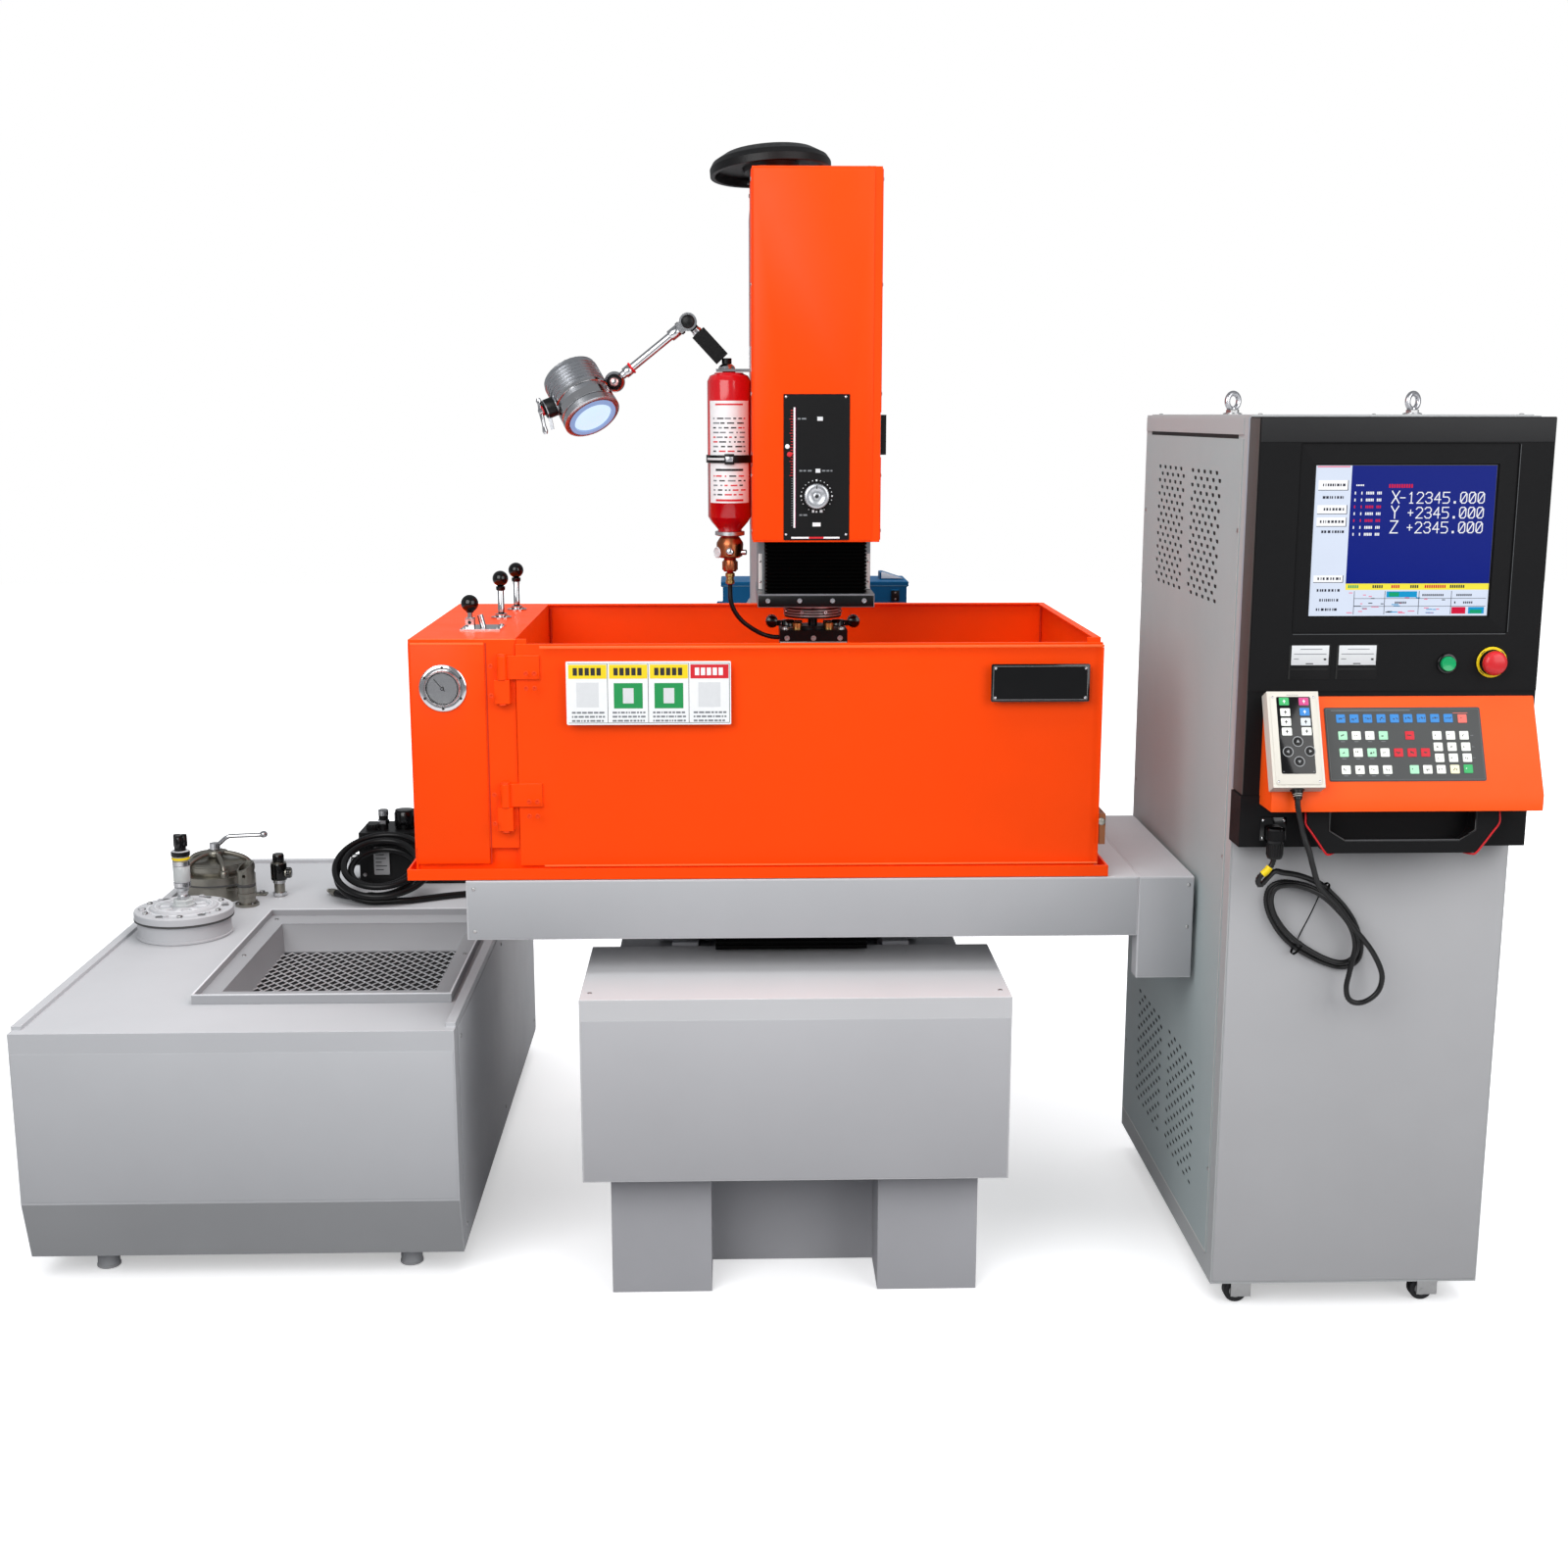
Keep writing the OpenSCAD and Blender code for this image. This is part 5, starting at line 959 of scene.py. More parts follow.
def handle_trim():
    """Red cords that run down both sides of the grab handle, and its lip with a painted highlight."""
    b = Build("handle_cords", slot="button_red")
    for s, x0, x1 in ((1, GRIP_X0, GRIP_X0 + 34), (-1, GRIP_X1, GRIP_X1 - 34)):
        route = ((x0 - s * 1.5, 8, 934), (x0 - s * 2.4, 3, 921), (x0 - s * 1.6, 1, 908), (x0 + s * 8, 0, 894),
                 (x0 + s * 20, -0.5, 877), (x1, 0, 858.2), (x1 + s * 8, 4, 856.6), (x1 + s * 16, 12, 857))
        b.tube("wire_red", smooth_path([(x, BEZEL.y0 + y, z) for x, y, z in route], 3), 1.7)
    b.done(60)
    b = Build("handle_lip", slot="panel_black")
    inner = [(GRIP_X0 + 37, 930), (GRIP_X0 + 37, 897), (GRIP_X0 + 64, 880), (GRIP_X1 - 64, 880),
             (GRIP_X1 - 37, 897), (GRIP_X1 - 37, 930)]
    b.tube("gloss_black", [(x, BEZEL.y0 + 0.6, z) for x, z in inner], 2.2)
    # grey line along the lip's lower edge: painted highlight
    b.tube("bezel_edge", [(x, BEZEL.y0 - 0.9, z + 1.2) for x, z in inner[2:4]], 1.1, 8)
    b.done(60)


def plug_details():
    """Knurls, collar and bracket of the plug, its yellow sleeve, and the string across the lead's loops."""
    b = Build("plug_details", slot="black_plastic")
    x, y = PLUG.cx, PLUG.cy
    for u, v in around(18, 13, x, y):
        b.tube("black", [(u, v, z) for z in (852, 871)], 1.1, 6)
    b.lathe("gloss_black", [(15.4, 873), (15.4, 877), (13.5, 878), (13.5, 893), (15.2, 894), (15.2, 897), (10, 899)],
            (x, y, 0), UP, 32)
    b.lathe("black", [(12.4, 849), (11.6, 846), (10.2, 845.6)], (x, y, 0), UP, 28)
    b.box("gloss_black", x - 22, x + 22, y + 14.5, y + 17, 872, 912, 1.0)
    b.bolts("chrome", [(x + s * 17, y + 14.6, z) for s in (-1, 1) for z in (877, 907)], FRONT, 2.6, 1.6, "pan")
    b.done()
    b = Build("plug_sleeve", slot="black_plastic")
    p = [Vector(q) for q in PENDANT_ROUTE[-4:]]
    b.tube("yellow", [p[0].lerp(p[1], 0.4), p[1], p[1].lerp(p[2], 0.55)], 5.9, 20)
    b.done(50)
    b = Build("lead_tie", slot="cable_rubber")
    b.tube("rubber", smooth_path([(843, -521, 781), (838, -512.5, 757), (826, -512, 727), (813, -513, 700),
                                  (801, -521, 678)], 6), 1.0, 6)
    for place, axis in (((842, -530, 778), (-0.8, 0, 0.6)), ((803, -523, 674), (0.8, 0, -0.6))):
        b.ring("rubber", [(12.5, -2), (13.5, -2), (13.5, 2), (12.5, 2)], place, axis, 18)
    b.done(60)


def side_panel(name, x, out):
    """Screwed-on side sheet with two groups of staggered slots above and two below."""
    b = Build(name, slot="cabinet_grey")
    t = 1.6 if out < 0 else 0.25         # the right side is the widest face of the whole machine
    low, high = sorted((x, x + out * t))
    holes = [slot_hole(y0 + (10.75 if i % 2 else -10.75) + k * 43, z0 + i * pitch, 6.5, 3.4)
             for y0 in (-325, -62) for z0, pitch in ((1245, 12.9), (172, 13.2)) for i in range(18) for k in range(5)]
    # the left sheet takes the cooler copy of the paint: painted light
    b.sheet("cabinet_left" if out < 0 else "cabinet", rect(CAB.y0 + 36, CAB.y1 - 12, 96, 1524), holes, "yz", low, high)
    # near-black behind each group of slots: painted shade
    for y0 in (-325, -62):
        for z0 in (1235, 162):
            b.box("hole", *sorted((x, x + out * t * 0.4)), y0 - 22, y0 + 196, z0, z0 + 245)
    b.box("cabinet", low, high, CAB.y0 + 36, CAB.y1 - 4, 1531, 1558)
    # near-black line under the top band: painted shade
    b.box("hole", *sorted((x, x + out * t * 0.5)), CAB.y0 + 70, CAB.y1 - 50, 1523.6, 1531.2)
    if out < 0:
        # pale lines along the front and lower edges: painted highlight
        b.box("cabinet_edge", x - 2.1, x - 1.5, CAB.y0 + 36, CAB.y0 + 38, 96, 1524)
        b.box("cabinet_edge", x - 2.1, x - 1.5, CAB.y0 + 36, CAB.y1 - 12, 96, 98)
        b.bolts("zinc", [(x - 1.5, y, z) for y in (CAB.y0 + 45, CAB.y1 - 24) for z in (252, 820, 1375)], LEFT,
                4.0, 1.6, "pan")
    b.done(0)


def cabinet_back():
    """Back sheet with slots, mains inlet plate, isolator and two capped sockets."""
    b = Build("cabinet_back", slot="cabinet_grey")
    x, y = CAB.x0, CAB.y1
    holes = [slot_hole(x0 + 26 + k * 40, z0 + i * 13, 8, 2.8)
             for x0 in (x + 70, x + 250) for i in range(12) for z0 in (1290, 190) for k in range(4)]
    b.sheet("cabinet", rect(x + 22, CAB.x1 - 22, 84, 1536), holes, "xz", y, y + 1.6)
    # near-black behind each group of slots: painted shade
    for x0 in (x + 74, x + 254):
        for z0 in (1280, 180):
            b.box("hole", x0, x0 + 166, y, y + 0.5, z0, z0 + 166)
    b.bolts("zinc", [(u, y + 1.5, z) for u in (x + 32, CAB.x1 - 32) for z in (110, 580, 1050, 1510)], BACK,
            4.2, 1.8, "pan")
    b.prism("alu", rounded(x + 110, x + 364, 640, 780, 6), "xz", y + 1.4, y + 4, 0.6)
    b.bolts("zinc", [(u, y + 3.8, z) for u in (x + 118, x + 356) for z in (648, 772)], BACK, 3.4, 1.6, "pan")
    for u, r in ((160, 22), (232, 18), (300, 18)):
        place = (x + u, y + 3.8, 700)
        b.lathe("black", [(r, 0), (r, 8), (r - 3, 10), (r - 3, 24), (r - 5, 26), (0, 26)], place, BACK, 32)
        b.ring("zinc", [(r + 5, 0), (r + 5, 3), (r + 1, 4), (r + 1, 0)], place, BACK, 32)
    b.box("gloss_black", x + 155, x + 165, y + 28, y + 36, 684, 716, 1.5)
    b.done(30)


def cabinet_front():
    """Lower door of the cabinet, the bluish edge strip beside the control front, and the roof sheet."""
    b = Build("cabinet_front", slot="cabinet_grey")
    b.prism("cabinet_front", rect(CAB.x0 + 3, CAB.x1 - 3, CAB.z0 + 5, BEZEL_LOW - 2), "xz", CAB.y0 - 1.6, CAB.y0, 0.5)
    b.done()
    b = Build("cabinet_strip", slot="cabinet_grey")
    b.box("strip", CAB.x0 - 1.2, CAB.x0, CAB.y0 - 1, CAB.y0 + 9, BEZEL_LOW + 88, CAB.z1 - 3, 0.3)
    # the control front's left side in a lighter copy of its black: painted light
    b.box("bezel_side", CAB.x0 - 1.4, CAB.x0 + 1, FACE + 1, CAB.y0 - 1.5, BEZEL_LOW + 88, CAB.z1 - 4, 0.3)
    b.done()
    b = Build("cabinet_roof", slot="cabinet_grey")
    b.prism("cabinet", rect(CAB.x0 + 8, CAB.x1 - 8, CAB.y0 + 10, CAB.y1 - 8), "xy", CAB.z1, CAB.z1 + 1.8, 0.6)
    b.bolts("zinc", [(x, y, CAB.z1 + 1.6) for x in (CAB.x0 + 22, CAB.x1 - 22) for y in (CAB.y0 + 26, CAB.y1 - 24)],
            UP, 4.2, 1.8, "pan")
    b.done(30)


def cabinet_metal():
    """Nuts under the eye bolts, the casters' top plates, and hub caps on the wheels."""
    b = Build("eye_bolt_nuts", slot="steel")
    for x in (CAB.cx - 165, CAB.cx + 165):
        b.lathe("zinc", [(17, 0), (17, 2), (14.5, 2.6)], (x, CAB.y0 + 390, CAB.z1 + 1.6), UP, 30)
        b.bolt("zinc", (x, CAB.y0 + 390, CAB.z1 + 3.5), UP, 12, 7, "hex")
    b.done()
    b = Build("caster_plates", slot="steel")
    for x in (CAB.x0 + 69, CAB.x1 - 69):
        for y in (CAB.y0 + 48, CAB.y1 - 70):
            b.lathe("zinc", [(17, 0), (19, 3), (19, 5)], (x, y, CAB.z0 - 9), UP, 30)
    b.done()
    for side, x in (("left", CAB.x0 + 69), ("right", CAB.x1 - 69)):
        for name, centre, ends in ((f"front_{side}_wheel", (x - 12, CAB.y0 + 48, 21), (BACK, FRONT)),
                                   (f"rear_{side}_wheel", (x, CAB.y1 - 82, 21), (RIGHT, LEFT))):
            b = Build(name + "_hub", name, "tyre_grey")
            for axis in ends:
                b.lathe("zinc", [(12, 9.6), (11.5, 10.6), (7, 10.9), (6.5, 10.2)], centre, axis, 28)
            b.done(50)


for make in (control_front, card_pockets, button_rings, display, keypad, pendant_face, handle_trim, plug_details):
    make()
side_panel("side_panel_left", CAB.x0, -1)
side_panel("side_panel_right", CAB.x1, 1)
for make in (cabinet_back, cabinet_front, cabinet_metal):
    make()


# --- Head, ram and electrode holder ---
HEAD_FRONT, HEAD_SIDE, SKIN = -150, 115, 1.6


def head_skins():
    """Folded front sheet round the adjusting panel, side sheets and top sheet."""
    b = Build("head_skins", slot="tank_orange")
    x0, x1, z0, z1 = HEAD.x0 + 3, HEAD.x1 - 14, HEAD.z0 + 4, HEAD.z1 - 4
    notch, top = 59.6, PANEL.z1 + 0.6
    b.prism("orange", [(x0, z0), (-notch, z0), (-notch, top), (notch, top), (notch, z0), (x1, z0), (x1, z1), (x0, z1)],
            "xz", HEAD_FRONT - SKIN, HEAD_FRONT, 0.4)
    b.done()
    b = Build("head_covers", slot="tank_orange")
    for side, low, high, gap in ((LEFT, -HEAD_SIDE - SKIN, -HEAD_SIDE, (1470, 1497)),
                                 (RIGHT, HEAD_SIDE, HEAD_SIDE + SKIN, (1488, 1567))):
        b.prism("orange", rect(-146, 146, z0, gap[0]), "yz", low, high, 0.4)
        b.prism("orange", rect(-146, 146, gap[1], z1), "yz", low, high, 0.4)
        places = [(side[0] * (HEAD_SIDE + 1.4), y, z) for y in (-134, 134)
                  for z in (z0 + 16, 1455, 1600, 1790, z1 - 16)]
        b.bolts("zinc", places, side, 4.2, 2.0, "pan")
    b.prism("orange", rounded(-105, 105, -140, 140, 4), "xy", HEAD.z1, HEAD.z1 + SKIN, 0.4)
    b.bolts("zinc", [(x, y, HEAD.z1 + 1.4) for x in (-92, 92) for y in (-126, 126)], UP, 4.2, 2.0, "pan")
    b.done()


def panel_marks():
    """Scale, stop marks and lines printed on the black panel, and the dial's face."""
    b = Build("panel_marks", slot="panel_black")
    y = PANEL.y0

    def mark(material, x0, x1, z0, z1):
        b.box(material, x0, x1, y - 0.35, y + 0.1, z0, z1)

    mark("white", -41.6, -38.6, 1362, 1576)
    mark("key_pink", -38.6, -37.9, 1362, 1576)
    for k in range(24):
        z = 1455 + k * 5
        mark("print_red", -49 if k % 5 == 0 else -46.5, -42.4, z, z + 1.1)
    for k in range(20):
        mark("print_grey", -45.5, -42.8, 1366 + k * 4.4, 1366.9 + k * 4.4)
    b.lathe("white", [(4.2, 0), (4.0, 1.2), (0, 1.6)], (-52.8, y, 1507), FRONT, 20)
    b.lathe("print_red", [(4.6, 0), (4.2, 2.2), (0, 2.8)], (-49, y - 1.4, 1493), FRONT, 20)
    b.prism("print_red", [(-47, 1491.4), (-41, 1494.6), (-47, 1497.4)], "xz", y - 1.2, y - 0.2)
    for x0, x1, z in ((-34, -29, 1556), (-27, -19, 1556), (-31, -26, 1464), (-24, -19, 1464), (-16, -9, 1464),
                      (10, 16, 1464), (18, 23, 1464), (25, 28.5, 1464), (-31, -26, 1385), (-24, -17, 1385)):
        mark("print_grey", x0, x1, z - 1.4, z + 1.4)
    for x0, x1, z, h in ((1, 11, 1556, 7), (-1.8, 6.7, 1464, 7), (-8, -4, 1392, 5), (6, 11, 1392, 5)):
        mark("off_white", x0, x1, z - h / 2, z + h / 2)
    mark("white", -7, 7.6, 1364.5, 1371.5)
    for material, x0, x1 in (("white", -45.7, -13.7), ("print_red", -13.7, 13), ("white", 13, 42)):
        mark(material, x0, x1, 1342.6, 1345.8)
    for k, (cx, cz) in enumerate(around(24, 28, 0, DIAL.cz)):
        if not (200 < 15 * k < 340 and k % 2):
            r = 0.8 if k % 6 else 1.5
            mark("off_white", cx - r, cx + r, cz - r, cz + r)
    b.bolts("steel", [(-55.2, y, 1594.6), (52, y, 1594.6), (-55.2, y, 1350), (53.5, y, 1350)], FRONT, 2.4, 1.4, "pan")
    b.done(30)
    b = Build("dial_face", "head_dial", "aluminium")
    y = DIAL.y0
    b.lathe("alu", [(20.6, 0), (20.6, 0.8), (18.8, 1.5), (13.5, 1.5), (12.6, 0.9), (6.5, 0.9), (6.3, 2.0), (4.8, 2.5),
                    (0, 2.5)], (0, y, DIAL.cz), FRONT, 48)
    b.lathe("print_black", [(3.4, 2.4), (3.2, 2.9), (0, 2.9)], (0, y, DIAL.cz), FRONT, 20)
    b.box("print_black", -0.8, 0.8, y - 2.0, y - 1.3, DIAL.cz + 13, DIAL.cz + 19.5)
    for x, z in around(36, 22.0, 0, DIAL.cz):
        b.tube("alu", [(x, y + s, z) for s in (1.5, 11)], 0.75, 6)
    b.done(50)


def ram_details():
    """Bright strips beside the bellows, black foot plate and its screws."""
    b = Build("ram_details", "ram", "machined_iron")
    low = RAM.z0
    for x in (-100.6, 100.6):
        b.box("white_strip", x - 3.6, x + 3.6, -64.2, -61.5, low + 26, low + 92, 0.5)
        b.bolts("steel", [(x, -64, low + z) for z in (40, 78)], FRONT, 2.3, 1.4, "pan")
    b.prism("black_paint", rounded(-106, 106, -149.4, 117, 3), "xy", low + 1.5, low + 21.5, 1.0)
    b.bolts("steel", [(x, -149.2, low + 12.5) for x in (-88, -30, 30, 88)], FRONT, 4.6, 2.6)
    b.bolts("zinc", [(x, y, low + 23.2) for x in (-99, 99) for y in (-50, 20, 90)], UP, 4.6, 4.0)
    b.done()


def holder_details():
    """Ribbed flange with clamping screws, the block's screws and ribs, and its knurled knobs."""
    b = Build("holder_details", "ram", "dark_steel")
    low, high = HOLDER.z0, HOLDER.z1
    b.ring("pink_metal", [(54.2, high - 12), (55.4, high - 11), (55.4, high - 4), (54.2, high - 3)], steps=64)
    for z in (high - 28, high - 23, high - 18):
        b.ring("zinc", [(54.2, z), (55.2, z + 0.6), (55.2, z + 3), (54.2, z + 3.6)], steps=64)
    for x, y in around(8, 54, start=pi / 8):
        b.bolt("steel", (x, y, high - 19), (x / 54, y / 54, 0), 3.4, 4.5)
    b.bolts("zinc", [(x, y, low + 29.8) for x in (-53, 53) for y in (-34, 34)], UP, 6.5, 5)
    b.bolts("zinc", [(x, -44.8, low + 15) for x in (-50, 0, 50)], FRONT, 5.2, 3.4)
    b.bolts("zinc", [(x, 44.8, low + 15) for x in (-50, 50)], BACK, 5.2, 3.4)
    b.prism("zinc", rounded(-64.6, 64.6, -45.6, 45.6, 3), "xy", low + 5, low + 8, 0.4)
    for s in (-1, 1):
        for t in (-1, 1):
            b.lathe("gloss_black", [(11.4, 0), (11.4, 2), (10, 4.6), (6, 6), (0, 6.4)],
                    (s * 78, t * 12, high - 40.5), (0, t, 0), 24)
        for x, z in around(14, 11.2, s * 78, high - 41):
            b.tube("gloss_black", [(x, -10, z), (x, 10, z)], 1.0, 6)
        b.bolts("steel", [(s * 40, -5.8, high - 44), (s * 58, -5.8, high - 44)], FRONT, 3.2, 2.4)
        b.lathe("brass", [(9.5, 0), (9.5, 12), (7.5, 14)], (s * 30, -20, low + 29), UP, 24)
        b.lathe("gloss_black", [(12.5, 0), (12.5, 10), (10.5, 12.5), (0, 13.5)], (s * 47, -12, low + 34), UP, 24)
    b.done()


def head_fittings():
    """Foot ring of the cover over the Z drive, and the switch box on the head's right side."""
    b = Build("drive_cover_rim", slot="black_plastic")
    b.ring("black_cast", [(41, 0), (45, 1.5), (45, 5.5), (41, 7.5)], (-76, 130, HEAD.z1), UP, 48)
    b.bolts("zinc", [(x, y, HEAD.z1 + 5) for x, y in around(4, 43, -76, 130, pi / 4)], UP, 3.6, 3, "pan")
    b.done()
    b = Build("side_switch", slot="black_plastic")
    x = HEAD.x1
    b.box("side_grey", 115.3, x + 0.8, -140.9, -89.2, 1491.3, 1563.7, 0.8)
    b.prism("side_grey", rounded(-138, -92, 1494, 1561, 3), "yz", x - 2, x + 1.6, 0.5)
    for z, material in ((1545, "stop_red"), (1528, "green"), (1511, "off_white")):
        b.ring("zinc", [(6.6, 0), (6.6, 1.6), (5.2, 1.6), (5.2, 0)], (x + 1.4, -115, z), RIGHT, 24)
        b.lathe(material, [(5.1, 0), (5.1, 2.6), (3.8, 3.4), (0, 3.6)], (x + 1.2, -115, z), RIGHT, 24)
    b.bolts("zinc", [(x + 1.4, y, z) for y in (-134, -96) for z in (1498, 1557)], RIGHT, 2.2, 1.2, "pan")
    b.done()


for make in (head_skins, panel_marks, ram_details, holder_details, head_fittings):
    make()

# --- Extinguisher and lamp ---
BOTTLE_X, BOTTLE_Y = -157, -60
BOTTLE_R = 40.45                 # over the paint, where the label lies
FOOT, ELBOW, KNUCKLE = Vector((-161, -60, 1654)), Vector((-231, -60, 1729)), Vector((-366, -60, 1622))
AIM = Vector((0.44, -0.51, -0.74)).normalized()


def bottle_label():
    """Printed label on the bottle's front, and the strap with its buckle."""
    b = Build("bottle_label", slot="extinguisher_red")

    def band(material, r0, r1, z0, z1, a0, a1, steps, bevel=0.0):
        """Part of a sleeve round the bottle, between two radii and two angles in degrees."""
        a0, a1 = radians(a0), radians(a1)
        b.prism(material, arc(r1, a0, a1, steps, BOTTLE_X, BOTTLE_Y) + arc(r0, a0, a1, steps, BOTTLE_X, BOTTLE_Y)[::-1],
                "xy", z0, z1, bevel)

    def wrap(material, a0, a1, z0, z1, lift=0.25):
        band(material, BOTTLE_R - 0.6, BOTTLE_R + lift, z0, z1, a0, a1, max(2, int(abs(a1 - a0) / 5 + 1e-9)))

    wrap("white", -150, -30, 1404, 1588, 0)
    for z0, z1, material in ((1580, 1583, "print_red"), (1407, 1411, "print_red"), (1462, 1466, "print_black")):
        wrap(material, -128, -52, z0, z1)
    draw = random.Random(3)
    for k in range(14):
        z = 1418 + k * 8.4 + (28 if k > 4 else 0)
        a = -136
        while a < -48:
            width = 4 + draw.random() * 16
            ink = draw.choice(("print_black", "print_grey", "print_black", "print_red"))
            wrap(ink, a, min(a + width, -44), z, z + 2.6)
            a += width + 3 + draw.random() * 6
    b.done(40)
    b = Build("bottle_strap", slot="black_plastic")
    band("black", 41, 42.8, 1476.5, 1490.5, -338, -22, 36, 0.15)
    band("off_white", 42.6, 43.3, 1481.5, 1485.5, -160, -96, 36, 0.15)
    band("print_orange", 42.6, 43.3, 1480.5, 1486.5, -94, -80, 36, 0.15)
    b.box("black", BOTTLE_X - 9, BOTTLE_X + 9, BOTTLE_Y - 46.5, BOTTLE_Y - 42, 1474, 1493, 1.2)
    b.box("steel", BOTTLE_X - 6.5, BOTTLE_X + 6.5, BOTTLE_Y - 47.6, BOTTLE_Y - 46, 1479, 1488, 0.6)
    b.done(40)


def bottle_valve():
    """Brass and copper valve under the bottle, and the cap on its top."""
    b = Build("bottle_valve", slot="steel")
    foot, top = (BOTTLE_X, BOTTLE_Y, BOTTLE.z0), (BOTTLE_X, BOTTLE_Y, BOTTLE.z1)
    x, y, z = foot
    b.lathe("brass", [(6.5, 1), (8.5, 2), (8.5, 8), (7, 9), (7, 14), (9, 15), (9, 20), (7, 22)], foot, UP, 28)
    b.lathe("copper", [(11.6, 24.5), (12.6, 26), (12.6, 44), (11.6, 46)], foot, UP, 36)
    b.lathe("copper", [(17.5, 49.5), (23.2, 53), (25, 74), (24.4, 78), (18, 88)], foot)
    for u, v in around(6, 12.6, x, y):
        b.tube("copper", [(u, v, z + 27), (u, v, z + 43)], 2.0, 8)
    b.lathe("chrome", [(7.5, 0), (7.5, 5), (6, 6), (6, 13), (4.5, 14)], (x, y - 20, z + 62), FRONT, 24)
    b.lathe("chrome", [(5, 0), (5, 9), (4, 10), (0, 10)], (x + 21, y - 6, z + 60), (1, -0.2, 0), 24)
    b.lathe("off_white", [(9, 0), (10.4, 1.5), (10.4, 5), (8.6, 6), (8.6, 4.5), (0, 4.5)], (x - 20, y - 6, z + 60),
            (-0.8, -0.6, 0), 28)
    b.lathe("silver", [(26, 91), (27.5, 92), (27.5, 98), (26, 99)], foot)
    b.done(40)
    b = Build("bottle_cap", slot="extinguisher_red")
    b.lathe("red", [(27, -1), (26, 1.4), (12, 2), (11, 4), (0, 4)], top, UP, 36)
    b.done(40)


def lamp_head():
    """Cooling ribs, reflector, glass rim and lit lens of the work lamp, and the hub at its side."""
    axle = (Vector(RIGHT) - AIM * AIM.x).normalized()
    centre = KNUCKLE - axle * 68
    b = Build("lamp_shell", "lamp_head", "aluminium")
    profile = [(51.2, -44)]
    for h in range(-42, 0, 7):
        profile += [(52.6, h + 0.6), (52.6, h + 4.6), (51.2, h + 5.2), (51.2, h + 6.4)]
    b.ring("alu", profile + [(51.2, 2), (50.5, 2), (50.5, -44)], centre, AIM, 72)
    b.ring("chrome", [(51.3, 3), (53.2, 4), (53.2, 10), (51.3, 11)], centre, AIM, 72)
    b.ring("chrome", [(51.3, 20), (52.8, 21), (52.8, 37), (51.3, 38)], centre, AIM, 72)
    b.ring("alu", [(51.3, 40), (53.4, 40.5), (53.4, 51), (50, 53.5), (46.2, 53.5), (46.2, 44)], centre, AIM, 72)
    m = frame_to(centre, AIM)
    for x, y in around(28, 47):
        b.tube("zinc", [m @ Vector((x, y, h)) for h in (-50.2, -46)], 2.0, 6)
    b.lathe("zinc", [(44, -50.5), (42, -54), (16, -56), (14, -52)], centre, AIM, 48)
    b.lathe("black", [(14, -54), (13, -60), (8, -61), (0, -61)], centre, AIM, 32)
    b.done(40)
    b = Build("lamp_glass", "lamp_head", "aluminium")
    b.lathe("chrome", [(45.6, 43.5), (45.6, 52), (44.4, 52), (40, 45.2), (20, 42.6), (0, 42.4)], centre, AIM, 64)
    b.ring("lens_rim", [(44.6, 50.5), (44.6, 54.4), (36.5, 55.4), (36.5, 51.5)], centre, AIM, 64)
    b.lathe("lens", [(36.4, 50.8), (34, 53.4), (22, 55.2), (0, 56)], centre, AIM, 64)
    b.done(40)
    b = Build("lamp_hub", "lamp_head", "black_plastic")
    origin = centre - axle * 52
    b.lathe("black", [(17.8, 0), (17.8, 16), (15.8, 19.6), (9, 20.6), (9, 23)], origin, -axle, 36)
    b.lathe("wire_red", [(9.2, 22.8), (9.2, 24.4), (5, 24.8)], origin, -axle, 28)
    b.lathe("chrome", [(6, 24), (6, 30), (4, 31.5), (0, 31.5)], origin, -axle, 24)
    start = origin - axle * 27
    for way, reach in ((Vector((0.2, 0, -1)).normalized(), 41), (Vector((-0.2, 0, 1)).normalized(), 24)):
        b.tube("chrome", [start + way * d for d in (0, reach * 0.6, reach - 5, reach)],
               lambda i: (4.4, 3.4, 5.2, 3.2)[i], 12)
    b.done(50)


def lamp_arms():
    """Caps on the knuckle and the elbow, and sleeves along the arms."""
    b = Build("lamp_knuckle", "lamp_upper_arm", "steel")
    for side in (BACK, FRONT):
        b.lathe("black", [(14.2, 13.0), (12, 15.4), (9.2, 17.2), (8.6, 17.6)], KNUCKLE, side, 32)
        b.lathe("pink_metal", [(8.4, 17.2), (7.2, 18.4), (4.6, 19.2), (4, 18.2), (0, 18.2)], KNUCKLE, side, 28)
    b.done(50)
    b = Build("lamp_arm_sleeves", "lamp_upper_arm", "steel")
    reach = (ELBOW - KNUCKLE).length
    for d0, d1, r, material in ((24, 38, 10, "chrome"), (38, 42, 11.5, "wire_red"),
                                (reach - 42, reach - 22, 10.5, "chrome"), (reach - 22, reach - 15, 12.2, "black")):
        b.lathe(material, [(r - 0.8, d0), (r, d0 + 1), (r, d1 - 1), (r - 0.8, d1)], KNUCKLE, ELBOW - KNUCKLE, 32)
    b.done(50)
    b = Build("lamp_elbow", "lamp_lower_arm", "black_plastic")
    for side in (FRONT, BACK):
        b.lathe("black", [(14.5, 4.4), (14.5, 9), (12.5, 12.5), (6, 14.5), (0, 15)], ELBOW, side, 32)
    b.frame = frame_to(FOOT, ELBOW - FOOT, BACK)
    b.lathe("chrome", [(9.5, 77), (9.5, 81), (8, 82), (8, 84)], steps=28)
    b.done(50)


for make in (bottle_label, bottle_valve, lamp_head, lamp_arms):
    make()


# --- Work tank, door and saddle ---
HINGE_Z = (1108, 880)
ROD_AT = {"flush": (-599, 55), "drain": (-586, 205)}
GAUGE_AT = (-661, -298, 1093)
WALL_X = -527.8                  # where the marks of the inner left wall stand


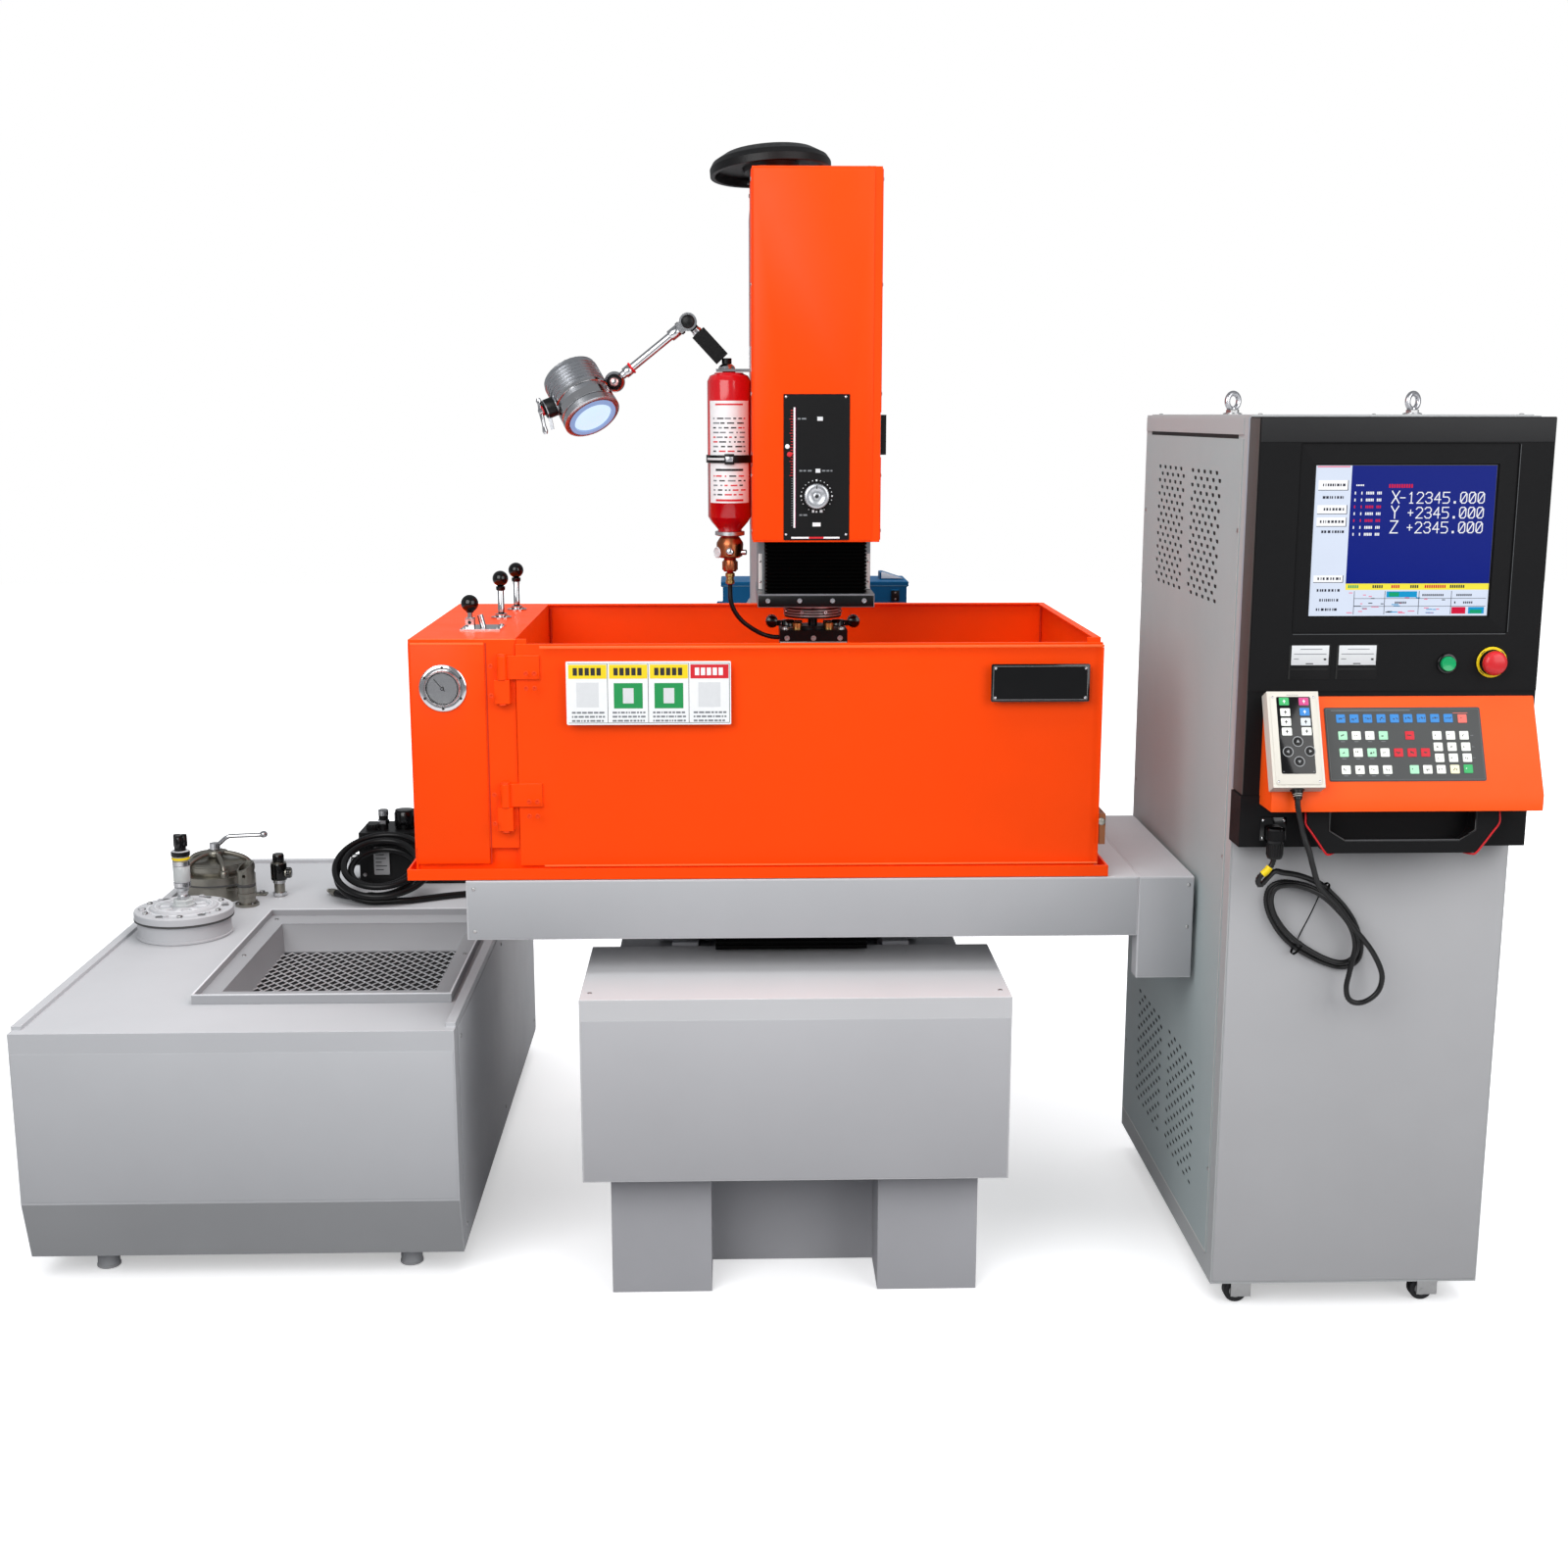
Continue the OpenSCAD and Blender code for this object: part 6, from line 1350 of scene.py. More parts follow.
def door_card():
    """White card with four cells, and the bare black plate beside it."""
    b = Build("door_card", "door", "tank_orange")
    y = DOOR.y0
    x0, x1, z0, z1 = -444, -156, 1029, 1141
    b.prism("white", rounded(x0, x1, z0, z1, 2.5), "xz", y - 0.8, y + 0.3, 0.2)

    def field(material, a0, a1, c0, c1, lift=1.0):
        """A box in fractions of the card, from its upper left corner."""
        b.box(material, x0 + a0 * (x1 - x0), x0 + a1 * (x1 - x0), y - lift, y - 0.7, z1 - c1 * (z1 - z0),
              z1 - c0 * (z1 - z0))

    draw = random.Random(5)
    for k in range(4):
        a = 0.012 + k * 0.2465
        field("print_black", a, a + 0.237, 0.03, 0.036)
        field("print_red" if k == 3 else "print_yellow", a + 0.003, a + 0.234, 0.05, 0.27)
        for m in range(5):
            u = a + 0.03 + m * 0.036
            field("white" if k == 3 else "print_black", u, u + 0.026, 0.10, 0.22, 1.1)
        field("print_black", a + 0.2375, a + 0.2405, 0.03, 0.97)
        if k in (1, 2):
            field("print_green", a + 0.03, a + 0.205, 0.34, 0.74)
            field("off_white", a + 0.085, a + 0.15, 0.42, 0.66, 1.1)
        else:
            field("off_white", a + 0.05, a + 0.185, 0.33, 0.72)
        for m in range(3):
            u = a + 0.02
            while u < a + 0.21:
                width = 0.008 + draw.random() * 0.025
                field("print_grey", u, min(u + width, a + 0.22), 0.79 + m * 0.065, 0.82 + m * 0.065)
                u += width + 0.006
    field("print_black", 0.012, 0.988, 0.965, 0.972)
    b.done(0)

    b = Build("name_plate", "door", "panel_black")
    b.prism("gloss_black", rounded(301, 475, 1067, 1134, 3), "xz", y - 1.4, y + 0.3, 0.4)
    b.prism("plate_line", rounded(304.5, 471.5, 1070.5, 1130.5, 2), "xz", y - 1.55, y - 1.3)
    b.prism("gloss_black", rounded(305.5, 470.5, 1071.5, 1129.5, 2), "xz", y - 1.75, y - 1.4)
    b.bolts("steel", [(x, y - 1.6, z) for x in (308.5, 467.5) for z in (1074.5, 1126.5)], FRONT, 2.6, 1.4, "pan")
    b.done(30)


def door_details():
    """Folded edges of the door, and the hinges' screws and caps."""
    y = DOOR.y0
    b = Build("door_folds", "door", "tank_orange")
    x0, x1, z0, z1 = -489, DOOR.x1 - 1, DOOR.z0 + 2, DOOR.z1 - 2
    # lighter orange along the top and bottom folds: painted highlight
    b.box("orange_edge", x0, x1, y - 0.9, y + 0.2, z1 - 4.5, z1, 0.4)
    b.box("orange_edge", x0, x1, y - 0.6, y + 0.2, z0, z0 + 3, 0.3)
    b.box("orange", x1 - 3, x1, y - 0.8, y + 0.2, z0 + 3, z1 - 5, 0.3)
    b.done()
    b = Build("hinge_screws", "door", "tank_orange")
    b.bolts("orange_screw", [(x, y - 4.6, z + s) for z in HINGE_Z for x in (-513, -498.5) for s in (-13, 13)], FRONT,
            4.4, 2.6)
    b.done()
    b = Build("hinge_caps", "table", "tank_orange")
    for z in HINGE_Z:
        for axis, end in ((DOWN, z - 42), (UP, z + 42)):
            b.lathe("orange_screw", [(7.4, 0), (7.4, 2.6), (6, 3.6), (0, 3.6)], (-556, -308, end), axis, 24)
        b.bolts("orange_screw", [(-574, TANK.y0 - 3.8, z + t) for t in (-26, 26)], FRONT, 4.2, 2.6)
    b.done()


def tank_rim():
    """Folded top rim and weld seams of the tank, its tray's feet, and the marks on its inner wall."""
    b = Build("tank_rim", "table", "tank_orange")
    top = TANK.z1 - 0.6
    # the rim is a lighter orange: painted highlight along its fold
    b.tube("orange_edge", [(-532, -297, top), (-719, -297, top), (-719, 329, top), (496, 329, top), (496, -295, top)],
           1.1, 8)
    for seam in ([(-530.5, 324.5, z) for z in range(800, 1176, 8)], [(491, 324.5, z) for z in range(800, 1176, 8)],
                 [(x, 324.4, 773.5) for x in range(-528, 490, 10)]):
        b.tube("orange_deep", seam, lambda i: 2.2 + 0.35 * (i % 2), 8)
    b.done(50)
    b = Build("tray_feet", "table", "tank_orange")
    # the feet are darker orange: painted shade under the tray
    for x in (-700, 470, 492):
        b.box("orange_deep", x, x + 12, -316.5, -312, 751, 768, 1.0)
    b.done()
    # overflow weir, jet nipples and filler on the inner left wall
    b = Build("inner_marks", "table", "steel")
    x = WALL_X
    for y, z in ((-190, 1010), (-60, 1010), (140, 900)):
        b.lathe("zinc", [(17, 0), (17, 4), (14, 5), (9, 5), (9, 12), (7, 13), (7, 20), (5, 20)], (x, y, z), RIGHT, 28)
    b.box("orange_deep", x - 0.5, x + 2, 20, 90, 930, 1080, 1.0)
    b.bolts("zinc", [(x + 2, y, z) for y in (28, 82) for z in (940, 1070)], RIGHT, 4, 3)
    b.done()


def compartment_details():
    """Side skins of the gate compartment, its lid line and screws."""
    b = Build("compartment_skins", "table", "tank_orange")
    b.prism("orange", rect(-716, -588, 776, 1172), "xz", -299.4, -298, 0.3)
    # the lid line is a lighter orange: painted highlight
    b.box("orange_edge", -716, -588, -299.9, -299, 1168.5, 1172.5, 0.3)
    b.box("orange_deep", -586, -584, -299.2, -297.9, 776, 1172)
    b.prism("orange", rect(-292, 324, 778, 1170), "yz", -721.4, -720, 0.3)
    b.bolts("orange_screw", [(-721.2, y, z) for y in (-276, 16, 308) for z in (792, 1156)], LEFT, 4.4, 2.4, "pan")
    b.done()


def gauge_details():
    """Chromed case ring with screws, white dial with graduations, and glass."""
    b = Build("gauge_face", "table", "steel")
    x, y, z = GAUGE_AT
    ink = "print_black"
    b.lathe("chrome", [(41.4, 0.5), (41.4, 4.5), (39.5, 6), (32.5, 6.4), (31.6, 6)], GAUGE_AT, FRONT, 64)
    b.lathe("chrome", [(31.4, 5), (31.8, 14), (30.4, 16.6), (28.8, 16.6), (27.6, 14.4), (27.6, 10)], GAUGE_AT,
            FRONT, 64)
    b.ring(ink, [(28.3, 12), (28.3, 15.2), (26.4, 12.4), (26.4, 11)], GAUGE_AT, FRONT, 64)
    b.bolts(ink, [(u, y - 6, v) for u, v in around(6, 36.3, x, z, pi / 6)], FRONT, 2.6, 1.6, "pan")
    b.lathe("white", [(28.2, 4.2), (28.2, 5.0), (0, 5.0)], GAUGE_AT, FRONT, 48)
    for k in range(28):
        r, w = (21.5, 0.3) if k % 3 else (19.5, 0.55)
        b.prism(ink, turned(radians(225 - 10 * k), [(r, w), (r, -w), (24.5, -w), (24.5, w)], x, z), "xz", y - 5.35,
                y - 4.9)
    for k in range(12):
        a0, a1 = radians(225 - 22.5 * k), radians(202.5 - 22.5 * k)
        b.prism(ink, arc(25.2, a0, a1, 1, x, z) + arc(24.8, a1, a0, 1, x, z), "xz", y - 5.3, y - 4.9)
    for k in range(7):
        (cx, cz), = around(1, 15.5, x, z, radians(225 - 45 * k))
        for u0, u1 in ((-1.6, -0.5), (0.3, 1.5)):
            b.box(ink, cx + u0, cx + u1, y - 5.3, y - 4.9, cz - 1.3, cz + 1.3)
    b.box("print_red", x - 5, x + 5, y - 5.3, y - 4.9, z - 11.5, z - 10.3)
    b.done(40)
    b = Build("gauge_glass", "table", "steel")
    b.lathe("glass", [(27.4, 14.0), (27.4, 15.2), (14, 15.9), (0, 16.1)], GAUGE_AT, FRONT, 48)
    b.done(60)


def lever_details():
    """Collars under the ball grips, guide collars and plate screws, and the latch's rivet."""
    top = TANK.z1
    b = Build("gate_grip", "gate_lever", "ball_black")
    b.lathe("chrome", [(4.6, 20), (4.6, 31)], (-634, -125, top), UP, 20)
    b.lathe("gloss_black", [(6.5, 29.5), (7.5, 31), (7.5, 33)], (-634, -125, top), UP, 24)
    b.done(50)
    for name, (x, y) in ROD_AT.items():
        end = Span(name + "_rod").z1
        b = Build(name + "_grip", name + "_rod", "ball_black")
        b.lathe("chrome", [(6.4, top + 12), (6.4, end - 38), (5.2, end - 36)], (x, y, 0), UP, 24)
        b.lathe("gloss_black", [(8.4, end - 37.5), (9, end - 35), (9, end - 30)], (x, y, 0), UP, 24)
        b.done(50)
    b = Build("guide_screws", "table", "steel")
    for x, y in ROD_AT.values():
        b.bolts("zinc", [(u, v, top + 2.8) for u, v in around(4, 15.5, x, y, pi / 4)], UP, 2.6, 1.8)
        b.lathe("chrome", [(11.2, 3.5), (11.8, 5), (11.8, 8), (10.6, 9), (7, 9)], (x, y, top), UP, 32)
    b.bolts("zinc", [(x, y, top + 2.8) for x in (-642, -581) for y in (-158, -92)], UP, 3.2, 2.2)
    b.done()
    b = Build("latch_parts", "latch", "latch_brown")
    latch = Span("tank_latch")
    b.lathe("nickel", [(6.8, 0), (6.8, 2), (5, 3.4), (0, 3.6)], (latch.cx, latch.y0 + 0.6, latch.z1 - 14), FRONT, 24)
    b.done()


def saddle_details():
    """Screws of the work table, skins and screws of the saddle and the X-drive cover, and the ways' skirt."""
    b = Build("table_details", "table", "machined_iron")
    table = Span("work_table")
    b.bolts("steel", [(x, y, table.z1 - 0.6) for x in (table.x0 + 24, table.x1 - 24)
                      for y in (table.y0 + 18, table.y1 - 18)], UP, 8, 1.2)
    b.done()
    b = Build("saddle_skins", "saddle", "cover_grey")
    y = SADDLE.y0
    # darker front skins and a lighter top skin: painted shade and light
    b.prism("saddle_front", rect(SADDLE.x0 + 3, SADDLE.x1 - 3, 643, 746), "xz", y - 1.2, y, 0.5)
    b.prism("saddle_top", rect(MOTOR.x0 + 3, MOTOR.x1 - 3, y + 3, MOTOR.y1 - 3), "xy", 749, 749.5, 0.2)
    b.prism("saddle_front", rect(MOTOR.x0 + 3, MOTOR.x1 - 2, 563, 746), "xz", y - 1.2, y, 0.5)
    b.bolts("zinc", [(x, y - 1, z) for x in (SADDLE.x0 + 14, MOTOR.x1 - 10) for z in (656, 734)], FRONT,
            3.6, 1.6, "pan")
    b.done()
    b = Build("way_skirt", "saddle", "black_plastic")
    for k in range(6):
        z = 581 + k * 9.4
        b.box("rubber", -188 + k, 96 - k, -190 - k * 1.6, -168, z, z + 8, 1.2)
    b.done()


for make in (door_card, door_details, tank_rim, compartment_details, gauge_details, lever_details, saddle_details):
    make()


# --- Dielectric unit, rear box and bed ---
CAN_AT = (UNIT.x0 + 128, UNIT.y0 + 655)
STAR_AT = (UNIT.x0 + 110, UNIT.y0 + 976)
NOZZLE_AT = (-1240, 515)
VALVE_AT = (-1187, 598)
PUMP_AT = (-1024, 697)
DECK = 488                       # top of the tank
STAR_TOP = 596.3                 # top of the rear canister


def strainer():
    """Expanded metal in the basin: wavy strands that meet in rows of diamonds, in a thin frame."""
    b = Build("strainer_mesh", slot="strainer_grey")
    x0, x1, y0, y1 = TRAY.x0 + 49, TRAY.x1 - 49, TRAY.y0 + 97, TRAY.y1 - 97
    # near-black sheet under the mesh: painted shade of the basin
    b.box("hole", x0, x1, y0, y1, 434.6, 435.3)
    across, along = 13.0, 16.5
    for k in range(int((x1 - x0) / across) + 1):
        strand = []
        for i in range(int((y1 - y0) / along) + 1):
            side = 1 if (i + k) % 2 == 0 else -1
            strand.append((x0 + k * across + side * across * 0.45, y0 + i * along, 437 + 0.8 * side))
        b.tube("mesh", strand, 1.5, 4)
    for u0, u1, v0, v1 in ((x0 - 6, x1 + 6, y0 - 6, y0 - 1), (x0 - 6, x1 + 6, y1 + 1, y1 + 6),
                           (x0 - 6, x0 - 1, y0 - 1, y1 + 1), (x1 + 1, x1 + 6, y0 - 1, y1 + 1)):
        b.box("mesh_frame", u0, u1, v0, v1, 434.5, 438.5, 0.5)
    b.done(0)


def unit_skins():
    """Skins of the tank's front, sloped foot and right side with its screws, the feet, and the strainer's rim."""
    b = Build("unit_skins", slot="casting_grey")
    x0, x1, y0, y1 = UNIT.x0, UNIT.x1, UNIT.y0, UNIT.y1
    # the front skin a little darker and the sloped foot much darker: painted shade
    b.prism("unit_front", rect(x0 + 3, x1 - 3, 170, 450), "xz", y0 - 1.0, y0, 0.4)
    b.prism("unit_low", [(y0 - 0.8, 165.5), (y0 + 28.8, 53.5), (y0 + 32, 53.5), (y0 + 2, 165.5)], "yz", x0 + 1.5,
            x1 - 1.5)
    b.prism("unit", rect(y0 + 44, y1 - 6, 60, 480), "yz", x1, x1 + 1.2, 0.4)
    b.bolts("zinc", [(x1 + 1, y, z) for y in (y0 + 70, 300, y1 - 40) for z in (90, 455)], RIGHT, 4.5, 2.0, "pan")
    b.done()
    b = Build("unit_feet", slot="casting_grey")
    for x in (x0 + 113, x1 - 110):
        for y in (y0 + 105, y1 - 105):
            b.lathe("cover_front", [(20.2, 0), (21.4, 1), (21.4, 5), (20.2, 6)], (x, y, 0.2))
            b.lathe("zinc", [(24, 42), (24, 49), (21, 50)], (x, y, 0), steps=6)
    b.done()
    b = Build("tray_rim", slot="strainer_grey")
    x0, x1, y0, y1 = TRAY.x0, TRAY.x1, TRAY.y0, TRAY.y1
    for u0, u1, v0, v1 in ((x0, x1, y0, y0 + 3), (x0, x1, y1 - 3, y1), (x0, x0 + 3, y0 + 3, y1 - 3),
                           (x1 - 3, x1, y0 + 3, y1 - 3)):
        # lighter rim: painted highlight
        b.box("unit_edge", u0 - 0.4, u1 + 0.4, v0 - 0.4, v1 + 0.4, 504.5, 507, 0.8)
    b.bolts("zinc", [(x, y, 492) for x in (x0 + 19, x1 - 19) for y in (y0 + 32, TRAY.cy, y1 - 32)], UP, 4.4, 2.4, "pan")
    b.done()


def canister_details():
    """Ribbed lid, gasket line, bolts, sight pipe and knob of the air canister."""
    x, y = CAN_AT
    o = (x, y, DECK)
    b = Build("canister_lid", slot="casting_grey")
    b.ring("gasket", [(100, 36.6), (101.6, 37.6), (101.6, 41.4), (100, 42)], o, UP, 72)
    b.ring("unit", [(95.2, 1), (97.5, 1), (97.5, 5), (95.2, 6)], o, UP, 72)
    # lighter ribs: painted highlight
    for r, z in ((98, 55.2), (74, 57.2), (58, 62.2)):
        b.ring("unit_edge", [(r - 2.2, z - 0.4), (r - 1.4, z + 1.4), (r + 1.0, z + 1.4), (r + 1.6, z - 0.4)], o, UP, 72)
    for k, (u, v) in enumerate(around(12, 84, x, y, tau * 0.35 / 12)):
        if k % 2:
            b.bolt("zinc", (u, v, DECK + 57), UP, 6, 4, "hex")
        else:
            b.lathe("zinc", [(8, 0), (8, 1.2), (5.6, 1.2)], (u, v, DECK + 57), UP, 20)
    # lighter radial ribs: painted highlight
    for k in range(8):
        b.prism("unit_edge", turned(tau * k / 8, [(28, -4), (48, -6), (48, 6), (28, 4)], x, y), "xy", DECK + 57.5,
                DECK + 61, 0.5)
    b.done(40)
    b = Build("sight_pipe", slot="aluminium")
    b.lathe("clear_nut", [(20.4, 62), (21.6, 64), (21.6, 74), (19, 76), (11, 76)], o, UP, 6)
    b.lathe("clear_nut", [(22.6, 62.5), (22.6, 66), (20, 67)], o)
    b.ring("silver", [(10.9, 77), (11.4, 78), (11.4, 84), (10.9, 85)], o, UP, 36)
    b.lathe("silver", [(10.9, 92), (12.6, 94), (12.6, 99), (16.6, 101.5)], o, UP, 36)
    for material, r, low, high in (("chrome", 17.6, 103, 113), ("clear_nut", 17.3, 114, 147),
                                   ("chrome", 17.8, 148, 159), ("yellow", 18.6, 160.5, 166)):
        b.ring(material, [(16.7, low), (r, low + 1), (r, high - 1), (16.7, high)], o)
    b.lathe("black", [(18.7, 168.6), (19.4, 169.6), (19.4, 178), (17.5, 179.6)], o)
    b.done(40)
    b = Build("knob_grip", "air_valve_knob", "black_plastic")
    for u, v in around(3, 8, x, y, radians(30)):
        b.lathe("gloss_black", [(7.2, 0), (7.6, 3), (7.2, 22), (5, 25.4), (0, 25.8)], (u, v, 676), UP, 24)
    b.done(50)


def star_details():
    """Star nut with curved arms, band clamp and bracket of the rear canister, and its lever's end."""
    x, y = STAR_AT
    o = (x, y, DECK)
    b = Build("star_cover", slot="steel")
    b.ring("gasket", [(82, 36.6), (83.8, 37.6), (83.8, 41), (82, 41.6)], o, UP, 64)
    b.ring("nickel", [(66.2, 66), (68, 67), (68, 77), (66.2, 78)], o, UP, 64)
    b.ring("nickel", [(14.2, 94), (20, 95), (21, 98), (21, 103), (18, 107), (14.2, 107.6)], o, UP, 48)
    for c, s in around(5, 1, start=radians(10)):
        arm = [(x + r * c, y + r * s, DECK + h) for r, h in ((18, 100), (34, 97), (50, 92), (63, 86), (72, 78),
                                                             (76, 68), (76, 60))]
        b.tube("nickel", smooth_path(arm, 4), 5.2)
        b.lathe("nickel", [(8.5, 0), (9, 2), (9, 12), (6.5, 15), (0, 15.5)], (x + 76 * c, y + 76 * s, DECK + 58),
                UP, 20)
    b.tube("nickel", [(u, v, DECK + 30) for u, v in arc(80, radians(-60), radians(60), 20, x, y)], 3.2, 8)
    b.box("nickel", x + 80, x + 112, y - 10, y + 10, DECK + 0.2, DECK + 5, 1)
    b.box("nickel", x + 80, x + 86, y - 10, y + 10, DECK + 4, DECK + 52, 1.5)
    b.bolt("zinc", (x + 101, y, DECK + 5), UP, 6, 5, "hex")
    b.done(50)
    b = Build("clamp_grip", "clamp_lever", "steel")
    b.lathe("chrome", [(5.1, 0), (7, 2), (8, 7), (7, 12), (4, 15), (0, 15.6)], (x + 104, y, STAR_TOP + 33),
            (1, 0, 0.05), 24)
    b.done(50)


def nozzle_details():
    """Rings and screws of the nozzle block, and the valve with its knurled handle."""
    b = Build("nozzle_parts", slot="steel")
    x, y = NOZZLE_AT
    b.ring("nickel", [(19.2, 20), (21, 21), (21, 30), (19.2, 31)], (x, y, DECK))
    b.ring("gasket", [(19.2, 44), (20.2, 45), (20.2, 50), (19.2, 51)], (x, y, DECK))
    b.bolts("zinc", [(u, v, DECK + 6) for u, v in around(4, 22.4, x, y, pi / 4)], UP, 3, 3)
    x, y = VALVE_AT
    o, side = (x, y, DECK), (x, y, DECK + 54)
    b.lathe("silver", [(12.3, 1), (16, 2), (16, 9), (12.3, 10)], o, UP, 6)
    b.lathe("silver", [(12.3, 30), (14, 31), (14, 37), (17.4, 38.4)], o, UP, 36)
    b.lathe("gloss_black", [(17.2, 39), (18.2, 41), (18.2, 74), (16.5, 77.6), (12.3, 78.5)], o)
    b.lathe("gloss_black", [(12.2, 80), (13, 81), (13, 95), (10.5, 98.5), (0, 99)], o, UP, 36)
    b.lathe("gloss_black", [(11.2, 18), (12, 19), (12, 26), (9.5, 28.5), (0, 29)], side, RIGHT, 30)
    for v, w in around(12, 11.8, y, DECK + 54):
        b.tube("gloss_black", [(x + d, v, w) for d in (18.5, 26)], 1.0, 6)
    b.done(50)


def pump_details():
    """Cooling fins, fan cowl, terminal box, label and unions of the pump, and the union at the bed's port."""
    b = Build("pump_parts", slot="black_plastic")
    x, y = PUMP_AT
    z = DECK
    b.prism("label_grey", rounded(x + 34, x + 70, z + 24, z + 90, 3), "xz", y - 4.2, y - 2.8, 0.3)
    for k, long in enumerate((28, 20, 24, 14, 26, 18)):
        b.box("print_black", x + 38, x + 38 + long, y - 4.5, y - 4.1, z + 80 - k * 9, z + 82 - k * 9)
    for k in range(20):
        a = tau * k / 20
        if sin(a) >= -0.8:
            b.prism("black_cast", turned(a, [(57, -1.6), (63, -1.2), (63, 1.2), (57, 1.6)], y + 65, z + 68), "yz",
                    x + 159, x + 257)
    b.lathe("black", [(60, 112), (61, 114), (61, 146), (57, 150.6), (20, 151.4), (18, 149)],
            (x + 149, y + 65, z + 68), RIGHT, 48)
    b.box("black", x + 178, x + 262, y + 28, y + 102, z + 148, z + 153, 1.6)
    b.bolts("zinc", [(u, v, z + 152.6) for u in (x + 186, x + 254) for v in (y + 36, y + 94)], UP, 3.4, 2, "pan")
    # filler cap, relief valve with its knurls, and the suction union
    b.lathe("gloss_black", [(22.6, 2), (23.4, 4), (23.4, 40), (20, 45.6), (12, 46.6), (0, 47)],
            (x + 100, y + 50, z + 122), UP, 36)
    for u, v in around(10, 23, x + 100, y + 50):
        b.tube("gloss_black", [(u, v, z + h) for h in (128, 160)], 1.6, 6)
    relief = (x + 52, y + 40, z + 122)
    b.lathe("chrome", [(11.4, 14), (13.4, 15), (13.4, 24), (11.4, 25)], relief, UP, 6)
    b.lathe("chrome", [(11.3, 34), (12.2, 35), (12.2, 46), (9, 48.6), (0, 48.8)], relief, UP, 32)
    for u, v in around(12, 13.4, x + 26, y + 40):
        b.box("black", u - 1.6, u + 1.6, v - 1.6, v + 1.6, z + 124, z + 135, 0.4)
    b.bolts("zinc", [(x + u, y - 0.6, z + h) for u in (12, 138) for h in (24, 110)], FRONT, 5, 3.4, "hex")
    b.bolts("zinc", [(x + u, y + v, z + 12) for u in (2, 168, 284) for v in (15, 115)], UP, 6, 5, "hex")
    suction = (x, y + 60, z + 45)
    b.lathe("zinc", [(13.3, -28), (14.6, -27), (14.6, -16), (13.3, -15)], suction, RIGHT, 6)
    b.lathe("zinc", [(13.3, -10), (15.5, -9), (15.5, -1.5), (13.3, -1)], suction, RIGHT, 6)
    b.done(40)
    b = Build("port_union", slot="steel")
    b.lathe("zinc", [(13, 0), (13, 4), (9.5, 5), (9.5, 9), (12, 10), (12, 19), (8.2, 20)], (BED.x0, 600, 460), LEFT, 6)
    b.done(40)


def rear_box_details():
    """Lid edge, back sheet with slots, side sheets, latch and card of the blue box."""
    b = Build("rear_box_parts", slot="box_blue")
    x0, x1, y0, y1, z1 = -176, 251, 770, 928, 1172
    # the lid edge is a lighter blue: painted highlight
    b.box("blue_edge", x0 - 4.6, x1 + 4.6, y0 - 0.7, y1 + 1.9, z1 + 1, z1 + 3.2, 0.5)
    b.prism("blue", rect(x0 + 4, x1 - 4, 766, z1 - 4), "xz", y1, y1 + 1.0, 0.3)
    b.bolts("zinc", [(x, y1 + 0.9, z) for x in (x0 + 14, x1 - 14) for z in (780, 970, 1158)], BACK, 4, 1.0, "pan")
    for low in (x0 - 1.2, x1):
        b.prism("blue", rect(y0 + 44, y1 - 4, 766, z1 - 60), "yz", low, low + 1.2, 0.4)
    b.box("black", 214, 233, 762, 765, 1139, 1164, 1.0)
    b.bolts("zinc", [(223.5, 762.4, z) for z in (1144, 1159)], FRONT, 2.4, 1.4, "pan")
    b.prism("white", [(195, 1187), (246, 1187), (201, 1201.6), (195, 1201.6)], "xz", 818.8, 820, 0.3)
    holes = [slot_hole(-120 + k * 24, 830 + i * 16, 7, 3) for i in range(8) for k in range(12)]
    b.sheet("blue", rect(-150, 176, 806, 966), holes, "xz", y1 + 1.0, y1 + 1.9)
    # near-black behind the slots: painted shade
    b.box("hole", -140, 166, y1 + 0.9, y1 + 1.2, 816, 956)
    b.done(30)


def bed_details():
    """Front sheet and screws of the bed's cover, levelling screws, and the column's screws."""
    b = Build("bed_parts", slot="casting_grey")
    x0, x1, y0, z0 = COVER.x0, COVER.x1, COVER.y0, COVER.z0
    # darker front sheet: painted shade
    b.prism("cover_front", rect(x0 + 3, x1 - 3, z0 + 3, 536), "xz", y0 - 0.9, y0, 0.4)
    b.bolts("zinc", [(x, y0 + 40, COVER.z1 - 0.2) for x in (x0 + 16, x1 - 16)], UP, 4.2, 1.8, "pan")
    for side, x in ((LEFT, x0), (RIGHT, x1)):
        b.bolts("zinc", [(x, y, z) for y in (-400, -170) for z in (270, 540)], side, 4.2, 2, "pan")
    b.done()
    b = Build("levelling_screws", slot="steel")
    b.bolts("zinc", [(x, BED.y1 - 46, BED.z1 - 0.5) for x in (BED.x0 + 46, BED.x1 - 46)], UP, 16, 14, "hex")
    b.done()
    b = Build("column_parts", slot="casting_grey")
    b.bolts("zinc", [(x, COLUMN.y1 - 0.4, z) for x in (-190, 190) for z in (580, 720, 860, 980)], BACK, 8, 6)
    b.done()


for make in (strainer, unit_skins, canister_details, star_details, nozzle_details, pump_details, rear_box_details,
             bed_details):
    make()


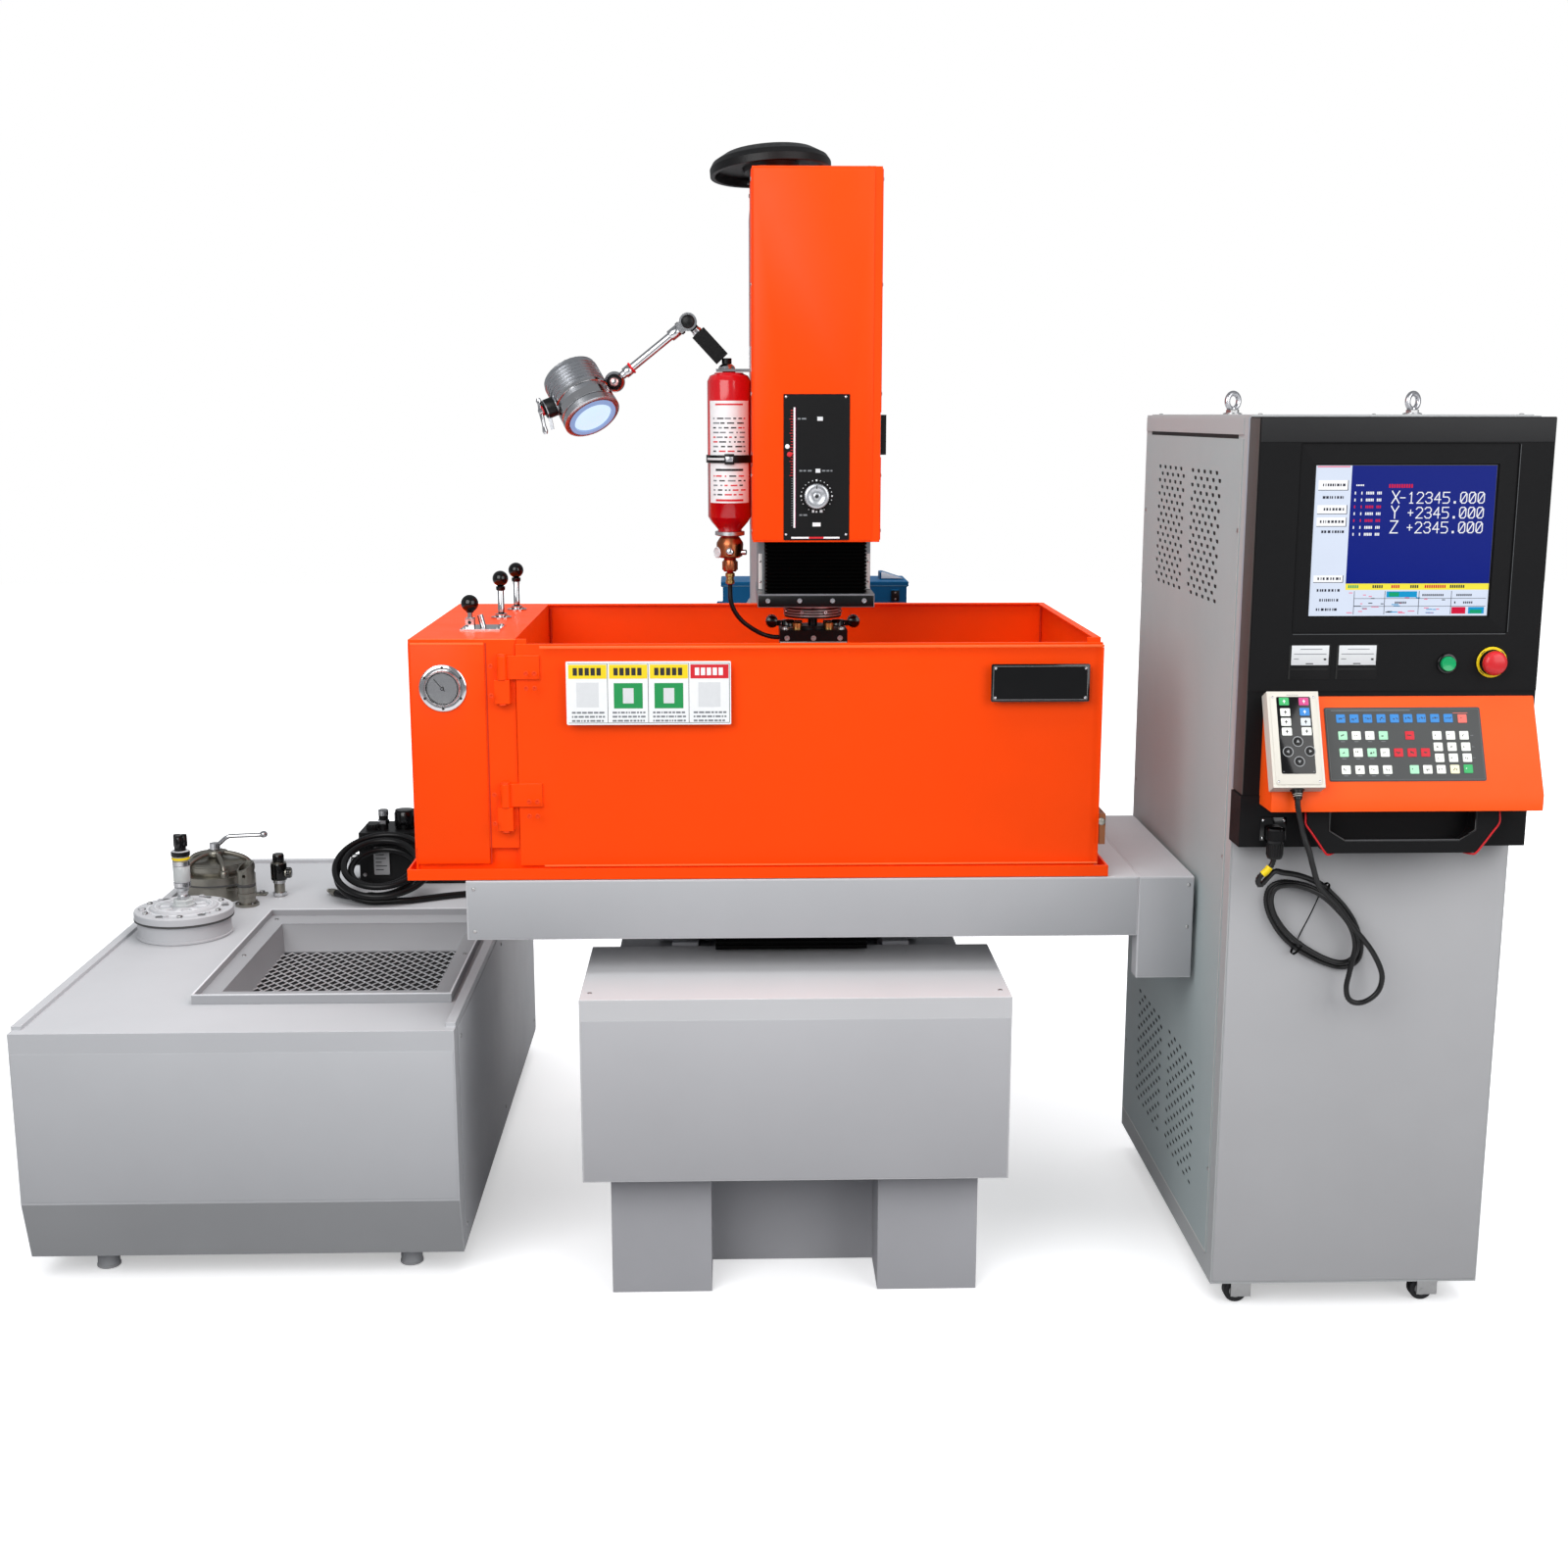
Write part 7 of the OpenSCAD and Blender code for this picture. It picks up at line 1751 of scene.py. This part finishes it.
def build_bellows():
    """Folded cover of the ram's way, built as one fixed piece."""
    b = Build("bellows_folds", None, "hose_rubber")
    folds, low, high = 14, 1242.4, 1335.4
    rings = []
    for i in range(2 * folds + 1):
        inset = 0.3 if i % 2 else 5.5
        outline = rounded(-94 + inset, 94 - inset, -142 + inset, -63.4 - inset * 0.2, 2.5, 3)
        rings.append(b.flat(outline, "xy", low + (high - low) * i / (2 * folds)))
    b.settle("rubber", b.walls(rings) + [b.bm.faces.new(rings[0]), b.bm.faces.new(rings[-1])])
    piece = b.done(20)
    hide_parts("z_bellows")
    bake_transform(piece)


build_bellows()

# --- Studio ---
FLOOR_HALF = 14
LIGHTS = (
    # name, place, target, size in metres, power, seen in reflections
    ("key", (-1700, -3000, 2700), (0, 0, 800), 2.6, 98, True),
    ("fill", (2500, -2700, 2300), (200, 0, 750), 2.8, 72, True),
    ("top", (0, 0, 4300), (0, 0, 900), 3.4, 140, False),
    ("back", (300, 3600, 2800), (0, 200, 900), 2.4, 40, False))


def build_floor():
    """A pale floor that turns plain white away from the machine."""
    n = Nodes("floor")
    path = n.add("ShaderNodeLightPath")
    seen = n.add("ShaderNodeMath", operation="MAXIMUM")
    n.link(path.outputs["Is Camera Ray"], seen.inputs[0])
    n.link(path.outputs["Is Glossy Ray"], seen.inputs[1])
    n.link(n.mix(seen.outputs[0], (0.16, 0.16, 0.17, 1), (0.86, 0.86, 0.87, 1)), n.shader.inputs["Base Color"])
    far = n.add("ShaderNodeVectorMath", operation="LENGTH")
    n.link(n.coords(), far.inputs[0])
    glow = n.add("ShaderNodeMath", operation="MULTIPLY")
    n.link(n.remap(far.outputs["Value"], 0.42, 1.1, 1.7, 4.5), glow.inputs[0])
    n.link(path.outputs["Is Camera Ray"], glow.inputs[1])
    n.link(glow.outputs[0], n.shader.inputs["Emission Strength"])
    n.set(Emission_Color=(1, 1, 1, 1), Roughness=0.9, Specular_IOR_Level=0.1)
    mesh = bpy.data.meshes.new("floor")
    bm = bmesh.new()
    bmesh.ops.create_grid(bm, x_segments=2, y_segments=2, size=FLOOR_HALF)
    bm.to_mesh(mesh)
    bm.free()
    mesh.materials.append(n.material)
    floor = link("floor", mesh)
    floor.location.z = -0.0005


def build_world():
    """A dim bluish sky for lighting, seen as plain white."""
    world = bpy.data.worlds.new("studio")
    bpy.context.scene.world = world
    world.use_nodes = True
    tree = world.node_tree
    tree.nodes.clear()
    out, light, white, mix, rays, both = (tree.nodes.new("ShaderNode" + kind) for kind in (
        "OutputWorld", "Background", "Background", "MixShader", "LightPath", "Math"))
    light.inputs["Color"].default_value = (0.93, 0.96, 1.0, 1)
    light.inputs["Strength"].default_value = 0.37
    white.inputs["Color"].default_value = (1, 1, 1, 1)
    both.operation = "MAXIMUM"
    for a, b in ((rays.outputs["Is Camera Ray"], both.inputs[0]),
                 (rays.outputs["Is Transmission Ray"], both.inputs[1]), (both.outputs[0], mix.inputs[0]),
                 (light.outputs[0], mix.inputs[1]), (white.outputs[0], mix.inputs[2]),
                 (mix.outputs[0], out.inputs[0])):
        tree.links.new(a, b)


def build_lights():
    for name, place, target, size, power, glossy in LIGHTS:
        data = bpy.data.lights.new(name, "AREA")
        data.size, data.energy = size, power
        lamp = link(name, data)
        lamp.location = at(*place)
        lamp.visible_glossy = glossy
        lamp.rotation_euler = (at(*target) - at(*place)).to_track_quat("-Z", "Y").to_euler()


build_floor()
build_world()
build_lights()
bpy.context.scene.view_settings.view_transform = "Standard"
